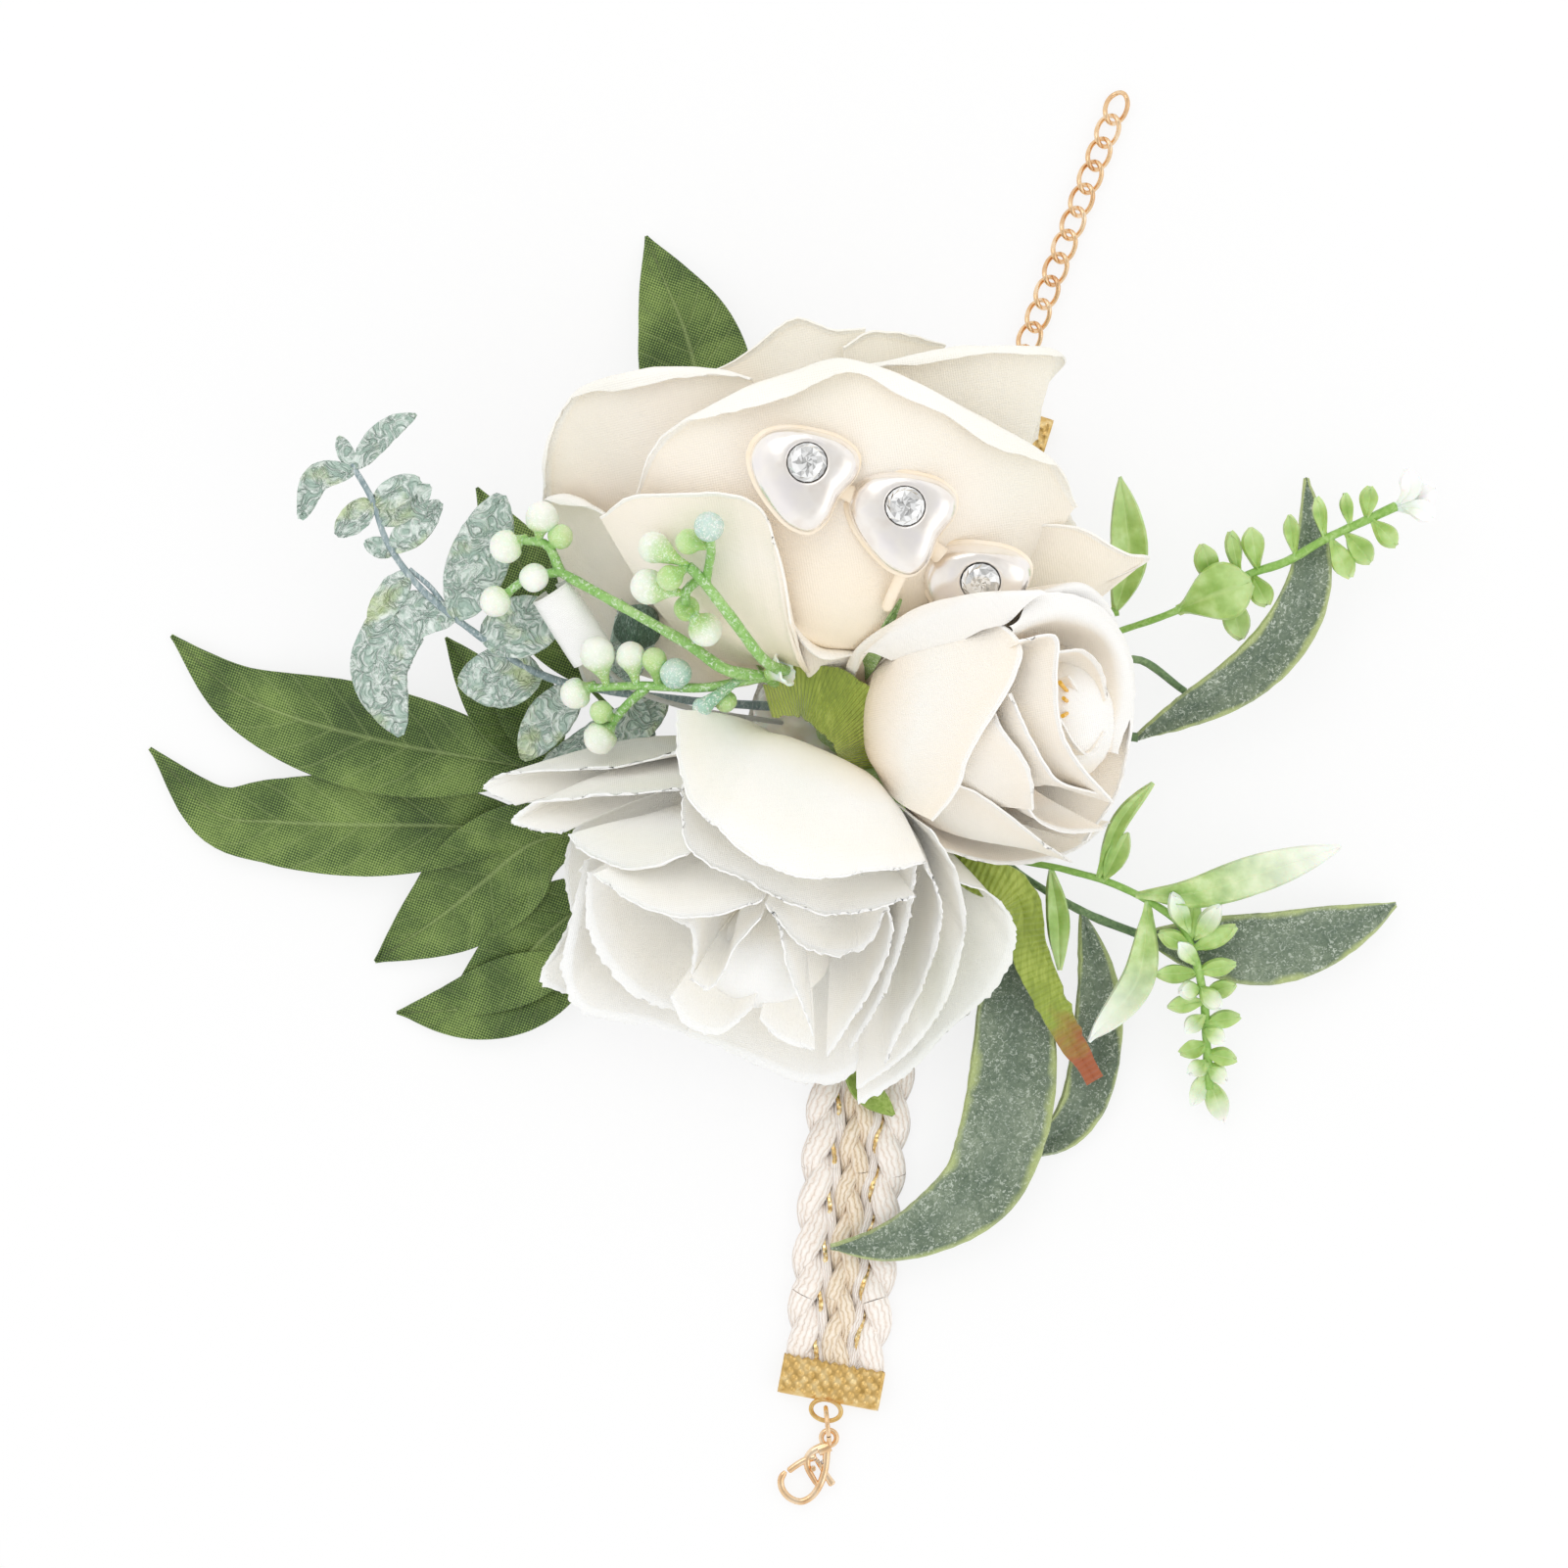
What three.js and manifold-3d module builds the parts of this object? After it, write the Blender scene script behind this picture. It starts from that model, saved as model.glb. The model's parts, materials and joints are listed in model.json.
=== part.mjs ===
// A wrist corsage, laid out flat: a braided wrist band with a crimped clamp, jump ring and lobster
// clasp at one end and a clamp, ring and curb chain at the other, and on its felt pad a bunch of
// three cloth roses, cloth and plastic leaves, berry sprays and a string of heart pearls.
// Millimetres, +Z up. The origin is on the band's underside, halfway along its middle length.
// +Y runs along the table towards the chain's end.
import * as THREE from "three";
import { mergeVertices } from "three/addons/utils/BufferGeometryUtils.js";
import Module from "manifold-3d";

const wasm = await Module();
wasm.setup();

// Places in the bunch are read off a photograph taken from straight above, in its pixels,
// each with its height as a share of the bunch's height.
const PHOTO_PIXELS = 1601;
const PHOTO_SPAN = 239;
const CAMERA_HEIGHT = 900;
const ORIGIN_PIXEL = [922, 820];
const BUNCH_HEIGHT = 50;
const NEAR_GAP = 0.3; // air left between neighbours that touch
const TIDY = 0.04; // slivers smaller than this are merged away
const WELD = 0.0001; // corners nearer than this are one

// The braided band: a middle length under the bunch and shorter lengths that wrap the wrist
const BAND = { width: 16, thick: 2.4, edge: 0.8, middle: 54.6, gap: 0.3 };
const CLASP_SIDE = { count: 3, length: 19.4, turn: 5.3 }; // turns are degrees from +Y towards +X
const CHAIN_SIDE = { count: 2, length: 14.5, turn: 17.4 };
const MIDDLE_TURN = 10.4;
const TONGUE = { length: 4.2, thick: 1.1 };

// Metal fittings
const CLAMP = {
  width: 15.6, length: 6.4, thick: 2.6, sheet: 0.42, tooth: 0.6, teeth: 9, claspTurn: 10.8, chainTurn: 17.4,
};
const LOOP = {
  outerAcross: 2.7, outerAlong: 1.95, holeAcross: 1.9, holeAlong: 1.25, thick: 0.7, reach: 1.3, height: 1.5,
};
const RING = { radius: 2.7, wire: 0.4, floor: 0.05, aside: 0.8 };
const RING_LEAN = { clasp: 90, chain: 45 };
const CLASP = {
  turn: 25, thick: 2.4, floor: 0.1, eyeOuter: 1.75, eyeHole: 1.1, length: 12, slot: 1.3,
  ringOuter: 2.95, ringInner: 1.95,
};
const LEVER = { thick: 0.8, boss: 1, pinHole: 0.6 };
const CLASP_RING_TURN = -6;
const PIN = { radius: 0.4, inset: 0.1, running: 0.15 };
const SPRING = { width: 0.6 };
const LINK = { half: 2.45, pitch: 3.75, wire: 0.38, width: 3.2, twist: 45, floor: 0.05, bite: 1.85 };
const LINK_DIP_SHARE = 0.42; // how far a twisted link reaches below its middle, of its half width
const LINK_ROUND_SHARES = { end: 0.75, side: 0.9 };
const LINK_COUNT = 12;
const CHAIN_TURN = 20.6;

// Felt pad and glue
const PAD = { length: 50, width: 38, thick: 1.6 };
const PAD_PIXEL = [888, 762];
const GLUE = { radius: 15, height: 8.5 };
const GLUE_RISE_SHARES = [0, 0.35, 0.65, 0.85];
const GLUE_PIXEL = [866, 738];

// Heart pearls with a set stone, on a moulded strip
const HEART = { width: 15.2, length: 15.8, thick: 3.6, bevel: 1.4, web: 3, webThick: 0.8 };
const STONE = { radius: 2.9, table: 1.7, crown: 1.0, depth: 1.6, proud: 0.5 };
const HEART_PIXELS_AND_SHARES = [
  { centre: [820, 488, 1.04], turn: 35, tilt: 16 },
  { centre: [919, 533, 1.0], turn: 33, tilt: 18 },
  { centre: [991, 590, 0.9], turn: 30, tilt: 22 },
];

// Cloth and plastic
const CLOTH = { petal: 0.8, leaf: 0.7, curl: 2.2, keel: 0.35 };
const CURL_DEGREES = [85];
const SWELL_POWER_SHARE = 0.8;

const UP = new THREE.Vector3(0, 0, 1);
const radians = THREE.MathUtils.degToRad;

// A pixel and a height share as a place in the part's frame.
function place([across, down, share = 0]) {
  const pixel = PHOTO_SPAN / PHOTO_PIXELS;
  const middle = PHOTO_PIXELS / 2;
  const height = share * BUNCH_HEIGHT;
  const near = pixel * (1 - height / CAMERA_HEIGHT);
  return new THREE.Vector3(
    (middle - ORIGIN_PIXEL[0]) * pixel + (across - middle) * near,
    (ORIGIN_PIXEL[1] - middle) * pixel - (down - middle) * near,
    height,
  );
}

// A width in pixels as a length.
function span(pixels) {
  return (pixels * PHOTO_SPAN) / PHOTO_PIXELS;
}

function along(turn) {
  return new THREE.Vector3(Math.sin(radians(turn)), Math.cos(radians(turn)), 0);
}

// Solids
function solidOf(geometry) {
  const bare = geometry.clone();
  bare.deleteAttribute("normal");
  bare.deleteAttribute("uv");
  const merged = mergeVertices(bare, WELD);
  return new wasm.Manifold(new wasm.Mesh({
    numProp: 3,
    vertProperties: new Float32Array(merged.attributes.position.array),
    triVerts: new Uint32Array(merged.index.array),
  }));
}

function geometryOf(solid) {
  const mesh = solid.getMesh();
  const geometry = new THREE.BufferGeometry();
  geometry.setAttribute("position", new THREE.BufferAttribute(new Float32Array(mesh.vertProperties), 3));
  geometry.setIndex(new THREE.BufferAttribute(new Uint32Array(mesh.triVerts), 1));
  return geometry;
}

function extruded(shape, depth, curveSegments) {
  return new THREE.ExtrudeGeometry(shape, { depth, bevelEnabled: false, curveSegments });
}

function union(solids) {
  return solids.reduce((sum, next) => sum.add(next));
}

function largest(solid) {
  return solid.decompose().reduce((best, body) => (body.volume() > best.volume() ? body : best));
}

function faces(points, triangles) {
  const geometry = new THREE.BufferGeometry();
  const flat = new Float32Array(points.flatMap((p) => [p.x, p.y, p.z]));
  geometry.setAttribute("position", new THREE.BufferAttribute(flat, 3));
  geometry.setIndex(triangles);
  return geometry;
}

// A sheet of cloth or plastic: a grid of points given a thickness. grow makes it larger all round.
function sheet(grid, thick, grow = 0) {
  const rows = grid.length;
  const columns = grid[0].length;
  const half = thick / 2 + grow;
  const away = (from, to) => to.clone().sub(from).normalize();
  const centre = grid.map((row, i) => row.map((point, j) => {
    const out = new THREE.Vector3();
    if (i === 0) out.add(away(grid[1][j], point));
    if (i === rows - 1) out.add(away(grid[i - 1][j], point));
    if (j === 0) out.add(away(row[1], point));
    if (j === columns - 1) out.add(away(row[j - 1], point));
    return point.clone().addScaledVector(out, grow);
  }));
  const normal = (i, j) => {
    const run = grid[Math.min(i + 1, rows - 1)][j].clone().sub(grid[Math.max(i - 1, 0)][j]);
    const across = grid[i][Math.min(j + 1, columns - 1)].clone().sub(grid[i][Math.max(j - 1, 0)]);
    return across.cross(run).normalize();
  };
  const side = (sign) => centre.flatMap((row, i) => row.map(
    (point, j) => point.clone().addScaledVector(normal(i, j), sign * half),
  ));
  const count = rows * columns;
  const triangles = [];
  const quad = (a, b, c, d) => triangles.push(a, b, c, a, c, d);
  for (let i = 0; i + 1 < rows; i += 1) {
    for (let j = 0; j + 1 < columns; j += 1) {
      const a = i * columns + j;
      quad(a, a + 1, a + columns + 1, a + columns);
      quad(count + a, count + a + columns, count + a + columns + 1, count + a + 1);
    }
  }
  for (let j = 0; j + 1 < columns; j += 1) {
    const last = (rows - 1) * columns + j;
    quad(j + 1, j, count + j, count + j + 1);
    quad(last, last + 1, count + last + 1, count + last);
  }
  for (let i = 0; i + 1 < rows; i += 1) {
    const left = i * columns;
    const right = left + columns - 1;
    quad(left, left + columns, count + left + columns, count + left);
    quad(right + columns, right, count + right, count + right + columns);
  }
  return solidOf(faces([...side(1), ...side(-1)], triangles));
}

// A tapering round stem along a smooth curve through points.
function stem(points, thick, grow = 0, sides = 4) {
  const curve = points.length > 2 ? new THREE.CatmullRomCurve3(points) : new THREE.LineCurve3(...points);
  const steps = points.length - 1;
  const frames = curve.computeFrenetFrames(steps);
  const ring = [];
  for (let i = 0; i <= steps; i += 1) {
    const radius = THREE.MathUtils.lerp(thick[0], thick[1], i / steps) / 2 + grow;
    const centre = curve.getPointAt(i / steps);
    if (i === 0) centre.addScaledVector(frames.tangents[0], -grow);
    if (i === steps) centre.addScaledVector(frames.tangents[steps], grow);
    for (let k = 0; k < sides; k += 1) {
      const turn = (2 * Math.PI * k) / sides;
      ring.push(centre.clone()
        .addScaledVector(frames.normals[i], radius * Math.cos(turn))
        .addScaledVector(frames.binormals[i], radius * Math.sin(turn)));
    }
  }
  const triangles = [];
  for (let i = 0; i < steps; i += 1) {
    for (let k = 0; k < sides; k += 1) {
      const a = i * sides + k;
      const b = i * sides + ((k + 1) % sides);
      triangles.push(a, b, b + sides, a, b + sides, a + sides);
    }
  }
  const end = steps * sides;
  for (let k = 1; k + 1 < sides; k += 1) {
    triangles.push(0, k + 1, k, end, end + k, end + k + 1);
  }
  return solidOf(faces(ring, triangles));
}

function ball(centre, radii, grow = 0, around = 8, down = 5) {
  const geometry = new THREE.SphereGeometry(1, around, down);
  geometry.scale(radii[0] + grow, radii[1] + grow, radii[2] + grow);
  return solidOf(geometry.translate(centre.x, centre.y, centre.z));
}

// The finished corsage, and the solids so far that later soft pieces keep clear of
const corsage = new THREE.Group();
corsage.name = "wrist_corsage";
const taken = [];

function finish(colour, roughness, metalness = 0) {
  return new THREE.MeshStandardMaterial({ color: colour, roughness, metalness });
}

function addMesh(parent, name, geometry, material) {
  const mesh = new THREE.Mesh(geometry, material);
  mesh.name = name;
  parent.add(mesh);
  return mesh;
}

// A soft piece is cut clear of all that came before it, and then takes its own room.
function addSoft(name, build, material) {
  const grown = build(NEAR_GAP);
  let solid = build(0);
  const box = grown.boundingBox();
  for (const other of taken) {
    const apart = [0, 1, 2].some((k) => other.box.min[k] > box.max[k] || other.box.max[k] < box.min[k]);
    if (!apart) solid = solid.subtract(other.grown);
  }
  solid = largest(solid.simplify(TIDY)).simplify(TIDY);
  taken.push({ grown: grown.add(solid), box });
  addMesh(corsage, name, geometryOf(solid), material);
}

const cream = finish(0xf3ead8, 0.85);
const white = finish(0xf4f3ee, 0.8);
const ivory = finish(0xf4efe4, 0.8);
const gold = finish(0xc9a04a, 0.35, 1);
const roseGold = finish(0xe0ae78, 0.25, 1);
const leafGreen = finish(0x4a6b2e, 0.8);
const sage = finish(0x9fb3aa, 0.6);
const berryGreen = finish(0xb5d59a, 0.5);
const lightGreen = finish(0x9cc455, 0.6);
const willowGreen = finish(0x86968a, 0.7);

// Band

function barSection(width, thick, edge) {
  const shape = new THREE.Shape();
  const half = width / 2;
  shape.moveTo(-half + edge, 0);
  shape.lineTo(half - edge, 0);
  shape.quadraticCurveTo(half, 0, half, edge);
  shape.lineTo(half, thick - edge);
  shape.quadraticCurveTo(half, thick, half - edge, thick);
  shape.lineTo(-half + edge, thick);
  shape.quadraticCurveTo(-half, thick, -half, thick - edge);
  shape.lineTo(-half, edge);
  shape.quadraticCurveTo(-half, 0, -half + edge, 0);
  return shape;
}

// A bar lying along +Y from start to end, with its underside on z = 0.
function bar(start, end, width, thick, edge) {
  const geometry = new THREE.ExtrudeGeometry(barSection(width, thick, edge), {
    depth: end - start, steps: 1, bevelEnabled: false, curveSegments: 2,
  });
  geometry.rotateX(Math.PI / 2);
  return geometry.translate(0, end, 0);
}

// The room that a length of the band takes up, for what lies on it.
function bandRoom(start, end) {
  return solidOf(bar(start, end, BAND.width + 2 * NEAR_GAP, BAND.thick + NEAR_GAP, BAND.edge));
}

// Where the band turns in plan, its two ends stand back so that their corners don't meet.
function standBack(turnA, turnB) {
  return BAND.gap / 2 + (BAND.width / 2) * Math.tan(radians(Math.abs(turnA - turnB) / 2));
}

function clampStandBack(turnA, turnB) {
  return BAND.gap + (BAND.width / 2) * Math.tan(radians(Math.abs(turnA - turnB)));
}

function placed(point, turn) {
  const group = new THREE.Group();
  group.position.copy(point);
  group.rotation.z = -radians(turn);
  corsage.add(group);
  return group;
}

const middleGroup = placed(new THREE.Vector3(), MIDDLE_TURN);
addMesh(
  middleGroup,
  "strap_center",
  bar(
    -BAND.middle / 2 + standBack(MIDDLE_TURN, CLASP_SIDE.turn),
    BAND.middle / 2 - standBack(MIDDLE_TURN, CHAIN_SIDE.turn),
    BAND.width, BAND.thick, BAND.edge,
  ),
  cream,
);
const strapMiddle = bandRoom(-BAND.middle / 2, BAND.middle / 2).rotate([0, 0, -MIDDLE_TURN]);
taken.push({ grown: strapMiddle, box: strapMiddle.boundingBox() });

// Each side is a run of equal lengths, the last one with a thin tongue that the clamp grips.
function bandSide(prefix, side, sign, clampTurn) {
  const outward = sign > 0 ? side.turn : side.turn + 180;
  const clampOutward = sign > 0 ? clampTurn : clampTurn + 180;
  const joints = [];
  const start = along(MIDDLE_TURN).multiplyScalar((sign * BAND.middle) / 2);
  for (let i = 0; i < side.count; i += 1) {
    const joint = start.clone().addScaledVector(along(outward), i * side.length);
    joints.push(joint);
    const near = i === 0 ? standBack(MIDDLE_TURN, side.turn) : BAND.gap / 2;
    const last = i + 1 === side.count;
    const far = last ? clampStandBack(side.turn, clampTurn) : BAND.gap / 2;
    let geometry = bar(near, side.length - far, BAND.width, BAND.thick, BAND.edge);
    if (last) {
      const tongueWidth = CLAMP.width - 4 * CLAMP.sheet;
      const tongueStart = side.length - far - BAND.edge;
      const grip = bar(tongueStart, side.length + TONGUE.length, tongueWidth, TONGUE.thick, 0);
      grip.translate(0, 0, (CLAMP.thick - TONGUE.thick) / 2);
      geometry = geometryOf(solidOf(geometry).add(solidOf(grip)));
    }
    addMesh(placed(joint, outward), `${prefix}_${i + 1}`, geometry, cream);
    const room = bandRoom(0, side.length).rotate([0, 0, -outward]).translate([joint.x, joint.y, 0]);
    taken.push({ grown: room, box: room.boundingBox() });
  }
  const mouth = start.clone().addScaledVector(along(outward), side.count * side.length);
  return { joints, mouth, outward, clampOutward };
}

const claspSide = bandSide("strap_clasp_side", CLASP_SIDE, -1, CLAMP.claspTurn);
const chainSide = bandSide("strap_chain_side", CHAIN_SIDE, 1, CLAMP.chainTurn);

// Clamps: a folded sheet with teeth along its mouth, and a loop on its closed edge

function clampGeometry() {
  const profile = new THREE.Shape();
  const inner = CLAMP.length - CLAMP.sheet;
  profile.moveTo(0, 0);
  profile.lineTo(CLAMP.length, 0);
  profile.lineTo(CLAMP.length, CLAMP.thick);
  profile.lineTo(0, CLAMP.thick);
  profile.lineTo(0, CLAMP.thick - CLAMP.sheet);
  profile.lineTo(inner, CLAMP.thick - CLAMP.sheet);
  profile.lineTo(inner, CLAMP.sheet);
  profile.lineTo(0, CLAMP.sheet);
  const fold = extruded(profile, CLAMP.width, 1);
  fold.translate(0, 0, -CLAMP.width / 2);
  fold.applyMatrix4(new THREE.Matrix4().makeBasis(along(0), UP, along(90)));
  const plan = new THREE.Shape();
  const half = CLAMP.width / 2;
  const step = CLAMP.width / CLAMP.teeth;
  plan.moveTo(half, CLAMP.length);
  plan.lineTo(-half, CLAMP.length);
  for (let i = 0; i < CLAMP.teeth; i += 1) {
    plan.lineTo(-half + i * step, CLAMP.tooth);
    plan.lineTo(-half + (i + 1 / 2) * step, 0);
  }
  plan.lineTo(half, CLAMP.tooth);
  const outline = extruded(plan, CLAMP.thick, 1);
  const loop = eyeGeometry(LOOP.outerAcross, LOOP.outerAlong, LOOP.holeAcross, LOOP.holeAlong, LOOP.thick);
  loop.translate(0, CLAMP.length + LOOP.reach, LOOP.height);
  return geometryOf(solidOf(fold).intersect(solidOf(outline)).add(solidOf(loop)));
}

// A flat oval eye about the origin, its thickness split evenly above and below.
function eyeGeometry(outerAcross, outerAlong, holeAcross, holeAlong, thick, segments = 8) {
  const shape = new THREE.Shape().absellipse(0, 0, outerAcross, outerAlong, 0, 2 * Math.PI);
  shape.holes.push(new THREE.Path().absellipse(0, 0, holeAcross, holeAlong, 0, 2 * Math.PI, true));
  return extruded(shape, thick, segments).translate(0, 0, -thick / 2);
}

// Rings pass through the clamp's loop and the next fitting. The clasp's stands on edge; the chain's
// leans over, square to the end of the first link.
function ringHeight(lean) {
  return RING.radius * Math.sin(radians(lean)) + RING.wire + RING.floor;
}

// From a ring's middle to where its wire passes a given height, along the table.
function ringReach(lean, height) {
  return Math.sqrt(RING.radius ** 2 - ((ringHeight(lean) - height) / Math.sin(radians(lean))) ** 2);
}

function fittings(side, names, turn, lean, aside) {
  addMesh(placed(side.mouth, side.clampOutward), names.clamp, clampGeometry(), gold);
  const run = along(turn);
  const across = along(turn + 90);
  const leaning = across.clone().multiplyScalar(Math.cos(radians(lean)))
    .addScaledVector(UP, Math.sin(radians(lean)));
  const eye = side.mouth.clone().addScaledVector(along(side.clampOutward), CLAMP.length + LOOP.reach);
  const hoop = new THREE.TorusGeometry(RING.radius, RING.wire, 5, 18);
  const ring = addMesh(corsage, names.ring, hoop, roseGold);
  ring.position.copy(eye).addScaledVector(run, ringReach(lean, LOOP.height)).addScaledVector(across, aside)
    .setZ(ringHeight(lean));
  const basis = new THREE.Matrix4().makeBasis(run, leaning, run.clone().cross(leaning));
  ring.quaternion.setFromRotationMatrix(basis);
  return eye.addScaledVector(run, ringReach(lean, LOOP.height));
}

const claspRun = 180 + CLASP_RING_TURN;
const claspRingMiddle = fittings(
  claspSide, { clamp: "clasp_end_clamp", ring: "clasp_jump_ring" }, claspRun, RING_LEAN.clasp, 0,
);
const chainRingMiddle = fittings(
  chainSide, { clamp: "chain_end_clamp", ring: "chain_jump_ring" }, CHAIN_TURN, RING_LEAN.chain, RING.aside,
);

// Lobster clasp, drawn in plan from its eye: aside is towards its thumb tab, along is towards its hook.
// The tables are shares of the clasp's length.
const CLASP_BODY_SHARES = [
  [-0.075, 0.1], [-0.16, 0.235], [-0.225, 0.35], [-0.242, 0.417], [-0.2, 0.5], [-0.07, 0.575],
  [0.1, 0.735], [0.175, 0.735], [0.167, 0.54], [0.142, 0.375], [0.108, 0.217], [0.075, 0.1],
];
const CLASP_HOOK_SHARE = [-0.07, 0.733];
const CLASP_PIVOT_SHARE = [-0.017, 0.433];
const CLASP_SLOT_SHARES = [[-0.35, 0.283], [0.35, 0.283], [0.35, 0.62], [-0.35, 0.62]];
const CLASP_MOUTH_DEGREES = [205, 222, 239];
const LEVER_SHARES = [
  [0.017, 0.358], [-0.1, 0.383], [-0.2, 0.492], [-0.275, 0.6], [-0.229, 0.629], [-0.158, 0.558],
  [-0.05, 0.508], [0.017, 0.508], [0.125, 0.525], [0.267, 0.608], [0.308, 0.583], [0.283, 0.517],
  [0.133, 0.408],
];
const SPRING_SHARES = [[-0.133, 0.312], [0.1, 0.312], [0.1, 0.333], [-0.133, 0.333]];

function planPoint([aside, reach]) {
  return new THREE.Vector2(-aside * CLASP.length, reach * CLASP.length);
}

function plate(shape, thick, segments = 6) {
  return solidOf(extruded(shape, thick, segments).translate(0, 0, -thick / 2));
}

function disc(centre, radius) {
  return new THREE.Shape().absarc(centre.x, centre.y, radius, 0, 2 * Math.PI);
}

function claspBody() {
  const hook = planPoint(CLASP_HOOK_SHARE);
  const pivot = planPoint(CLASP_PIVOT_SHARE);
  const mouth = CLASP_MOUTH_DEGREES.map(radians).map(
    (turn) => new THREE.Vector2(-Math.cos(turn), Math.sin(turn)).multiplyScalar(2 * CLASP.ringOuter).add(hook),
  );
  const { eyeOuter, eyeHole } = CLASP;
  const eye = solidOf(eyeGeometry(eyeOuter, eyeOuter, eyeHole, eyeHole, LOOP.thick, 6))
    .translate([0, 0, LOOP.height - CLASP.floor - CLASP.thick / 2]);
  return plate(new THREE.Shape(CLASP_BODY_SHARES.map(planPoint)), CLASP.thick)
    .subtract(plate(disc(new THREE.Vector2(), CLASP.eyeHole), CLASP.thick * 2))
    .add(plate(disc(hook, CLASP.ringOuter), CLASP.thick, 10))
    .subtract(plate(disc(hook, CLASP.ringInner), CLASP.thick * 2, 10))
    .subtract(plate(new THREE.Shape([hook, ...mouth]), CLASP.thick * 2))
    .subtract(plate(new THREE.Shape(CLASP_SLOT_SHARES.map(planPoint)), CLASP.slot))
    .subtract(plate(disc(pivot, PIN.radius + PIN.running), CLASP.thick * 2))
    .add(eye);
}

function claspLever() {
  const pivot = planPoint(CLASP_PIVOT_SHARE);
  return plate(new THREE.Shape(LEVER_SHARES.map(planPoint)), LEVER.thick)
    .add(plate(disc(pivot, LEVER.boss), LEVER.thick))
    .subtract(plate(disc(pivot, LEVER.pinHole), LEVER.thick * 2));
}

const claspEye = claspRingMiddle.clone()
  .addScaledVector(along(claspRun), ringReach(RING_LEAN.clasp, LOOP.height));
const claspGroup = placed(claspEye.setZ(CLASP.floor + CLASP.thick / 2), 180 + CLASP.turn);
addMesh(claspGroup, "lobster_clasp_body", geometryOf(claspBody()), roseGold);
addMesh(claspGroup, "lobster_clasp_lever", geometryOf(claspLever()), roseGold);
const claspPin = plate(disc(planPoint(CLASP_PIVOT_SHARE), PIN.radius), CLASP.thick - 2 * PIN.inset);
addMesh(claspGroup, "lobster_clasp_pin", geometryOf(claspPin), roseGold);
const claspSpring = plate(new THREE.Shape(SPRING_SHARES.map(planPoint)), SPRING.width);
addMesh(claspGroup, "lobster_clasp_spring", geometryOf(claspSpring), roseGold);

// Chain: each link is an oval ring of wire, twisted so that its two ends stand square to each other.
function linkGeometry(steps = 14, sides = 4) {
  const points = [];
  const triangles = [];
  const centre = (i) => {
    const turn = (2 * Math.PI * i) / steps;
    const full = (value, power) => Math.sign(value) * Math.abs(value) ** power;
    const reach = LINK.half * full(Math.cos(turn), LINK_ROUND_SHARES.end);
    const aside = (LINK.width / 2) * full(Math.sin(turn), LINK_ROUND_SHARES.side);
    const roll = radians(LINK.twist) * (reach / LINK.half);
    return { point: new THREE.Vector3(aside * Math.cos(roll), reach, aside * Math.sin(roll)), roll };
  };
  for (let i = 0; i < steps; i += 1) {
    const { point, roll } = centre(i);
    const run = centre(i + 1).point.sub(centre(i - 1).point).normalize();
    const face = new THREE.Vector3(-Math.sin(roll), 0, Math.cos(roll));
    const out = run.clone().cross(face).normalize();
    const up = out.clone().cross(run);
    for (let k = 0; k < sides; k += 1) {
      const turn = (2 * Math.PI * k) / sides;
      points.push(point.clone()
        .addScaledVector(out, LINK.wire * Math.cos(turn))
        .addScaledVector(up, LINK.wire * Math.sin(turn)));
      const a = i * sides + k;
      const b = i * sides + ((k + 1) % sides);
      const step = (i + 1 === steps ? -i : 1) * sides;
      triangles.push(a, b + step, b, a, a + step, b + step);
    }
  }
  return geometryOf(solidOf(faces(points, triangles)));
}

const linkHeight = LINK.floor + (LINK.width / 2) * LINK_DIP_SHARE + LINK.wire;
const firstLink = RING.radius + LINK.half - LINK.bite;
for (let i = 0; i < LINK_COUNT; i += 1) {
  const centre = chainRingMiddle.clone().addScaledVector(along(CHAIN_TURN), firstLink + i * LINK.pitch);
  const number = String(i + 1).padStart(2, "0");
  addMesh(placed(centre.setZ(linkHeight), CHAIN_TURN), `chain_link_${number}`, linkGeometry(), roseGold);
}

// Felt pad on the band, and the mound of glue on it that holds every stem
const padFloor = BAND.thick + NEAR_GAP;
const padTop = padFloor + PAD.thick;

function padSolid(grow) {
  const half = [PAD.width / 2 + grow, PAD.length / 2 + grow];
  const shape = new THREE.Shape().absellipse(0, 0, ...half, 0, 2 * Math.PI);
  const geometry = extruded(shape, PAD.thick + 2 * grow, 12);
  geometry.rotateZ(-radians(MIDDLE_TURN));
  const centre = place(PAD_PIXEL);
  return solidOf(geometry.translate(centre.x, centre.y, padFloor - grow));
}

function glueSolid(grow) {
  const radius = GLUE.radius + grow;
  const height = GLUE.height + grow;
  const profile = [new THREE.Vector2(0, -grow), new THREE.Vector2(radius, -grow)];
  for (const share of GLUE_RISE_SHARES) {
    const rise = share * Math.PI / 2;
    profile.push(new THREE.Vector2(radius * Math.cos(rise), height * Math.sin(rise)));
  }
  profile.push(new THREE.Vector2(0, height));
  const geometry = new THREE.LatheGeometry(profile, 14);
  geometry.rotateX(Math.PI / 2);
  const centre = place(GLUE_PIXEL);
  return solidOf(geometry.translate(centre.x, centre.y, padTop + NEAR_GAP));
}

addSoft("felt_pad", padSolid, cream);
addSoft("glue_mound", glueSolid, ivory);

// Heart pearls: a domed heart on a thin flange, with a seat for its stone
const HEART_SIDE_SHARES = [[0, -0.5], [0.28, -0.27], [0.5, 0.08], [0.42, 0.42], [0.2, 0.5], [0, 0.38]];

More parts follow.
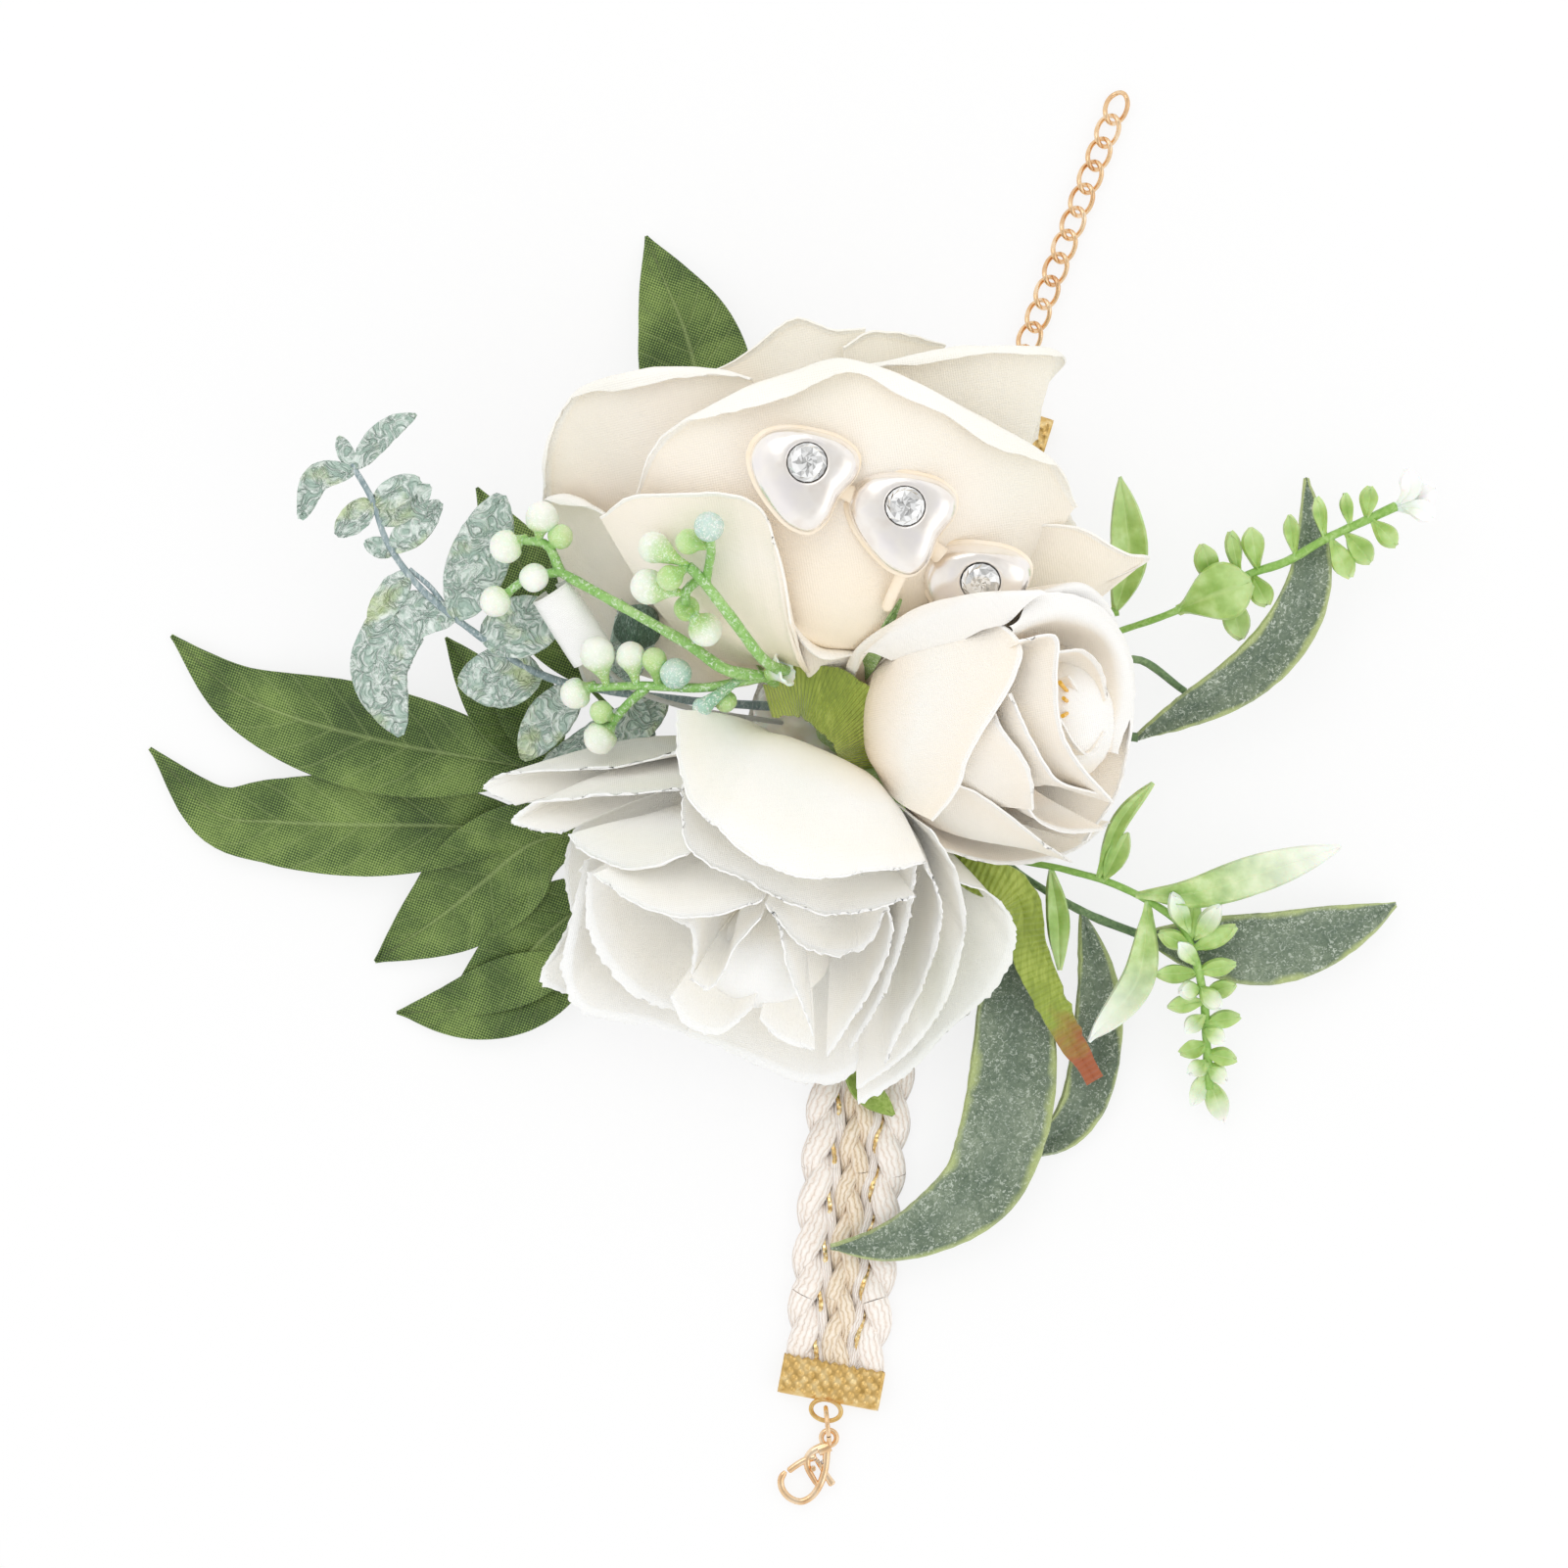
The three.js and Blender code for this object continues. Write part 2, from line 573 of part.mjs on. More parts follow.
function heartShape(grow) {
  const width = HEART.width + 2 * grow;
  const length = HEART.length + 2 * grow;
  const right = HEART_SIDE_SHARES.map(([x, y]) => new THREE.Vector2(x * width, y * length));
  const left = HEART_SIDE_SHARES.slice(1, -1).reverse()
    .map(([x, y]) => new THREE.Vector2(-x * width, y * length));
  return new THREE.Shape([...right, ...left]);
}

function heartMatrix({ centre, turn, tilt }) {
  return new THREE.Matrix4().makeTranslation(place(centre))
    .multiply(new THREE.Matrix4().makeRotationX(radians(tilt)))
    .multiply(new THREE.Matrix4().makeRotationZ(-radians(90 + turn)));
}

function heartSolid(spot, next, grow) {
  const inset = -HEART.bevel;
  const dome = new THREE.ExtrudeGeometry(heartShape(inset), {
    depth: HEART.thick - HEART.bevel + grow, bevelEnabled: true, bevelThickness: HEART.bevel + grow,
    bevelSize: HEART.bevel + grow, bevelSegments: 2,
  });
  const seatRadius = STONE.radius + NEAR_GAP - grow;
  const seat = new THREE.CylinderGeometry(seatRadius, seatRadius, STONE.depth * 2, 12);
  seat.rotateX(Math.PI / 2).translate(0, 0, HEART.thick);
  let solid = solidOf(dome).subtract(solidOf(seat));
  if (next) {
    const inverse = heartMatrix(spot).invert();
    const target = place(next.centre).applyMatrix4(inverse);
    const reach = target.length() - HEART.width / 2 - NEAR_GAP;
    const webSize = [HEART.web + 2 * grow, reach - HEART.width / 4, HEART.webThick + 2 * grow];
    const web = new THREE.BoxGeometry(...webSize);
    web.translate(0, HEART.width / 4 + reach / 2 - HEART.width / 8, HEART.webThick / 2);
    web.rotateZ(Math.atan2(-target.x, target.y));
    solid = solid.add(solidOf(web));
  }
  return solid.transform(heartMatrix(spot).elements);
}

function stoneSolid(spot, grow) {
  const depth = STONE.depth - NEAR_GAP;
  const profile = [
    [0, -depth - grow], [STONE.radius / 2 + grow, -depth - grow], [STONE.radius + grow, -grow],
    [STONE.radius + grow, STONE.proud / 2], [STONE.table + grow, STONE.crown + grow],
    [0, STONE.crown + grow],
  ].map(([x, y]) => new THREE.Vector2(x, y));
  const geometry = new THREE.LatheGeometry(profile, 8);
  geometry.rotateX(Math.PI / 2).translate(0, 0, HEART.thick + NEAR_GAP);
  return solidOf(geometry.applyMatrix4(heartMatrix(spot)));
}

HEART_PIXELS_AND_SHARES.forEach((spot, i) => {
  addSoft(`pearl_heart_${i + 1}`, (grow) => heartSolid(spot, HEART_PIXELS_AND_SHARES[i + 1], grow), white);
  addMesh(corsage, `rhinestone_${i + 1}`, geometryOf(stoneSolid(spot, 0)), finish(0xdfe6ea, 0.1, 0.2));
});

// Roses. Each layer's petals grow from a small core on the rose's axis and end in a lip that curls
// back. A lip is a line of pixels and height shares; lift is the core's place along the axis, swell
// how far a petal bellies out, and curl how wide its lip rolls, all as shares.
const LARGE_ROSE_PIXELS_AND_SHARES = {
  name: "large_rose", root: [850, 690, 0.28], heart: [838, 400, 0.54],
  layers: [
    { name: "bud", lift: 0.42, petals: [
      {
        lip: [
          [775, 372, 0.62], [810, 350, 0.72], [850, 352, 0.74], [880, 362, 0.68],
        ],
        swell: 0.2, curl: 0.5,
      },
      { lip: [[868, 372, 0.66], [900, 362, 0.62], [925, 372, 0.52]], swell: 0.2, curl: 0.5 },
      { lip: [[800, 372, 0.48], [850, 362, 0.44], [900, 372, 0.48]], swell: 0.12, curl: 0.4 },
    ] },
    { name: "inner_petals", lift: 0.28, petals: [
      {
        lip: [
          [722, 382, 0.62], [768, 358, 0.76], [813, 329, 0.78], [850, 338, 0.8], [884, 336, 0.78],
        ],
        swell: 0.22, curl: 0.6,
      },
      {
        lip: [
          [862, 356, 0.84], [890, 342, 0.8], [930, 346, 0.76], [966, 352, 0.66],
        ],
        swell: 0.22, curl: 0.6,
      },
      {
        lip: [
          [735, 385, 0.5], [790, 355, 0.38], [860, 345, 0.34], [930, 362, 0.42],
        ],
        swell: 0.1, curl: 0.6,
      },
    ] },
    { name: "middle_petals", lift: 0.16, petals: [
      {
        lip: [
          [880, 374, 0.9], [950, 361, 0.88], [1020, 356, 0.82], [1078, 363, 0.72], [1066, 400, 0.6],
          [1060, 450, 0.5],
        ],
        swell: 0.2, curl: 0.9,
      },
      {
        lip: [
          [560, 505, 0.4], [564, 458, 0.5], [592, 400, 0.6], [650, 380, 0.74], [712, 375, 0.84],
          [768, 384, 0.9],
        ],
        swell: 0.2, curl: 1,
      },
      {
        lip: [
          [640, 430, 0.36], [710, 385, 0.3], [800, 362, 0.28], [880, 362, 0.28],
        ],
        swell: 0.06, curl: 0.6,
      },
      { lip: [[900, 365, 0.28], [980, 372, 0.3], [1050, 410, 0.42]], swell: 0.06, curl: 0.6 },
    ] },
    { name: "outer_petals", lift: 0.05, petals: [
      {
        lip: [
          [650, 505, 0.76], [672, 456, 0.88], [720, 420, 0.96], [800, 386, 1.02], [872, 372, 1.06],
        ],
        swell: 0.26, curl: 1.3,
      },
      {
        lip: [
          [872, 376, 1.06], [940, 400, 1.04], [1020, 443, 0.94], [1068, 470, 0.82],
          [1100, 520, 0.68],
        ],
        swell: 0.26, curl: 1.3,
      },
      {
        lip: [
          [1060, 536, 0.68], [1102, 542, 0.66], [1150, 566, 0.56], [1172, 571, 0.5],
          [1125, 596, 0.5],
        ],
        swell: 0.2, curl: 0.6,
      },
      {
        lip: [
          [618, 526, 0.72], [642, 512, 0.78], [690, 507, 0.84], [740, 507, 0.9], [776, 516, 0.94],
          [792, 538, 0.94],
        ],
        swell: 0.24, curl: 0.3,
      },
      { lip: [[560, 507, 0.44], [588, 518, 0.52], [618, 530, 0.58]], swell: 0.2, curl: 0.8 },
      { lip: [[803, 612, 0.8], [815, 645, 0.74], [840, 666, 0.68], [882, 668, 0.66]], swell: 0.3, curl: 1 },
      {
        lip: [
          [575, 530, 0.34], [620, 470, 0.26], [700, 420, 0.2], [790, 395, 0.18],
        ],
        swell: 0.06, curl: 0.5,
      },
      {
        lip: [
          [880, 395, 0.18], [980, 420, 0.2], [1060, 480, 0.3], [1100, 540, 0.42],
        ],
        swell: 0.06, curl: 0.5,
      },
    ] },
  ],
};
const WHITE_ROSE_PIXELS_AND_SHARES = {
  name: "white_rose", root: [850, 760, 0.28], heart: [778, 950, 0.66],
  layers: [
    { name: "bud", lift: 0.4, petals: [
      {
        lip: [
          [704, 1000, 0.66], [722, 1010, 0.66], [750, 972, 0.72], [776, 936, 0.78],
        ],
        swell: 0.1, curl: 0.3,
      },
      { lip: [[786, 928, 0.8], [806, 985, 0.72], [832, 1058, 0.56]], swell: 0.1, curl: 0.3 },
      { lip: [[676, 932, 0.76], [705, 950, 0.72], [706, 995, 0.64]], swell: 0.12, curl: 0.3 },
    ] },
    { name: "inner_petals", lift: 0.28, petals: [
      {
        lip: [
          [684, 1018, 0.56], [700, 1045, 0.52], [735, 1054, 0.5], [768, 1030, 0.54],
        ],
        swell: 0.15, curl: 0.5,
      },
      {
        lip: [
          [782, 922, 0.84], [815, 955, 0.78], [850, 972, 0.72], [884, 966, 0.72], [906, 925, 0.78],
        ],
        swell: 0.15, curl: 0.4,
      },
      {
        lip: [
          [606, 892, 0.74], [640, 916, 0.8], [690, 935, 0.84], [740, 930, 0.86], [778, 918, 0.86],
        ],
        swell: 0.2, curl: 0.5,
      },
      { lip: [[775, 1040, 0.48], [800, 1062, 0.44], [832, 1072, 0.42]], swell: 0.12, curl: 0.3 },
    ] },
    { name: "middle_petals", lift: 0.16, petals: [
      {
        lip: [
          [600, 890, 0.6], [600, 940, 0.54], [622, 985, 0.46], [660, 1018, 0.4], [700, 1034, 0.38],
        ],
        swell: 0.2, curl: 0.6,
      },
      {
        lip: [
          [906, 924, 0.8], [912, 950, 0.72], [896, 1000, 0.6], [865, 1050, 0.48], [846, 1078, 0.42],
        ],
        swell: 0.18, curl: 0.4,
      },
      {
        lip: [
          [936, 884, 0.8], [926, 950, 0.66], [900, 1020, 0.5], [870, 1070, 0.38],
        ],
        swell: 0.18, curl: 0.4,
      },
      {
        lip: [
          [696, 800, 0.8], [704, 862, 0.9], [748, 892, 0.92], [792, 914, 0.92], [842, 932, 0.9],
          [890, 928, 0.88], [936, 914, 0.8],
        ],
        swell: 0.22, curl: 0.5,
      },
      {
        lip: [
          [580, 852, 0.6], [600, 872, 0.68], [645, 886, 0.78], [700, 874, 0.86],
        ],
        swell: 0.2, curl: 0.6,
      },
    ] },
    { name: "outer_petals", lift: 0.05, petals: [
      {
        lip: [
          [597, 880, 0.5], [586, 940, 0.42], [578, 1000, 0.34], [596, 1032, 0.3], [648, 1042, 0.28],
          [700, 1056, 0.26],
        ],
        swell: 0.14, curl: 0.8,
      },
      {
        lip: [
          [700, 1056, 0.26], [765, 1082, 0.22], [820, 1103, 0.2], [856, 1100, 0.2],
        ],
        swell: 0.12, curl: 0.8,
      },
      {
        lip: [
          [946, 880, 0.74], [962, 935, 0.6], [945, 1000, 0.46], [918, 1056, 0.34],
          [905, 1086, 0.28],
        ],
        swell: 0.2, curl: 0.4,
      },
      {
        lip: [
          [950, 846, 0.72], [975, 885, 0.6], [986, 935, 0.5], [978, 985, 0.4], [955, 1040, 0.3],
          [915, 1085, 0.24], [875, 1112, 0.2],
        ],
        swell: 0.13, curl: 0.4,
      },
      {
        lip: [
          [692, 724, 0.7], [694, 780, 0.86], [716, 828, 0.98], [748, 858, 1.04], [792, 886, 1.06],
          [838, 894, 1.04], [900, 888, 0.96], [946, 880, 0.84],
        ],
        swell: 0.24, curl: 0.5,
      },
      {
        lip: [
          [700, 806, 0.66], [600, 813, 0.54], [543, 820, 0.46], [523, 837, 0.42], [546, 848, 0.46],
          [578, 851, 0.5],
        ],
        swell: 0.16, curl: 0.3,
      },
      {
        lip: [
          [690, 768, 0.54], [620, 782, 0.46], [550, 788, 0.4], [510, 790, 0.36], [495, 803, 0.34],
          [526, 822, 0.36],
        ],
        swell: 0.16, curl: 0.2,
      },
      {
        lip: [
          [978, 900, 0.44], [1020, 920, 0.36], [1036, 955, 0.32], [1012, 1010, 0.26],
          [960, 1060, 0.2], [920, 1100, 0.16], [878, 1124, 0.15],
        ],
        swell: 0.12, curl: 0.5,
      },
      {
        lip: [
          [588, 930, 0.3], [566, 972, 0.24], [553, 1000, 0.24], [582, 1014, 0.22],
        ],
        swell: 0.12, curl: 0.4,
      },
    ] },
  ],
};
const SMALL_ROSE_PIXELS_AND_SHARES = {
  name: "small_rose", root: [885, 745, 0.34], heart: [1098, 716, 0.7],
  layers: [
    { name: "bud", lift: 0.5, petals: [
      {
        lip: [
          [1082, 735, 0.84], [1096, 762, 0.78], [1116, 772, 0.7], [1130, 748, 0.66],
        ],
        swell: 0.16, curl: 0.3,
      },
      {
        lip: [
          [1080, 664, 0.84], [1106, 662, 0.76], [1126, 684, 0.68], [1132, 715, 0.66],
        ],
        swell: 0.16, curl: 0.3,
      },
      { lip: [[1092, 690, 0.76], [1104, 712, 0.7], [1108, 740, 0.68]], swell: 0.1, curl: 0.2 },
    ] },
    { name: "inner_petals", lift: 0.3, petals: [
      {
        lip: [
          [1040, 655, 0.98], [1076, 650, 0.96], [1076, 696, 0.98], [1084, 748, 0.94],
          [1104, 786, 0.84], [1138, 820, 0.66],
        ],
        swell: 0.2, curl: 0.4,
      },
      { lip: [[1046, 790, 0.9], [1080, 802, 0.8], [1120, 820, 0.66]], swell: 0.2, curl: 0.4 },
      {
        lip: [
          [1040, 640, 0.9], [1090, 628, 0.8], [1136, 652, 0.66], [1150, 710, 0.58],
          [1140, 770, 0.54],
        ],
        swell: 0.2, curl: 0.6,
      },
      {
        lip: [
          [1004, 742, 0.96], [1048, 790, 0.88], [1054, 838, 0.74], [1090, 852, 0.6],
          [1128, 848, 0.52],
        ],
        swell: 0.22, curl: 0.4,
      },
    ] },
    { name: "outer_petals", lift: 0.08, petals: [
      {
        lip: [
          [948, 840, 0.76], [976, 806, 0.86], [986, 774, 0.92], [1014, 726, 0.98], [1036, 676, 1],
          [1006, 664, 0.98], [945, 658, 0.9],
        ],
        swell: 0.24, curl: 0.4,
      },
      {
        lip: [
          [880, 664, 0.66], [905, 640, 0.72], [935, 617, 0.76], [990, 601, 0.78], [1058, 598, 0.76],
        ],
        swell: 0.2, curl: 0.8,
      },
      {
        lip: [
          [1062, 600, 0.74], [1106, 590, 0.66], [1140, 625, 0.56], [1160, 700, 0.48],
          [1156, 755, 0.46], [1138, 805, 0.44],
        ],
        swell: 0.2, curl: 0.8,
      },
      {
        lip: [
          [976, 802, 0.82], [1010, 822, 0.74], [1060, 860, 0.6], [1094, 882, 0.5],
        ],
        swell: 0.24, curl: 0.3,
      },
      {
        lip: [
          [960, 868, 0.5], [1030, 884, 0.38], [1096, 870, 0.34], [1134, 840, 0.34],
        ],
        swell: 0.2, curl: 0.3,
      },
      {
        lip: [
          [1140, 800, 0.3], [1150, 720, 0.24], [1120, 640, 0.3], [1050, 615, 0.4],
        ],
        swell: 0.2, curl: 0.4,
      },
    ] },
  ],
};
const CORE = { bud: 4, root: 2.6 };

const PETAL_COLUMNS = 4;
const PETAL_ROW_SHARES = [0, 0.5, 1];

// A petal as a grid of points, from its root to its lip and round the curl.
function petalGrid(rose, layer, petal) {
  const columns = Math.min(PETAL_COLUMNS, petal.lip.length);
  const root = place(rose.root);
  const axis = place(rose.heart).sub(root);
  const origin = root.clone().addScaledVector(axis, layer.lift);
  axis.normalize();
  const curve = new THREE.CatmullRomCurve3(petal.lip.map(place), false, "centripetal");
  const radius = CLOTH.curl * petal.curl;
  const columnsOf = [];
  for (let j = 0; j < columns; j += 1) {
    const lip = curve.getPoint(j / (columns - 1));
    const aside = lip.clone().sub(origin);
    aside.addScaledVector(axis, -aside.dot(axis)).normalize();
    const start = origin.clone().addScaledVector(aside, CORE.root);
    const grow = lip.clone().sub(start);
    const length = grow.length();
    grow.normalize();
    const out = aside.clone().addScaledVector(grow, -aside.dot(grow)).normalize();
    const lean = Math.PI * SWELL_POWER_SHARE * petal.swell;
    const tip = grow.clone().addScaledVector(out, -lean).normalize();
    const back = out.clone().addScaledVector(grow, lean).normalize();
    const brow = lip.clone().addScaledVector(grow, -radius);
    const column = PETAL_ROW_SHARES.map((share) => start.clone().lerp(brow, share)
      .addScaledVector(out, petal.swell * length * Math.sin(Math.PI * share ** SWELL_POWER_SHARE)));
    for (const turn of CURL_DEGREES.map(radians)) {
      column.push(brow.clone().addScaledVector(tip, radius * Math.sin(turn))
        .addScaledVector(back, radius * (1 - Math.cos(turn))));
    }
    columnsOf.push(column);
  }
  return columnsOf[0].map((_, i) => columnsOf.map((column) => column[i]));
}

function rosePart(rose, layer, grow) {
  const root = place(rose.root);
  const axis = place(rose.heart).sub(root);
  const core = CORE.bud + grow;
  const centre = root.addScaledVector(axis, layer.lift);
  return union([
    ball(centre, [core, core, core], 0, 7, 5),
    ...layer.petals.map((petal) => sheet(petalGrid(rose, layer, petal), CLOTH.petal, grow)),
  ]);
}

// Greenery. A stem is a line of pixels and height shares with its thickness at each end. A leaf is
// its midrib and its width in pixels; berries are pixels, a height share and a radius in pixels.
const STEM = { wood: 1.7, tip: 0.9, stalk: 0.8, green: 1.4 };
const LEAF_POINT_SHARE = 0.14;
const LEAF_BROAD_SHARE = 0.9;
const NARROW_LEAF_PIXELS = 40; // a leaf narrower than this is flat across
const DARK_UPPER_PIXELS_AND_SHARES = {
  stems: [
    [[800, 752, 0.15], [680, 775, 0.12], [560, 788, 0.09]],
    [[680, 775, 0.12], [620, 820, 0.09], [560, 846, 0.06]],
    [[680, 775, 0.12], [640, 740, 0.14], [600, 700, 0.15]],
  ],
  leaves: [
    {
      width: 107,
      rib: [
        [562, 788, 0.09], [489, 775, 0.1], [396, 758, 0.08], [286, 728, 0.04], [236, 704, 0.02],
        [175, 649, 0.008],
      ],
    },
    {
      width: 104,
      rib: [
        [562, 846, 0.06], [442, 843, 0.06], [349, 842, 0.04], [280, 839, 0.02], [224, 832, 0.01],
        [153, 764, 0.008],
      ],
    },
    { width: 62, rib: [[562, 788, 0.09], [500, 710, 0.13], [455, 651, 0.13]] },
    { width: 66, rib: [[562, 788, 0.09], [540, 720, 0.15], [502, 650, 0.14]] },
    { width: 76, rib: [[602, 702, 0.15], [565, 640, 0.17], [522, 560, 0.15], [487, 498, 0.12]] },
  ],
};
const DARK_LOWER_PIXELS_AND_SHARES = {
  stems: [
    [[800, 792, 0.14], [700, 840, 0.1], [600, 852, 0.085]],
    [[700, 840, 0.1], [640, 920, 0.07], [608, 982, 0.05]],
  ],
  leaves: [
    {
      width: 113,
      rib: [
        [602, 852, 0.085], [546, 860, 0.09], [489, 904, 0.05], [455, 932, 0.03], [383, 982, 0.008],
      ],
    },
    { width: 94, rib: [[640, 920, 0.07], [590, 930, 0.07], [520, 990, 0.04], [450, 1040, 0.008]] },
    { width: 80, rib: [[610, 980, 0.05], [540, 1010, 0.04], [470, 1030, 0.02], [405, 1034, 0.008]] },
  ],
};
const DARK_TOP_PIXELS_AND_SHARES = {
  stems: [[[840, 680, 0.15], [780, 590, 0.11], [738, 498, 0.09]]],
  leaves: [
    {
      width: 113,
      rib: [[740, 502, 0.09], [720, 420, 0.08], [700, 340, 0.05], [680, 290, 0.03], [660, 241, 0.008]],
    },
  ],
};
const EUCALYPTUS_PIXELS_AND_SHARES = {
  stems: [
    [
      [800, 722, 0.18], [700, 715, 0.22], [620, 705, 0.27], [553, 689, 0.34], [474, 638, 0.42],
      [428, 599, 0.46], [395, 553, 0.49], [380, 510, 0.5], [359, 474, 0.5],
    ],
    [[461, 628, 0.43], [440, 600, 0.45], [418, 581, 0.46]],
  ],
  leaves: [
    { width: 24, rib: [[362, 478, 0.5], [395, 440, 0.52], [424, 423, 0.5]] },
    { width: 16, rib: [[360, 476, 0.5], [346, 446, 0.48]] },
    { width: 26, rib: [[362, 480, 0.5], [325, 488, 0.47], [307, 530, 0.42]] },
    { width: 28, rib: [[380, 512, 0.5], [344, 546, 0.46]] },
    { width: 30, rib: [[381, 514, 0.5], [429, 490, 0.52]] },
    { width: 30, rib: [[388, 534, 0.49], [440, 497, 0.5]] },
    { width: 32, rib: [[400, 562, 0.48], [450, 513, 0.5]] },
    { width: 20, rib: [[402, 564, 0.48], [373, 553, 0.47]] },
    { width: 30, rib: [[416, 584, 0.47], [377, 640, 0.4]] },
    { width: 60, rib: [[466, 632, 0.43], [490, 570, 0.48], [512, 505, 0.5]] },
    { width: 60, rib: [[464, 630, 0.43], [420, 630, 0.42], [388, 680, 0.34], [409, 751, 0.26]] },
    { width: 60, rib: [[492, 652, 0.4], [533, 640, 0.43], [578, 628, 0.43]] },
    { width: 60, rib: [[552, 689, 0.34], [510, 692, 0.36], [468, 696, 0.34]] },
    { width: 45, rib: [[590, 700, 0.3], [560, 735, 0.3], [533, 775, 0.26]] },
    { width: 48, rib: [[680, 716, 0.23], [610, 762, 0.26], [552, 785, 0.22]] },
    { width: 44, rib: [[630, 706, 0.26], [650, 640, 0.32], [656, 572, 0.32]] },
    { width: 20, rib: [[650, 710, 0.25], [664, 771, 0.22]] },
  ],
};
const BERRY_LEFT_PIXELS_AND_SHARES = {
  stems: [
    [
      [815, 715, 0.18], [800, 704, 0.42], [781, 691, 0.6], [742, 684, 0.66], [703, 658, 0.66],
      [640, 622, 0.62], [570, 583, 0.57],
    ],
    [[781, 691, 0.6], [720, 702, 0.6], [650, 700, 0.55], [598, 703, 0.5]],
    [[660, 702, 0.55], [640, 720, 0.52], [621, 744, 0.48]],
    [[572, 584, 0.57], [540, 590, 0.56], [512, 610, 0.54]],
    [[572, 584, 0.57], [558, 556, 0.58], [530, 552, 0.57]],
  ],
  berries: [
    [553, 529, 0.6, 17], [517, 558, 0.58, 17], [572, 548, 0.6, 13], [545, 590, 0.58, 15],
    [506, 614, 0.55, 16], [610, 668, 0.57, 18], [644, 670, 0.58, 15], [668, 674, 0.6, 13],
    [588, 708, 0.5, 16], [613, 753, 0.48, 17], [614, 727, 0.51, 12],
    [690, 688, 0.62, 16],
  ],
};
const BERRY_RIGHT_PIXELS_AND_SHARES = {
  stems: [
    [
      [832, 690, 0.2], [806, 686, 0.56], [779, 673, 0.78], [750, 635, 0.84], [715, 590, 0.86],
      [703, 578, 0.86],
    ],
    [[720, 597, 0.86], [725, 560, 0.88], [724, 540, 0.88]],
    [[715, 590, 0.86], [700, 605, 0.84], [702, 622, 0.82]],
  ],
  berries: [
    [668, 559, 0.86, 16], [703, 553, 0.88, 13], [662, 599, 0.82, 18], [684, 590, 0.86, 13],
    [724, 538, 0.88, 13],
    [701, 621, 0.8, 13], [720, 643, 0.78, 17],
  ],
};
const WILLOW_UPPER_PIXELS_AND_SHARES = {
  stems: [
    [[925, 738, 0.13], [1060, 742, 0.1], [1162, 753, 0.14]],
    [[1060, 742, 0.1], [1125, 690, 0.11], [1159, 673, 0.12], [1210, 706, 0.1]],
  ],
  leaves: [
    {
      width: 52,
      rib: [
        [1159, 754, 0.14], [1210, 727, 0.18], [1258, 700, 0.2], [1294, 670, 0.22],
        [1321, 634, 0.22], [1336, 595, 0.2], [1339, 550, 0.16], [1334, 488, 0.1],
      ],
    },
  ],
};
const WILLOW_LOWER_PIXELS_AND_SHARES = {
  stems: [
    [[918, 788, 0.14], [990, 850, 0.1], [1044, 894, 0.1], [1108, 932, 0.11], [1168, 956, 0.12]],
    [[990, 850, 0.105], [935, 960, 0.13], [866, 1084, 0.075]],
  ],
  leaves: [
    { width: 28, rib: [[864, 1078, 0.07], [884, 1112, 0.065], [912, 1139, 0.055]] },
    {
      width: 72,
      rib: [
        [1165, 955, 0.12], [1225, 965, 0.13], [1300, 968, 0.11], [1380, 945, 0.07],
        [1425, 923, 0.04],
      ],
    },
    {
      width: 88,
      rib: [
        [1036, 890, 0.1], [1035, 1000, 0.1], [1035, 1080, 0.1], [1025, 1150, 0.095],
        [1000, 1210, 0.085], [950, 1250, 0.08], [900, 1270, 0.075], [848, 1274, 0.07],
      ],
    },
    {
      width: 50,
      rib: [
        [1105, 931, 0.11], [1120, 1000, 0.09], [1120, 1060, 0.06], [1108, 1120, 0.035],
        [1085, 1155, 0.02], [1050, 1172, 0.012], [1018, 1182, 0.01],
      ],
    },
  ],
};
const BOXWOOD_UPPER_PIXELS_AND_SHARES = {
  stems: [
    [
      [928, 712, 0.13], [1060, 672, 0.11], [1147, 643, 0.15], [1198, 625, 0.22], [1276, 586, 0.25],
      [1312, 574, 0.24], [1354, 550, 0.23], [1393, 532, 0.22], [1425, 517, 0.2],
    ],
  ],
  leaves: [
    { width: 57, rib: [[1202, 624, 0.22], [1240, 607, 0.29], [1278, 594, 0.29]] },
    { width: 24, rib: [[1240, 604, 0.24], [1228, 556, 0.29]] },
    { width: 15, rib: [[1266, 591, 0.25], [1256, 543, 0.28]] },
    { width: 22, rib: [[1284, 584, 0.25], [1277, 539, 0.29]] },
    { width: 15, rib: [[1322, 569, 0.24], [1316, 526, 0.27]] },
    { width: 13, rib: [[1352, 551, 0.23], [1344, 508, 0.26]] },
    { width: 13, rib: [[1378, 539, 0.22], [1373, 504, 0.25]] },
    { width: 18, rib: [[1396, 531, 0.22], [1399, 497, 0.24]] },
    { width: 14, rib: [[1420, 519, 0.2], [1458, 516, 0.2]] },
    { width: 20, rib: [[1400, 529, 0.22], [1426, 557, 0.22]] },
    { width: 24, rib: [[1372, 542, 0.22], [1400, 574, 0.22]] },
    { width: 22, rib: [[1358, 548, 0.23], [1378, 590, 0.22]] },
    { width: 22, rib: [[1278, 586, 0.25], [1294, 618, 0.24]] },
    { width: 26, rib: [[1252, 598, 0.24], [1268, 653, 0.22]] },
    { width: 28, rib: [[1422, 519, 0.2], [1466, 499, 0.22]] },
  ],
};
const BUD_LEAF_PIXELS_AND_SHARES = {
  stems: [[[925, 690, 0.12], [1050, 642, 0.1], [1142, 624, 0.14]]],
  leaves: [{ width: 36, rib: [[1139, 626, 0.14], [1152, 575, 0.2], [1150, 530, 0.22], [1144, 487, 0.2]] }],
};
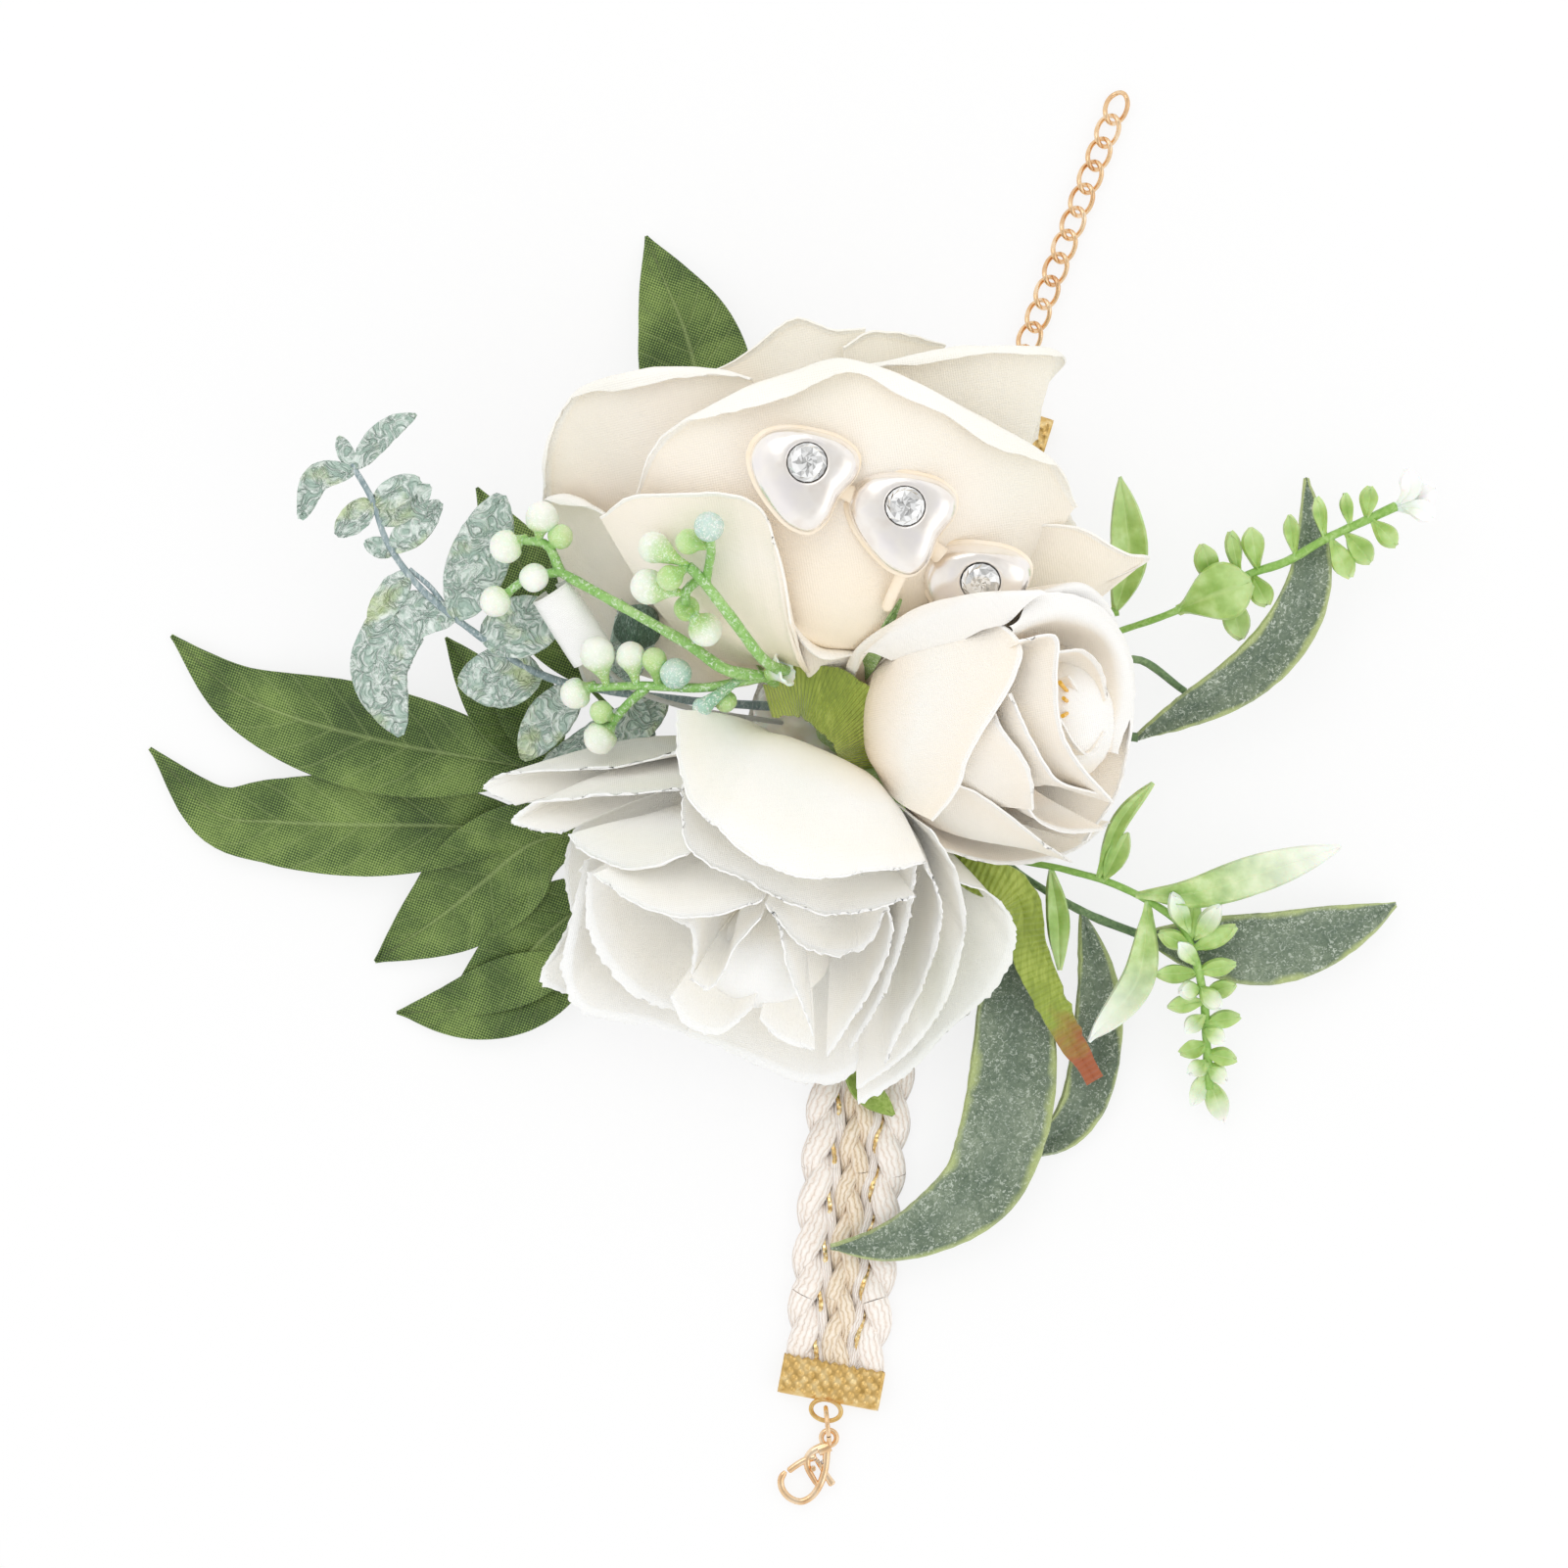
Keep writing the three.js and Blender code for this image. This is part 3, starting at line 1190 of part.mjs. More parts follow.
const BOXWOOD_LOWER_PIXELS_AND_SHARES = {
  stems: [
    [
      [930, 775, 0.15], [1005, 865, 0.16], [1088, 888, 0.19], [1133, 901, 0.2], [1178, 923, 0.21],
      [1206, 945, 0.22], [1219, 974, 0.22], [1229, 1019, 0.2], [1232, 1063, 0.16],
      [1235, 1111, 0.1],
    ],
  ],
  leaves: [
    { width: 38, rib: [[1160, 914, 0.21], [1216, 912, 0.25], [1290, 890, 0.24], [1369, 865, 0.18]] },
    { width: 32, rib: [[1172, 920, 0.21], [1162, 999, 0.22], [1112, 1063, 0.17]] },
    { width: 22, rib: [[1072, 885, 0.18], [1080, 935, 0.19], [1082, 990, 0.17]] },
    { width: 22, rib: [[1126, 900, 0.2], [1152, 850, 0.22]] },
    { width: 16, rib: [[1120, 897, 0.2], [1144, 838, 0.23], [1177, 799, 0.23]] },
    { width: 18, rib: [[1215, 960, 0.22], [1219, 912, 0.25]] },
    { width: 18, rib: [[1216, 968, 0.22], [1184, 952, 0.24]] },
    { width: 18, rib: [[1218, 970, 0.22], [1262, 946, 0.24]] },
    { width: 18, rib: [[1223, 992, 0.21], [1262, 985, 0.22]] },
    { width: 18, rib: [[1223, 994, 0.21], [1180, 994, 0.22]] },
    { width: 18, rib: [[1228, 1016, 0.2], [1262, 1005, 0.21]] },
    { width: 18, rib: [[1229, 1022, 0.2], [1192, 1028, 0.2]] },
    { width: 18, rib: [[1231, 1044, 0.18], [1266, 1038, 0.18]] },
    { width: 18, rib: [[1232, 1066, 0.16], [1205, 1075, 0.15]] },
    { width: 18, rib: [[1233, 1076, 0.15], [1262, 1082, 0.13]] },
    { width: 20, rib: [[1234, 1094, 0.12], [1218, 1128, 0.06]] },
    { width: 22, rib: [[1235, 1104, 0.11], [1250, 1146, 0.04]] },
  ],
};
const RIBBON_PIXELS_AND_SHARES = {
  middle: [584, 636, 0.52], far: [607, 672, 0.5],
  stems: [[[800, 738, 0.2], [700, 722, 0.3], [640, 700, 0.4], [600, 664, 0.45]]],
};
const RIBBON = { radius: 3.3, thick: 0.5, length: 11.5, degrees: 325, steps: 8 };
const CALYX = { radius: 3.6 };
const LARGE_CALYX_PIXELS_AND_SHARES = {
  stems: [[[850, 700, 0.26], [856, 718, 0.18], [860, 732, 0.14]]],
  leaves: [
    { width: 24, rib: [[852, 700, 0.24], [890, 668, 0.4], [912, 630, 0.58], [926, 606, 0.66]] },
    { width: 30, rib: [[848, 700, 0.24], [800, 690, 0.26], [765, 660, 0.3]] },
  ],
};
const WHITE_CALYX_PIXELS_AND_SHARES = {
  stems: [[[852, 758, 0.24], [858, 750, 0.18], [862, 744, 0.14]]],
  leaves: [
    {
      width: 42,
      rib: [
        [858, 764, 0.26], [876, 788, 0.3], [874, 760, 0.38], [850, 722, 0.44], [812, 708, 0.44],
        [776, 722, 0.4],
      ],
    },
  ],
};
const SMALL_CALYX_PIXELS_AND_SHARES = {
  stems: [[[882, 745, 0.3], [876, 744, 0.22], [870, 742, 0.15]]],
  leaves: [
    { width: 30, rib: [[884, 752, 0.3], [886, 775, 0.46], [905, 805, 0.56], [924, 828, 0.58]] },
    { width: 26, rib: [[880, 742, 0.3], [872, 715, 0.42], [880, 690, 0.5]] },
    {
      width: 26,
      rib: [
        [884, 752, 0.28], [925, 830, 0.27], [980, 881, 0.3], [1037, 913, 0.28], [1052, 975, 0.22],
        [1084, 1045, 0.18], [1118, 1103, 0.13],
      ],
    },
  ],
};

// A leaf as a grid of points: its edges stand above its midrib, and both its ends narrow to points.
function leafGrid({ rib, width }) {
  const points = rib.map(place);
  const curve = points.length > 2
    ? new THREE.CatmullRomCurve3(points, false, "centripetal") : new THREE.LineCurve3(...points);
  const rows = Math.max(3, Math.min(6, points.length));
  const grid = [];
  for (let i = 0; i < rows; i += 1) {
    const share = i / (rows - 1);
    const middle = curve.getPointAt(share);
    const side = curve.getTangentAt(share).cross(UP).normalize();
    const breadth = Math.max(LEAF_POINT_SHARE, Math.sin(Math.PI * share ** LEAF_BROAD_SHARE));
    const half = (span(width) / 2) * breadth;
    const edge = UP.clone().multiplyScalar(CLOTH.keel * half);
    const sides = [-half, half].map((reach) => middle.clone().addScaledVector(side, reach).add(edge));
    grid.push(width < NARROW_LEAF_PIXELS ? sides : [sides[0], middle, sides[1]]);
  }
  return grid;
}

function sprig({ stems = [], leaves = [], berries = [] }, thick, grow) {
  const paths = stems.map((line) => line.map(place));
  const solids = paths.map((line) => stem(line, thick, grow));
  leaves.forEach((leaf) => solids.push(sheet(leafGrid(leaf), CLOTH.leaf, grow)));
  for (const [across, down, share, radius] of berries) {
    const centre = place([across, down, share]);
    solids.push(ball(centre, [span(radius), span(radius), span(radius)], grow, 6, 3));
    const spots = paths.flatMap((line) => new THREE.CatmullRomCurve3(line).getSpacedPoints(8));
    const near = spots.reduce(
      (best, spot) => (spot.distanceTo(centre) < best.distanceTo(centre) ? spot : best),
    );
    solids.push(stem([near, centre], [STEM.stalk, STEM.stalk], grow, 4));
  }
  return union(solids);
}

function ribbonLoop(grow) {
  const middle = place(RIBBON_PIXELS_AND_SHARES.middle);
  const run = place(RIBBON_PIXELS_AND_SHARES.far).sub(middle).normalize();
  const side = run.clone().cross(UP).normalize();
  const up = side.clone().cross(run);
  const grid = [];
  for (let i = 0; i <= RIBBON.steps; i += 1) {
    const turn = (i / RIBBON.steps) * radians(RIBBON.degrees);
    const spoke = side.clone().multiplyScalar(Math.cos(turn)).addScaledVector(up, Math.sin(turn));
    const ends = [-RIBBON.length / 2, RIBBON.length / 2];
    const rim = middle.clone().addScaledVector(spoke, RIBBON.radius);
    grid.push(ends.map((end) => rim.clone().addScaledVector(run, end)));
  }
  const tail = stem(RIBBON_PIXELS_AND_SHARES.stems[0].map(place), [STEM.stalk, STEM.stalk], grow);
  return sheet(grid, RIBBON.thick, grow).add(tail);
}

function calyx(rose, table, grow) {
  const root = place(rose.root);
  const axis = place(rose.heart).sub(root).normalize();
  const cup = CALYX.radius + grow;
  return ball(root.addScaledVector(axis, -CALYX.radius), [cup, cup, cup], 0, 8, 6)
    .add(sprig(table, [STEM.green, STEM.green], grow));
}

const roses = [
  [SMALL_ROSE_PIXELS_AND_SHARES, SMALL_CALYX_PIXELS_AND_SHARES, ivory, berryGreen],
  [LARGE_ROSE_PIXELS_AND_SHARES, LARGE_CALYX_PIXELS_AND_SHARES, cream, berryGreen],
  [WHITE_ROSE_PIXELS_AND_SHARES, WHITE_CALYX_PIXELS_AND_SHARES, white, lightGreen],
];
for (const [rose, table, , material] of roses) {
  addSoft(`${rose.name}_calyx`, (grow) => calyx(rose, table, grow), material);
}
for (const [rose, , material] of roses) {
  for (const layer of rose.layers) {
    addSoft(`${rose.name}_${layer.name}`, (grow) => rosePart(rose, layer, grow), material);
  }
}
const sprigs = [
  ["berry_sprig_left", BERRY_LEFT_PIXELS_AND_SHARES, [STEM.wood, STEM.tip], berryGreen],
  ["berry_sprig_right", BERRY_RIGHT_PIXELS_AND_SHARES, [STEM.wood, STEM.tip], berryGreen],
  ["eucalyptus_sprig", EUCALYPTUS_PIXELS_AND_SHARES, [STEM.wood, STEM.tip], sage],
  ["dark_leaf_spray_upper", DARK_UPPER_PIXELS_AND_SHARES, [STEM.wood, STEM.wood], leafGreen],
  ["dark_leaf_spray_lower", DARK_LOWER_PIXELS_AND_SHARES, [STEM.wood, STEM.wood], leafGreen],
  ["dark_leaf_top", DARK_TOP_PIXELS_AND_SHARES, [STEM.wood, STEM.wood], leafGreen],
  ["willow_leaf_upper", WILLOW_UPPER_PIXELS_AND_SHARES, [STEM.wood, STEM.tip], willowGreen],
  ["willow_spray_lower", WILLOW_LOWER_PIXELS_AND_SHARES, [STEM.wood, STEM.tip], willowGreen],
  ["boxwood_sprig_upper", BOXWOOD_UPPER_PIXELS_AND_SHARES, [STEM.wood, STEM.tip], lightGreen],
  ["boxwood_sprig_lower", BOXWOOD_LOWER_PIXELS_AND_SHARES, [STEM.wood, STEM.tip], lightGreen],
  ["bud_leaf", BUD_LEAF_PIXELS_AND_SHARES, [STEM.wood, STEM.tip], lightGreen],
];
for (const [name, table, thick, material] of sprigs) {
  addSoft(name, (grow) => sprig(table, thick, grow), material);
}
addSoft("ribbon_loop", ribbonLoop, white);

export default corsage;
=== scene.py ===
import json
import math
import random
import bpy
from mathutils import Matrix, Vector, noise

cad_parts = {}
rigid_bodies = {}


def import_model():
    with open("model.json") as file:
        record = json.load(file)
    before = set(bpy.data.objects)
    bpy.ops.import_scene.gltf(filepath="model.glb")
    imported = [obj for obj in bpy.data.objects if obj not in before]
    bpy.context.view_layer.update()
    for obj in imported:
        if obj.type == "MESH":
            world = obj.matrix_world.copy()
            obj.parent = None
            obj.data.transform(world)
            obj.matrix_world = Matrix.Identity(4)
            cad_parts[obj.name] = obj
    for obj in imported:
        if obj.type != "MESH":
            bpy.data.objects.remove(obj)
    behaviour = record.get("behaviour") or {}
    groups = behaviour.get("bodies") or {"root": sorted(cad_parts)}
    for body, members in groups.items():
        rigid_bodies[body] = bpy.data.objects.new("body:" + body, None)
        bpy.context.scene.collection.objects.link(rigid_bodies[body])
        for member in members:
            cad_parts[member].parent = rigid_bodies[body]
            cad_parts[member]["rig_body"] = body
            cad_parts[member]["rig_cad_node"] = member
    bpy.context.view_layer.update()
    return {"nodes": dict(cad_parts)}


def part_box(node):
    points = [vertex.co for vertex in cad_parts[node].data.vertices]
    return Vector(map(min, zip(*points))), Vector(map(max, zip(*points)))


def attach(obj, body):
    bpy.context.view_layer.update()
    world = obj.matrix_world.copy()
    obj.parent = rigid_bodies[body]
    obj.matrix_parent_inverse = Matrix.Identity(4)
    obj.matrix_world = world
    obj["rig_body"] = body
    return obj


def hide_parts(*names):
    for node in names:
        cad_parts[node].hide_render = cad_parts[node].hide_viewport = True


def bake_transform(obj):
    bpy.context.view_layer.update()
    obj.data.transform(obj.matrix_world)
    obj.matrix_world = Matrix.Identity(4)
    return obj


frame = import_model()

# Camera and table: the corsage lies open on a white table under soft lamps, and the camera looks
# straight down on it from 900 mm. The picture spans 239 mm of the table.
MM = 0.001
PIXELS = 1601
PIXEL = 239 * MM / PIXELS
CAMERA_HEIGHT = 900 * MM
ORIGIN_PIXEL = (922, 820)
PICTURE_MIDDLE = ((PIXELS / 2 - ORIGIN_PIXEL[0]) * PIXEL, (ORIGIN_PIXEL[1] - PIXELS / 2) * PIXEL)
TABLE_LEVEL = -0.00035
UP = Vector((0, 0, 1))

lens = bpy.data.cameras.new("camera")
lens.sensor_width = 36
lens.lens = lens.sensor_width * CAMERA_HEIGHT / (PIXELS * PIXEL)
camera = bpy.data.objects.new("camera", lens)
camera.location = (*PICTURE_MIDDLE, CAMERA_HEIGHT)
bpy.context.scene.collection.objects.link(camera)
bpy.context.scene.camera = camera
bpy.context.scene.view_settings.view_transform = "Standard"


def colour(code):
    """A colour written as six hexadecimal digits, as the shader wants it."""
    parts = [int(code[i:i + 2], 16) / 255 for i in (0, 2, 4)]
    return (*[p / 12.92 if p <= 0.04045 else ((p + 0.055) / 1.055) ** 2.4 for p in parts], 1)


def node(tree, kind, wires=None, **settings):
    """A shader node with its settings, and its inputs set or wired."""
    made = tree.nodes.new(kind)
    for key, value in settings.items():
        setattr(made, key, value)
    for key, value in (wires or {}).items():
        if isinstance(value, bpy.types.NodeSocket):
            tree.links.new(value, made.inputs[key])
        else:
            made.inputs[key].default_value = value
    return made


def sums(tree, operation, *values):
    """One step of arithmetic on amounts."""
    return node(tree, "ShaderNodeMath", dict(enumerate(values)), operation=operation).outputs[0]


def ranged(tree, amount, low, high, first=0.0, last=1.0):
    """An amount between two marks made one that goes from first to last."""
    return node(tree, "ShaderNodeMapRange", {"Value": amount, 1: low, 2: high, 3: first, 4: last}).outputs[0]


def seen(tree):
    """1 where the camera, a glossy ray or a ray through glass looks, and 0 where light is gathered."""
    path = node(tree, "ShaderNodeLightPath")
    either = sums(tree, "MAXIMUM", path.outputs["Is Camera Ray"], path.outputs["Is Glossy Ray"])
    return sums(tree, "MAXIMUM", either, path.outputs["Is Transmission Ray"])


world = bpy.data.worlds.new("studio")
world.use_nodes = True
bpy.context.scene.world = world
tree = world.node_tree
tree.nodes.clear()
gathered = node(tree, "ShaderNodeBackground", {"Color": (1, 1, 1, 1), "Strength": 1.02})
rise = node(tree, "ShaderNodeSeparateXYZ", {"Vector": node(tree, "ShaderNodeTexCoord").outputs["Generated"]})
overhead = ranged(tree, rise.outputs[2], 0.7, 0.96, 0.96, 0.66)
shown = node(tree, "ShaderNodeBackground", {"Color": overhead, "Strength": 1})
both = node(tree, "ShaderNodeMixShader", {0: seen(tree), 1: gathered.outputs[0], 2: shown.outputs[0]})
node(tree, "ShaderNodeOutputWorld", {"Surface": both.outputs[0]})

bpy.ops.object.select_all(action="DESELECT")
bpy.ops.mesh.primitive_plane_add(size=3, location=(0, 0, TABLE_LEVEL))
table = bpy.context.object
table.name = "table"
white_table = bpy.data.materials.new("white_table")
white_table.use_nodes = True
tree = white_table.node_tree
tree.nodes.clear()
painted = node(tree, "ShaderNodeBsdfDiffuse", {"Color": (0.9, 0.9, 0.9, 1)})
bright = node(tree, "ShaderNodeEmission", {"Color": (1, 1, 1, 1), "Strength": 1})
share = sums(tree, "MULTIPLY", seen(tree), 0.8)
both = node(tree, "ShaderNodeMixShader", {0: share, 1: painted.outputs[0], 2: bright.outputs[0]})
node(tree, "ShaderNodeOutputMaterial", {"Surface": both.outputs[0]})
table.data.materials.append(white_table)


def lamp(name, place, size, power):
    """A square soft lamp at a place, aimed at the corsage."""
    data = bpy.data.lights.new(name, "AREA")
    data.size = size
    data.energy = power
    made = bpy.data.objects.new(name, data)
    made.location = place
    made.rotation_euler = (-Vector(place)).to_track_quat("-Z", "Y").to_euler()
    bpy.context.scene.collection.objects.link(made)


lamp("key_softbox", (-0.25, 0.45, 0.75), 0.5, 0.75)
lamp("fill_softbox", (0.5, -0.2, 0.6), 0.5, 0.4)

# Band: cotton yarns braided flat, 16 mm wide. Two fat two-ply strands run down the edges, two thin
# ones beside them, and a tan three-strand plait down the middle, with gold thread sewn through.
# It is one length of braid. Here it is cut where its weave is straight.
#
# The band heads at one angle under the bunch and at another on each side of it, in degrees from +Y.
# It turns over twice BEND, and its middle line is walked in small steps from the bunch outwards.
MIDDLE_TURN = 10.4
MIDDLE_HALF = 27.3 * MM
SIDES = {-1: {"turn": 5.3, "end": 85.5 * MM}, 1: {"turn": 17.4, "end": 56.3 * MM}}
BAND_THICK = 2.4 * MM
BEND = 4 * MM
STITCH = 7.5 * MM
WALK = 0.25 * MM
WALKS = 400


def heading(turn):
    """The way along the table at an angle in degrees from +Y towards +X."""
    return Vector((math.sin(math.radians(turn)), math.cos(math.radians(turn)), 0))


def smooth(share):
    """A share from 0 to 1 that starts and ends gently."""
    share = min(1, max(0, share))
    return share * share * (3 - 2 * share)


def band_turn(run):
    """Which way the band's middle line heads: it turns a little under each side of the bunch."""
    side = SIDES[-1 if run < 0 else 1]
    return MIDDLE_TURN + (side["turn"] - MIDDLE_TURN) * smooth((abs(run) - MIDDLE_HALF + BEND) / (2 * BEND))


walked = {0: Vector((0, 0, 0))}
for way in (-1, 1):
    for k in range(WALKS):
        run = way * (k + 0.5) * WALK
        walked[way * (k + 1)] = walked[way * k] + heading(band_turn(run)) * WALK * way


def on_band(across, run, height):
    """A place on the band, from its middle line."""
    k = math.floor(run / WALK)
    point = walked[k].lerp(walked[k + 1], run / WALK - k)
    return point + heading(band_turn(run) + 90) * across + UP * height


def grid_piece(name, across, along, at):
    """A grid of cloth, wire or yarn, each of its corners put where at(u, v) says."""
    bpy.ops.object.select_all(action="DESELECT")
    bpy.ops.mesh.primitive_grid_add(x_subdivisions=across, y_subdivisions=along, size=1)
    piece = bpy.context.object
    piece.name = name
    for corner in piece.data.vertices:
        u = round((corner.co.x + 0.5) * across) / across
        v = round((corner.co.y + 0.5) * along) / along
        corner.co = at(u, v)
    return piece


def edited(piece, *steps):
    """The piece taken through steps of edit mode with all of it selected."""
    bpy.ops.object.select_all(action="DESELECT")
    bpy.context.view_layer.objects.active = piece
    piece.select_set(True)
    bpy.ops.object.mode_set(mode="EDIT")
    bpy.ops.mesh.select_all(action="SELECT")
    for step in steps:
        step()
    bpy.ops.object.mode_set(mode="OBJECT")
    return piece


def outward():
    """A step of edit mode: all faces point outwards."""
    bpy.ops.mesh.select_all(action="SELECT")
    bpy.ops.mesh.normals_make_consistent(inside=False)


def welded():
    """A step of edit mode: corners in one place are made one, which closes seams and poles."""
    bpy.ops.mesh.select_all(action="SELECT")
    bpy.ops.mesh.remove_doubles(threshold=0.000002)


def ends_filled():
    """A step of edit mode: open ends are closed."""
    bpy.ops.mesh.select_all(action="DESELECT")
    bpy.ops.mesh.select_non_manifold(extend=False, use_wire=False, use_multi_face=False)
    bpy.ops.mesh.fill_holes(sides=0)


def cord_piece(name, line, thick, sides=10, flat=None, closed=False, twist=0):
    """A round strand along a line of points. thick gives its radius at a share of the run;
    flat, where given, is the way in which it is pressed and by how much."""
    count = len(line)
    runs = []
    for i in range(count):
        ahead = line[(i + 1) % count if closed else min(i + 1, count - 1)]
        behind = line[i - 1 if closed else max(i - 1, 0)]
        runs.append((ahead - behind).normalized())
    upright = abs(runs[0].z) >= 0.9
    side = (runs[0].orthogonal() if upright else runs[0].cross(UP)).normalized()
    frames = []
    for run in runs:
        side = (side - run * side.dot(run)).normalized()
        frames.append((side, run.cross(side)))
    steps = count if closed else count - 1

    def at(u, v):
        i = round(v * steps)
        share = i / steps
        i %= count
        turn = 2 * math.pi * u + twist * share
        spoke = frames[i][0] * math.cos(turn) + frames[i][1] * math.sin(turn)
        if flat:
            spoke = spoke - flat[0] * spoke.dot(flat[0]) * (1 - flat[1])
        return line[i] + spoke * (thick(share) if callable(thick) else thick)

    return edited(grid_piece(name, sides, steps, at), welded, ends_filled, outward)


def joined(name, pieces):
    """Pieces made one, smoothly shaded."""
    bpy.ops.object.select_all(action="DESELECT")
    for piece in pieces:
        piece.select_set(True)
    bpy.context.view_layer.objects.active = pieces[0]
    if len(pieces) > 1:
        bpy.ops.object.join()
    piece = bpy.context.view_layer.objects.active
    piece.name = name
    piece.data.name = name
    bpy.ops.object.shade_smooth_by_angle(angle=math.radians(50))
    return piece


def new_finish(name, roughness, metallic=0.0, **sockets):
    """A finish with its shader: returns the finish, its tree and its shader."""
    finish = bpy.data.materials.new(name)
    finish.use_nodes = True
    shader = finish.node_tree.nodes["Principled BSDF"]
    shader.inputs["Roughness"].default_value = roughness
    shader.inputs["Metallic"].default_value = metallic
    for key, value in sockets.items():
        shader.inputs[key.replace("_", " ")].default_value = value
    return finish, finish.node_tree, shader


def spot_on(tree):
    """Where on the object a point lies, in metres."""
    return node(tree, "ShaderNodeTexCoord").outputs["Object"]


def ways_on(tree):
    """How far across a strand or petal a point lies (0) and how far along it (1), as shares."""
    ways = node(tree, "ShaderNodeSeparateXYZ", {"Vector": node(tree, "ShaderNodeTexCoord").outputs["UV"]})
    return ways.outputs[0], ways.outputs[1]


def tinted(tree, shader, tone):
    """The shader's colour, wired."""
    tree.links.new(tone, shader.inputs["Base Color"])


def grain(tree, where, scale, detail=3, stretch=None, distort=0.0):
    """A noise over a place, stretched where it needs to be, from 0 to 1."""
    if stretch:
        where = node(tree, "ShaderNodeMapping", {"Vector": where, "Scale": stretch}).outputs[0]
    return node(tree, "ShaderNodeTexNoise",
                {"Vector": where, "Scale": scale, "Detail": detail, "Distortion": distort}).outputs["Fac"]


def shades(tree, amount, *stops):
    """Colours along an amount: pairs of a place from 0 to 1 and a colour."""
    ramp = node(tree, "ShaderNodeValToRGB", {"Fac": amount})
    while len(ramp.color_ramp.elements) < len(stops):
        ramp.color_ramp.elements.new(0.5)
    for element, (place, code) in zip(ramp.color_ramp.elements, stops):
        element.position = place
        element.color = colour(code)
    return ramp.outputs["Color"]


def mixed(tree, amount, first, second):
    """Two colours mixed by an amount."""
    made = node(tree, "ShaderNodeMix", data_type="RGBA")
    for key, value in ((0, amount), (6, first), (7, second)):
        if isinstance(value, bpy.types.NodeSocket):
            tree.links.new(value, made.inputs[key])
        else:
            made.inputs[key].default_value = value
    return made.outputs[2]


def raised(tree, shader, amount, height, strength=1.0, under=None):
    """A relief of a given height in metres, over another one where given."""
    bump = node(tree, "ShaderNodeBump", {"Height": amount, "Distance": height, "Strength": strength})
    if under:
        tree.links.new(under, bump.inputs["Normal"])
    tree.links.new(bump.outputs[0], shader.inputs["Normal"])
    return bump.outputs[0]


def yarn_finish(name, dark, middle, light, plies):
    """Cotton yarn: fine plies that run along the strand and twist a little, with a soft bloom, and painted
    shade in the grooves between the plies.
    """
    finish, tree, shader = new_finish(name, 0.85, Sheen_Weight=0.25, Sheen_Roughness=0.5)
    spot = spot_on(tree)
    drift = sums(tree, "MULTIPLY", grain(tree, spot, 900), 1.6)
    around = sums(tree, "ADD", sums(tree, "MULTIPLY", ways_on(tree)[0], plies), drift)
    ply = sums(tree, "PINGPONG", around, 0.5)
    ply_relief_and_groove_shade = sums(tree, "POWER", sums(tree, "MULTIPLY", ply, 2.0), 0.6)
    patch = sums(tree, "MULTIPLY", grain(tree, spot, 500), 0.45)
    # The colour follows the plies: painted shade darkens the grooves between them, over random patches of
    # tone.
    tone = sums(tree, "ADD", sums(tree, "MULTIPLY", ply_relief_and_groove_shade, 0.7), patch)
    tinted(tree, shader, shades(tree, tone, (0.1, dark), (0.5, middle), (0.95, light)))
    fluff = raised(tree, shader, grain(tree, spot, 6000), 0.00008)
    raised(tree, shader, ply_relief_and_groove_shade, 0.00014, under=fluff)
    return finish


cream_yarn = yarn_finish("cream_yarn", "E2CDB8", "F9EDE2", "FFFAF4", 12)
tan_yarn = yarn_finish("tan_yarn", "C4A882", "EDD8BA", "FBEFDE", 9)
gold_thread, tree, shader = new_finish("gold_thread", 0.22, 1.0)
glint = grain(tree, spot_on(tree), 1500)
tinted(tree, shader, shades(tree, glint, (0.35, "CFA866"), (0.55, "F0D69C"), (0.7, "FFF6DC")))

# A strand's middle across the band, how far it swings across and up, and its radius, in mm; how
# much it is pressed, and how much it swells where it is on top; how many stitches a swing takes and
# where it starts; and its bobs in a swing.
FAT = {"finish": cream_yarn, "rise": 0.85, "radius": 1.5, "pressed": 0.5, "swell": 0.36,
       "stitches": 2, "bobs": 1}
THIN = {"finish": cream_yarn, "rise": 0.5, "radius": 0.62, "pressed": 0.8, "swell": 0.36,
        "stitches": 2, "bobs": 1}
PLAIT = {"finish": tan_yarn, "rise": 0.8, "radius": 1.05, "pressed": 0.75, "swell": 0.25,
         "stitches": 3, "bobs": 2}
STRANDS = []
for hand in (-1, 1):
    for ply in (0, 0.5):
        ahead = 0.1 if hand > 0 else 0
        STRANDS.append({**FAT, "middle": hand * 5.45, "swing": hand * 1.0, "phase": ply + ahead})
        STRANDS.append({**THIN, "middle": hand * 2.62, "swing": -hand * 0.4, "phase": ply + 0.3})
for ply in range(3):
    STRANDS.append({**PLAIT, "middle": 0, "swing": 1.35, "phase": ply / 3})
STRAND_LEVEL = 1.25
GRIPPED_LEVEL = 1.3
GRIP = 5 * MM
THREAD = {"radius": 0.36, "middle": 3.3, "swing": 0.35, "level": 1.75, "rise": 0.62, "pressed": 0.7,
          "twist": 900}


def strand_turn(strand, run):
    """How far round its swing a strand is, at a place along the band."""
    return -2 * math.pi * (run / (strand["stitches"] * STITCH) + strand["phase"])


def strand_bob(strand, turn):
    """How far a strand has come out on top, from -1 to 1."""
    return math.cos(turn) if strand["bobs"] == 1 else math.sin(2 * turn)


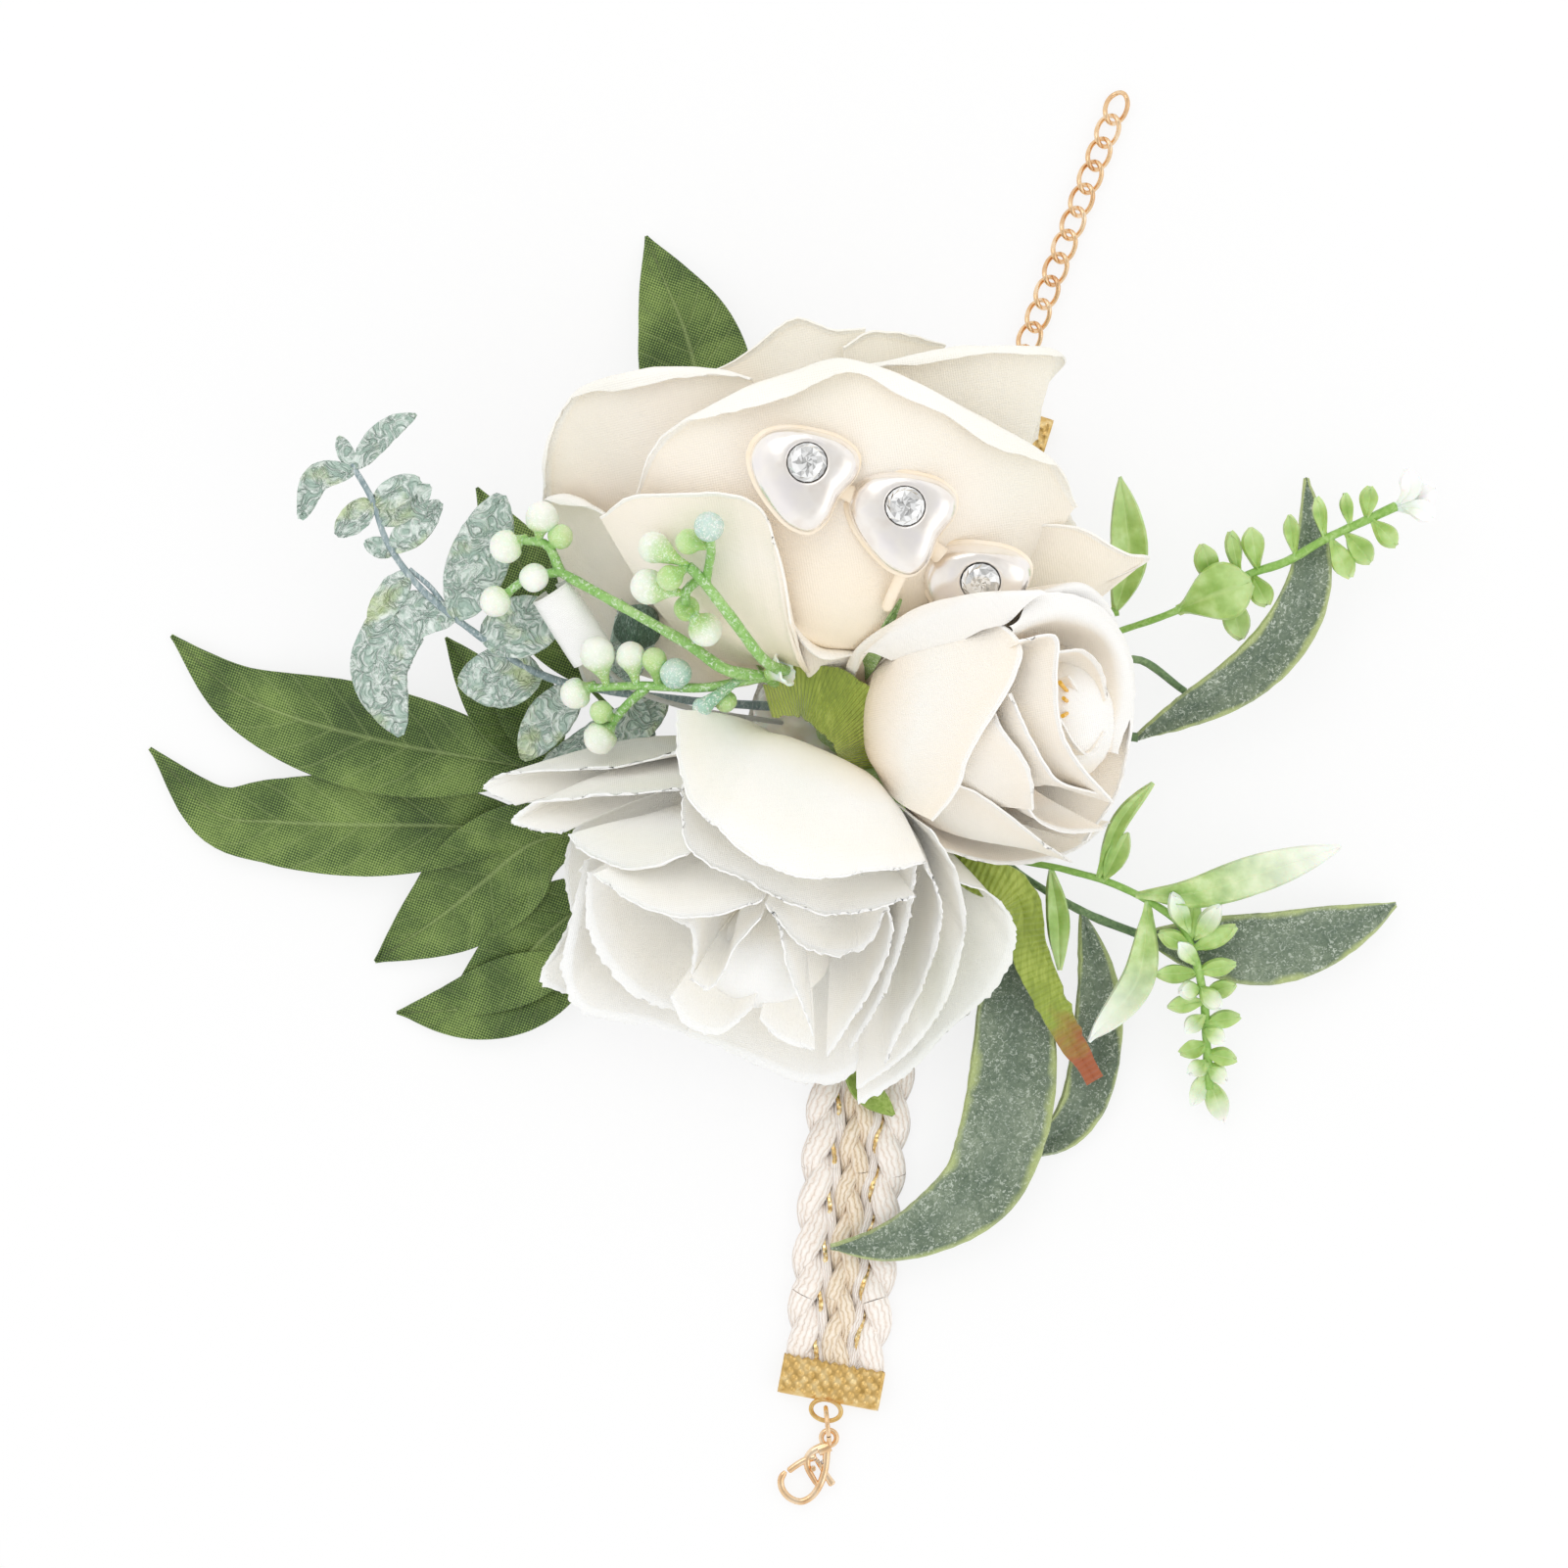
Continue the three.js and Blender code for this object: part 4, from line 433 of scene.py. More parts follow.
def strand_line(strand, start, end):
    """The middle line of a strand, drawn flat where a clamp grips the band's end."""
    count = max(4, round((end - start) / (0.55 * MM)))
    line = []
    for i in range(count + 1):
        run = start + (end - start) * i / count
        turn = strand_turn(strand, run)
        side = SIDES[-1 if run < 0 else 1]
        gripped = smooth((abs(run) - side["end"] + GRIP) / GRIP)
        across = (strand["middle"] + strand["swing"] * math.sin(turn)) * MM * (1 - 0.08 * gripped)
        height = STRAND_LEVEL + strand["rise"] * strand_bob(strand, turn)
        height = height * (1 - gripped) + GRIPPED_LEVEL * gripped
        line.append(on_band(across, run, height * MM))
    return line


def strand_radius(strand, start, end):
    """The radius of a strand along a length: it is thicker where it comes out on top."""
    def radius(share):
        turn = strand_turn(strand, start + (end - start) * share)
        return strand["radius"] * MM * (1 + strand["swell"] * strand_bob(strand, turn))

    return radius


def thread_line(hand, start, end):
    """The middle line of a gold thread, sewn up and down beside the tan plait."""
    count = max(6, round((end - start) / (0.4 * MM)))
    line = []
    for i in range(count + 1):
        run = start + (end - start) * i / count
        turn = 2 * math.pi * (run / STITCH + (0.52 if hand < 0 else 0.1))
        across = hand * (THREAD["middle"] - THREAD["swing"] * math.sin(turn + 0.6)) * MM
        line.append(on_band(across, run, (THREAD["level"] + THREAD["rise"] * math.sin(turn)) * MM))
    return line


def band_length(name, start, end):
    """One length of the band: every strand and both gold threads."""
    pieces = []
    for strand in STRANDS:
        piece = cord_piece(name, strand_line(strand, start, end), strand_radius(strand, start, end), 12,
                           (UP, strand["pressed"]))
        piece.data.materials.append(strand["finish"])
        pieces.append(piece)
    for hand in (-1, 1):
        thread = cord_piece(name, thread_line(hand, start, end), THREAD["radius"] * MM, 5,
                            (UP, THREAD["pressed"]), twist=(end - start) * THREAD["twist"])
        thread.data.materials.append(gold_thread)
        pieces.append(thread)
    piece = joined(name, pieces)
    return piece


# Each length: its name, where it starts and ends along the band in mm, the body that it rides on
# where it has no next body, the next body across the joint that it spans, and the CAD length that it
# stands for.
LENGTHS = [
    ("band_clasp_end", -86.7, -75.8, "clasp_side_3", None, "strap_clasp_side_3"),
    ("band_clasp_bend_3", -75.8, -56.4, "clasp_side_2", "clasp_side_3", None),
    ("band_clasp_bend_2", -56.4, -37, "clasp_side_1", "clasp_side_2", "strap_clasp_side_2"),
    ("band_clasp_bend_1", -37, -17.6, "bunch", "clasp_side_1", "strap_clasp_side_1"),
    ("band_middle", -17.6, 20, "bunch", None, "strap_center"),
    ("band_chain_bend_1", 20, 34.5, "bunch", "chain_side_1", "strap_chain_side_1"),
    ("band_chain_bend_2", 34.5, 49, "chain_side_1", "chain_side_2", None),
    ("band_chain_end", 49, 57.5, "chain_side_2", None, "strap_chain_side_2"),
]
JOINTS_ALONG = {"clasp_side_1": -27.3, "clasp_side_2": -46.7, "clasp_side_3": -66.1,
                "chain_side_1": 27.3, "chain_side_2": 41.8}
BLEND_REACH = 5
for name, start, end, body, next_body, stands_for in LENGTHS:
    piece = band_length(name, start * MM, end * MM)
    if next_body:
        joint = JOINTS_ALONG[next_body]
        reach = math.copysign(BLEND_REACH, joint)
        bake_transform(piece)
    else:
        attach(piece, body)
    if stands_for:
        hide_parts(stands_for)

# Clamps: a strip of antique-gold plated steel folded over each end of the band and pressed shut.
# It is dimpled all over, toothed along its mouth, and has a loop soldered to its fold.
CLAMP = {"width": 15.6, "length": 6.4, "thick": 2.6, "sheet": 0.42, "tooth": 0.6, "teeth": 11}
DOT = {"radius": 0.4, "rise": 0.3, "across": 1.62, "along": 0.95, "first": 0.9, "rows": 6}
LOOP = {"across": 2.3, "along": 1.6, "wire": 0.36, "reach": 1.3, "height": 1.5}

antique_gold, tree, shader = new_finish("antique_gold", 0.36, 1.0)
spot = spot_on(tree)
worn = grain(tree, spot, 700, 4)
tinted(tree, shader, shades(tree, worn, (0.3, "C49E58"), (0.5, "E2BE7A"), (0.72, "F5DEA8")))
tree.links.new(sums(tree, "MULTIPLY_ADD", worn, 0.25, 0.2), shader.inputs["Roughness"])
raised(tree, shader, grain(tree, spot, 2500), 0.00003)


def full_turn(steps):
    """Angles at even steps round a circle."""
    return [2 * math.pi * i / steps for i in range(steps)]


def clamp_piece(name, mouth, turn):
    """A clamp, from its mouth on the band to the loop on its fold: a sheet bent round and a wire ring."""
    out, across = heading(turn), heading(turn + 90)
    bend = CLAMP["thick"] / 2
    straight = CLAMP["length"] - bend
    girth = 2 * straight + math.pi * bend
    rng = random.Random(name)
    uneven = [rng.uniform(0.5, 1.3) for _ in range(CLAMP["teeth"] + 1)]

    def at(u, v):
        aside = (u - 0.5) * CLAMP["width"]
        run = v * girth
        from_mouth = min(run, girth - run)
        if run < straight:
            reach, height, face = run, CLAMP["thick"], UP
        elif run > girth - straight:
            reach, height, face = girth - run, 0, -UP
        else:
            roll = (run - straight) / bend
            reach, height = straight + bend * math.sin(roll), bend + bend * math.cos(roll)
            face = out * math.sin(roll) + UP * math.cos(roll)
        row = round(from_mouth / DOT["along"] - DOT["first"])
        shift = (row % 2) * 0.5
        nearest = round(aside / DOT["across"] - shift) + shift
        away = math.hypot(aside - nearest * DOT["across"], from_mouth - (row + DOT["first"]) * DOT["along"])
        inside = abs(nearest * DOT["across"]) < CLAMP["width"] / 2 - 0.5 and 0 <= row < DOT["rows"]
        rise = DOT["rise"] * max(0, 1 - (away / DOT["radius"]) ** 2) ** 0.8 if inside else 0
        edge = max(0, abs(u - 0.5) - 0.47) / 0.03
        rise -= 0.25 * edge * edge * (1 if face.z >= 0 else 0)
        tooth = u * CLAMP["teeth"]
        fall = 1 - abs((tooth % 1) - 0.5) * 2
        closeness = max(0, 1 - from_mouth / 0.7)
        cut = CLAMP["tooth"] * (0.9 - fall) * uneven[int(min(tooth, CLAMP["teeth"] - 1))]
        reach += closeness * (0.25 + cut) * 0.8
        return mouth + (across * aside + out * reach + UP * height + face * rise) * MM

    sheet = edited(grid_piece(name, 110, 64, at), outward)
    thicker(sheet, CLAMP["sheet"] * MM, -1)
    eye = mouth + (out * (CLAMP["length"] + LOOP["reach"]) + UP * LOOP["height"]) * MM
    line = [eye + (across * LOOP["across"] * math.cos(t) + out * LOOP["along"] * math.sin(t)) * MM
            for t in full_turn(48)]
    loop = cord_piece(name, line, LOOP["wire"] * MM, 12, closed=True)
    piece = joined(name, [sheet, loop])
    piece.data.materials.append(antique_gold)
    return piece


def modified(piece, kind, **settings):
    """A modifier put on a piece and applied."""
    bpy.ops.object.select_all(action="DESELECT")
    bpy.context.view_layer.objects.active = piece
    piece.select_set(True)
    made = piece.modifiers.new(kind.lower(), kind)
    for key, value in settings.items():
        setattr(made, key, value)
    bpy.ops.object.modifier_apply(modifier=made.name)
    return piece


def thicker(piece, thick, offset=0):
    """A sheet given its thickness."""
    return modified(piece, "SOLIDIFY", thickness=thick, offset=offset, use_even_offset=False)


CLASP_MOUTH = Vector((-10.304, -84.803, 0)) * MM
CHAIN_MOUTH = Vector((13.6, 54.524, 0)) * MM
for name, mouth, turn, body, stands_for in (
        ("clasp_clamp", CLASP_MOUTH, 190.8, "clasp_side_3", "clasp_end_clamp"),
        ("chain_clamp", CHAIN_MOUTH, 17.4, "chain_side_2", "chain_end_clamp")):
    piece = clamp_piece(name, mouth, turn)
    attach(piece, body)
    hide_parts(stands_for)

# Jump rings: round rose-gold plated wire, bent to a ring with its two ends butted together.
# One joins the clasp to its clamp and stands on edge; the chain's leans over.
RING = {"radius": 2.7, "wire": 0.36, "arc": 357, "steps": 72}

rose_gold, tree, shader = new_finish("rose_gold", 0.16, 1.0)
spot = spot_on(tree)
worn = grain(tree, spot, 420, 4)
tinted(tree, shader, shades(tree, worn, (0.3, "DFB184"), (0.5, "F0CCA0"), (0.72, "FBE4C6")))
raised(tree, shader, grain(tree, spot, 1800), 0.00002)


def ring_piece(name, middle, run, lean, gap):
    """A jump ring that leans over by an angle, with the cut in its wire at another."""
    across = Vector((run.y, -run.x, 0))
    leaning = across * math.cos(math.radians(lean)) + UP * math.sin(math.radians(lean))
    line = []
    for i in range(RING["steps"] + 1):
        turn = math.radians(gap + (360 - RING["arc"]) / 2 + RING["arc"] * i / RING["steps"])
        line.append(middle + (run * math.cos(turn) + leaning * math.sin(turn)) * RING["radius"] * MM)
    piece = joined(name, [cord_piece(name, line, RING["wire"] * MM, 14)])
    piece.data.materials.append(rose_gold)
    return piece


piece = ring_piece("clasp_ring_wire", Vector((-11.524, -94.492, 3.15)) * MM, heading(174), 90, 60)
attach(piece, "clasp_ring")
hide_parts("clasp_jump_ring")
piece = ring_piece("chain_ring_wire", Vector((17.5, 63.848, 2.359)) * MM, heading(20.6), 45, 200)
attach(piece, "chain_ring")
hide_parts("chain_jump_ring")

# Lobster clasp: a cast body with an eye, two arms round a window and a hooked ring, and a sprung
# lever that shuts its mouth. Tumbled round, polished and rose-gold plated, 12 mm long.
CLASP_EYE = Vector((-11.3, -96.617, 1.1)) * MM
# Each bar of the clasp: its places from the eye, in mm, its thickness at both ends, and how much it
# is pressed.
HOOK = ([(-0.2, -1.1), (-0.35, -2.2), (-0.45, -3.6), (-0.75, -5.4), (-1.4, -7.2), (-2.6, -8.9), (-4.2, -9.7),
         (-5.9, -9.2), (-7.1, -7.8), (-7.3, -6.3), (-6.6, -5.1)], 1.2, 1.0, 0.85)
ARM = ([(0, -1.2), (-1.3, -1.5), (-2.6, -2.2), (-3.3, -3.3), (-3.2, -4.6), (-2.5, -6.0), (-1.7, -7.3)],
       1.5, 0.8, 0.85)
NECK = ([(0.2, -1.2), (-0.6, -1.6), (-1.7, -2.0)], 1.7, 1.7, 0.85)
LATCH = ([(-1.9, -2.9), (-3.6, -3.4), (-5.0, -4.2), (-6.2, -5.1)], 1.1, 1.0, 0.85)
THUMB = ([(-2.2, -3.0), (-1.2, -4.4), (-0.2, -6.0), (0.6, -7.2)], 0.6, 1.2, 0.6)
EYE = {"radius": 1.15, "wire": 0.42}


def through(points, share):
    """A place on the smooth line through some points, at a share of its run."""
    run = share * (len(points) - 1)
    i = min(int(run), len(points) - 2)
    t = run - i
    b, c = points[i], points[i + 1]
    a = points[i - 1] if i else b * 2 - c
    d = points[i + 2] if i + 2 < len(points) else c * 2 - b
    ab, bc, cd = [max((q - p).length, 1e-7) ** 0.5 for p, q in ((a, b), (b, c), (c, d))]
    out = ((b - a) / ab - (c - a) / (ab + bc) + (c - b) / bc) * bc
    back = ((c - b) / bc - (d - b) / (bc + cd) + (d - c) / cd) * bc
    return (b * (2 * t ** 3 - 3 * t * t + 1) + out * (t ** 3 - 2 * t * t + t)
            + c * (3 * t * t - 2 * t ** 3) + back * (t ** 3 - t * t))


def softened(node_name, name, width, segments):
    """A copy of a CAD solid with its corners merged and its edges rounded."""
    piece = frame["nodes"][node_name].copy()
    piece.data = piece.data.copy()
    piece.parent = None
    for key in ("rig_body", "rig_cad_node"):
        del piece[key]
    bpy.context.scene.collection.objects.link(piece)
    piece.matrix_world = Matrix.Identity(4)
    piece.name = name
    piece.data.name = name
    edited(piece, welded, lambda: bpy.ops.mesh.dissolve_limited(angle_limit=math.radians(1)))
    piece.data.materials.clear()
    modified(piece, "BEVEL", width=width * MM, segments=segments, limit_method="ANGLE",
             angle_limit=math.radians(50), use_clamp_overlap=True)
    return piece


def bar_piece(name, points, first, last, pressed):
    """A round cast bar through some places beside the eye, thinning from one end to the other."""
    points = [CLASP_EYE + Vector((x, y, 0)) * MM for x, y in points]
    line = [through(points, i / 60) for i in range(61)]

    def radius(share):
        end = min(1, 0.35 + min(share, 1 - share) * 14)
        return (first + (last - first) * share) / 2 * MM * end ** 0.5

    return cord_piece(name, line, radius, 14, (UP, pressed))


eye_line = [CLASP_EYE + Vector((math.cos(t), math.sin(t), 0)) * EYE["radius"] * MM for t in full_turn(32)]
parts = [cord_piece("clasp_body", eye_line, EYE["wire"] * MM, 12, closed=True)]
parts += [bar_piece("clasp_body", *bar) for bar in (HOOK, ARM, NECK)]
body = joined("clasp_body", parts)
lever = joined("clasp_lever_arm", [bar_piece("clasp_lever_arm", *bar) for bar in (LATCH, THUMB)])
pin = joined("clasp_pin", [softened("lobster_clasp_pin", "clasp_pin", 0.08, 2)])
for piece, body_name, stands_for in ((body, "clasp", "lobster_clasp_body"),
                                     (lever, "clasp_lever", "lobster_clasp_lever"),
                                     (pin, "clasp", "lobster_clasp_pin")):
    piece.data.materials.append(rose_gold)
    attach(piece, body_name)
    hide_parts(stands_for)

SPRING = {"length": 2.5, "turns": 6, "radius": 0.22, "wire": 0.06, "heading": 115, "steps": 140}
spring_low, spring_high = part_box("lobster_clasp_spring")
spring_run, spring_side = heading(SPRING["heading"]), heading(SPRING["heading"] + 90)
spring_middle = (spring_low + spring_high) / 2
coils = []
for i in range(SPRING["steps"] + 1):
    share = i / SPRING["steps"]
    turn = share * SPRING["turns"] * 2 * math.pi
    spoke = (spring_side * math.cos(turn) + UP * math.sin(turn)) * SPRING["radius"]
    coils.append(spring_middle + (spring_run * (share - 0.5) * SPRING["length"] + spoke) * MM)
spring = joined("clasp_spring_coil", [cord_piece("clasp_spring_coil", coils, SPRING["wire"] * MM, 6)])
spring_steel, tree, shader = new_finish("spring_steel", 0.25, 1.0)
drawn = grain(tree, spot_on(tree), 3000)
tinted(tree, shader, shades(tree, drawn, (0.35, "8E8F92"), (0.65, "C9CACC")))
spring.data.materials.append(spring_steel)
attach(spring, "clasp")
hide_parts("lobster_clasp_spring")

# Extender chain: curb links of rose-gold plated wire, each twisted so that its ends stand square to
# each other and the chain lies flat.
LINK = {"half": 2.45, "pitch": 3.75, "wire": 0.38, "width": 3.2, "twist": 45}
LINKS = 12
FIRST_LINK = Vector((17.912, 67.218, 1.102)) * MM
chain_run = heading(20.6)
chain_side = heading(110.6)
for i in range(LINKS):
    middle = FIRST_LINK + chain_run * (i * LINK["pitch"] * MM)
    line = []
    for turn in full_turn(56):
        reach = LINK["half"] * math.copysign(abs(math.cos(turn)) ** 0.75, math.cos(turn))
        aside = LINK["width"] / 2 * math.copysign(abs(math.sin(turn)) ** 0.9, math.sin(turn))
        roll = math.radians(LINK["twist"]) * reach / LINK["half"]
        twisted = chain_side * math.cos(roll) + UP * math.sin(roll)
        line.append(middle + (twisted * aside + chain_run * reach) * MM)
    name = f"curb_link_{i + 1:02d}"
    piece = joined(name, [cord_piece(name, line, LINK["wire"] * MM, 12, closed=True)])
    piece.data.materials.append(rose_gold)
    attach(piece, f"link_{i + 1:02d}")
    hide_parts(f"chain_link_{i + 1:02d}")

# Pad and glue: under the flowers a die-cut oval of pressed white felt lies on the band, and a mound
# of clear hot-melt glue on it, set in lumps and drips, holds every stem.
BUNCH_HEIGHT = 50 * MM


def place(across, down, share):
    """A pixel of the picture and a height, as a share of the bunch's, as a place."""
    height = share * BUNCH_HEIGHT
    near = PIXEL * (1 - height / CAMERA_HEIGHT)
    return Vector((PICTURE_MIDDLE[0] + (across - PIXELS / 2) * near,
                   PICTURE_MIDDLE[1] - (down - PIXELS / 2) * near, height))


PAD = {"length": 50 * MM, "width": 38 * MM, "thick": 1.6 * MM}
PAD_FLOOR = BAND_THICK + 0.3 * MM
# How far out and how high each ring of the pad is, from under its middle to its top.
PAD_RINGS = [(0, 0), (0.6, 0), (0.96, 0), (1, 0.25), (1, 0.75), (0.96, 1), (0.6, 1), (0, 1)]
pad_middle = place(888, 762, 0)


def pad_at(u, v):
    reach, rise = PAD_RINGS[round(v * (len(PAD_RINGS) - 1))]
    turn = -2 * math.pi * u
    across, along = heading(MIDDLE_TURN + 90), heading(MIDDLE_TURN)
    rim = across * math.cos(turn) * PAD["width"] / 2 + along * math.sin(turn) * PAD["length"] / 2
    lump = noise.noise(Vector((u * 40, rise * 2, 0))) * 0.0003 * (reach > 0.9)
    return pad_middle + rim * reach + rim.normalized() * lump + UP * (PAD_FLOOR + rise * PAD["thick"])


pad = grid_piece("felt_oval", 72, len(PAD_RINGS) - 1, pad_at)
pad = joined("felt_oval", [edited(pad, welded, outward)])
white_felt, tree, shader = new_finish("white_felt", 0.95, Sheen_Weight=0.3)
hair = grain(tree, spot_on(tree), 1800, 5, distort=1.5)
tinted(tree, shader, shades(tree, hair, (0.3, "DAD6CC"), (0.6, "F4F1E9")))
raised(tree, shader, hair, 0.0003)
pad.data.materials.append(white_felt)
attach(pad, "bunch")
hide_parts("felt_pad")

GLUE = {"radius": 15 * MM, "height": 8.5 * MM}
glue_middle = place(866, 738, 0) + UP * (PAD_FLOOR + PAD["thick"] + 0.2 * MM)


def glue_at(u, v):
    """The mound from the middle of its flat foot (v = 0) out to its edge and up to its top (v = 1)."""
    turn = 2 * math.pi * u
    if v < 0.5:
        reach, height = v * 2, 0
    else:
        rise = (v - 0.5) * math.pi
        reach, height = math.cos(rise), math.sin(rise)
    spoke = Vector((math.cos(turn), math.sin(turn), 0))
    lump = 0.94 + 0.1 * noise.noise(Vector((math.cos(turn) * 2, math.sin(turn) * 2, height * 3)))
    return glue_middle + (spoke * reach * GLUE["radius"] + UP * height * GLUE["height"]) * lump


glue = joined("glue_lump", [edited(grid_piece("glue_lump", 48, 24, glue_at), welded, outward)])
hot_glue, tree, shader = new_finish("hot_glue", 0.22, Subsurface_Weight=0.35, Subsurface_Scale=0.003,
                                    Coat_Weight=0.4)
cloud = grain(tree, spot_on(tree), 260, 3)
tinted(tree, shader, shades(tree, cloud, (0.3, "E6DEC8"), (0.7, "F6F3EA")))
raised(tree, shader, cloud, 0.0006)
glue.data.materials.append(hot_glue)
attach(glue, "bunch")
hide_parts("glue_mound")

# Heart pearls: three moulded hearts on one clear strip, each a pearl-lacquered dome on a cream rim
# with a foil-backed glass stone pressed into its seat. The strip is glued on the large rose.
HEART = {"width": 15.2, "length": 15.8, "thick": 3.6}
# Each heart: its middle in the picture and its height, its turn and its tilt in degrees.
HEARTS = [((813, 480, 1.04), 33, 0), ((913, 524, 0.98), 30, 2), ((990, 594, 0.83), 28, 18)]
# One side of the outline, from its point to its notch, as shares of the width and length.
HEART_SIDE = [(0, -0.5), (0.16, -0.455), (0.33, -0.28), (0.46, 0), (0.51, 0.22), (0.46, 0.42), (0.28, 0.5),
              (0.1, 0.48), (0, 0.465)]
# How far out, how high, and how round each ring of the heart is, from its back to its seat.
HEART_RINGS = [(0, 0, 0), (0.6, 0, 0), (0.97, 0, 0), (1, 0.2, 0), (0.99, 0.42, 0), (0.96, 0.55, 0),
               (0.94, 0.64, 0), (0.935, 0.95, 0), (0.925, 1.45, 0), (0.895, 2.05, 0.01), (0.83, 2.65, 0.06),
               (0.73, 3.12, 0.2), (0.6, 3.46, 0.5), (0.48, 3.62, 0.8), (0.41, 3.64, 1), (0.385, 3.52, 1),
               (0.372, 3.2, 1), (0.365, 2.1, 1), (0, 2.1, 1)]
RIM_TOP = 0.6
HEART_SET_BACK = 0.32
HEART_SEAT = Vector((-1.6, 0.8, 0))
STONE = {"radius": 2.8, "table": 1.45, "crown": 1.05, "depth": 1.3}
# How wide and how high each ring of the stone is, and by how much of a facet it is turned.
STONE_RINGS = [(0, -STONE["depth"], 0), (STONE["radius"] * 0.55, -STONE["depth"], 0.5),
               (STONE["radius"], -0.2, 0), (STONE["radius"], 0.15, 0),
               ((STONE["radius"] + STONE["table"]) / 2 + 0.12, 0.68, 0.5),
               (STONE["table"], STONE["crown"], 0), (STONE["table"] * 0.55, STONE["crown"], 0.5),
               (0, STONE["crown"], 0)]
FACETS = 16


def heart_frame(centre, turn, tilt):
    """The place of a heart on the rose, as a matrix."""
    return (Matrix.Translation(place(*centre)) @ Matrix.Rotation(math.radians(tilt), 4, "X")
            @ Matrix.Rotation(-math.radians(90 + turn), 4, "Z"))


half = [Vector((x * HEART["width"], y * HEART["length"], 0)) for x, y in HEART_SIDE]
heart_line = [through(half, i / 24) for i in range(25)]
heart_line += [Vector((-p.x, p.y, 0)) for p in reversed(heart_line[1:-1])]

pearl, tree, shader = new_finish("heart_pearl", 0.26, 0.8, Coat_Weight=0.8, Coat_Roughness=0.08)
spot = spot_on(tree)
lustre = grain(tree, spot, 300, 2)
tinted(tree, shader, shades(tree, lustre, (0.3, "F4ECE4"), (0.5, "FBF6F0"), (0.7, "F6F1F0")))
raised(tree, shader, grain(tree, spot, 350, 2), 0.00006)
cream_rim, tree, shader = new_finish("cream_rim", 0.3, Coat_Weight=0.3)
spot = spot_on(tree)
tinted(tree, shader, shades(tree, grain(tree, spot, 240, 3), (0.3, "FAE8CB"), (0.7, "FDF1DF")))
raised(tree, shader, grain(tree, spot, 900), 0.00008)
# The stone's facets are painted reflections: a bright, a grey and a dark copy of one foil-backed glass
# finish, each with painted glints.
painted_facet_reflections = []
for name, code, metal in (("stone_light", "FAF9F6", 0.5), ("stone_grey", "B6B3AC", 0.9),
                          ("stone_dark", "6A665F", 0.9)):
    finish, tree, shader = new_finish(name, 0.06, metal, Coat_Weight=1.0, Coat_Roughness=0.02)
    glint = grain(tree, spot_on(tree), 1500, 2)
    tinted(tree, shader, mixed(tree, glint, colour(code), colour("F2F4F6")))
    painted_facet_reflections.append(finish)

for number, (centre, turn, tilt) in enumerate(HEARTS, 1):
    spot_of = heart_frame(centre, turn, tilt)

    def heart_at(u, v):
        reach, height, round_share = HEART_RINGS[round(v * (len(HEART_RINGS) - 1))]
        i = round(u * len(heart_line)) % len(heart_line)
        edge = heart_line[i]
        way = math.atan2(edge.y, edge.x)
        ring = Vector((math.cos(way), math.sin(way), 0)) * (HEART["width"] / 2)
        drawn = min(1, round_share + max(0, height - 2) * 0.3)
        point = edge.lerp(ring, round_share) * reach + HEART_SEAT * drawn
        if height > RIM_TOP and round_share < 0.5:
            point.y += HEART_SET_BACK
        return spot_of @ ((point + UP * height) * MM)

    heart = edited(grid_piece(f"heart_pearl_{number}", len(heart_line), len(HEART_RINGS) - 1, heart_at))
    heart.data.materials.append(pearl)
    heart.data.materials.append(cream_rim)
    inverse = spot_of.inverted()
    for face in heart.data.polygons:
        face.material_index = 1 if (inverse @ face.center).z < RIM_TOP * MM else 0
    edited(heart, welded, outward)
    parts = [heart]
    if number < len(HEARTS):
        there = inverse @ place(*HEARTS[number][0])
        link = [spot_of @ (there * (0.3 + 0.04 * i) + UP * 0.35 * MM) for i in range(11)]
        web = cord_piece(heart.name, link, lambda share: (1.2 + 0.8 * abs(share - 0.5)) * MM, 12,
                         (spot_of.to_3x3() @ UP, 0.36))
        web.data.materials.append(cream_rim)
        parts.append(web)
    if number == 2:
        strip = [place(926, 574, 0.99), place(916, 596, 0.94), place(905, 622, 0.86)]
        tail = cord_piece(heart.name, [through(strip, i / 12) for i in range(13)], 0.9 * MM, 12, (UP, 0.3))
        tail.data.materials.append(cream_rim)
        parts.append(tail)
    heart = joined(heart.name, parts)
    modified(heart, "SUBSURF", levels=1, render_levels=1)
    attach(heart, "bunch")
    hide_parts(f"pearl_heart_{number}")

    def stone_at(u, v):
        radius, height, shift = STONE_RINGS[round(v * (len(STONE_RINGS) - 1))]
        way = 2 * math.pi * (u + shift / FACETS)
        around = Vector((radius * math.cos(way), radius * math.sin(way), height + HEART["thick"] + 0.1))
        return spot_of @ ((around + HEART_SEAT) * MM)

    stone = grid_piece(f"glass_stone_{number}", FACETS, len(STONE_RINGS) - 1, stone_at)
    edited(stone, welded, outward, lambda: bpy.ops.mesh.quads_convert_to_tris(quad_method="FIXED"))
    rng = random.Random(number)
    for finish in painted_facet_reflections:
        stone.data.materials.append(finish)
    # Each facet gets one of the painted reflections at random.
    for face in stone.data.polygons:
        face.material_index = rng.choice((0, 0, 1, 2, 1, 0))
        face.use_smooth = False
    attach(stone, "bunch")
    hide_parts(f"rhinestone_{number}")

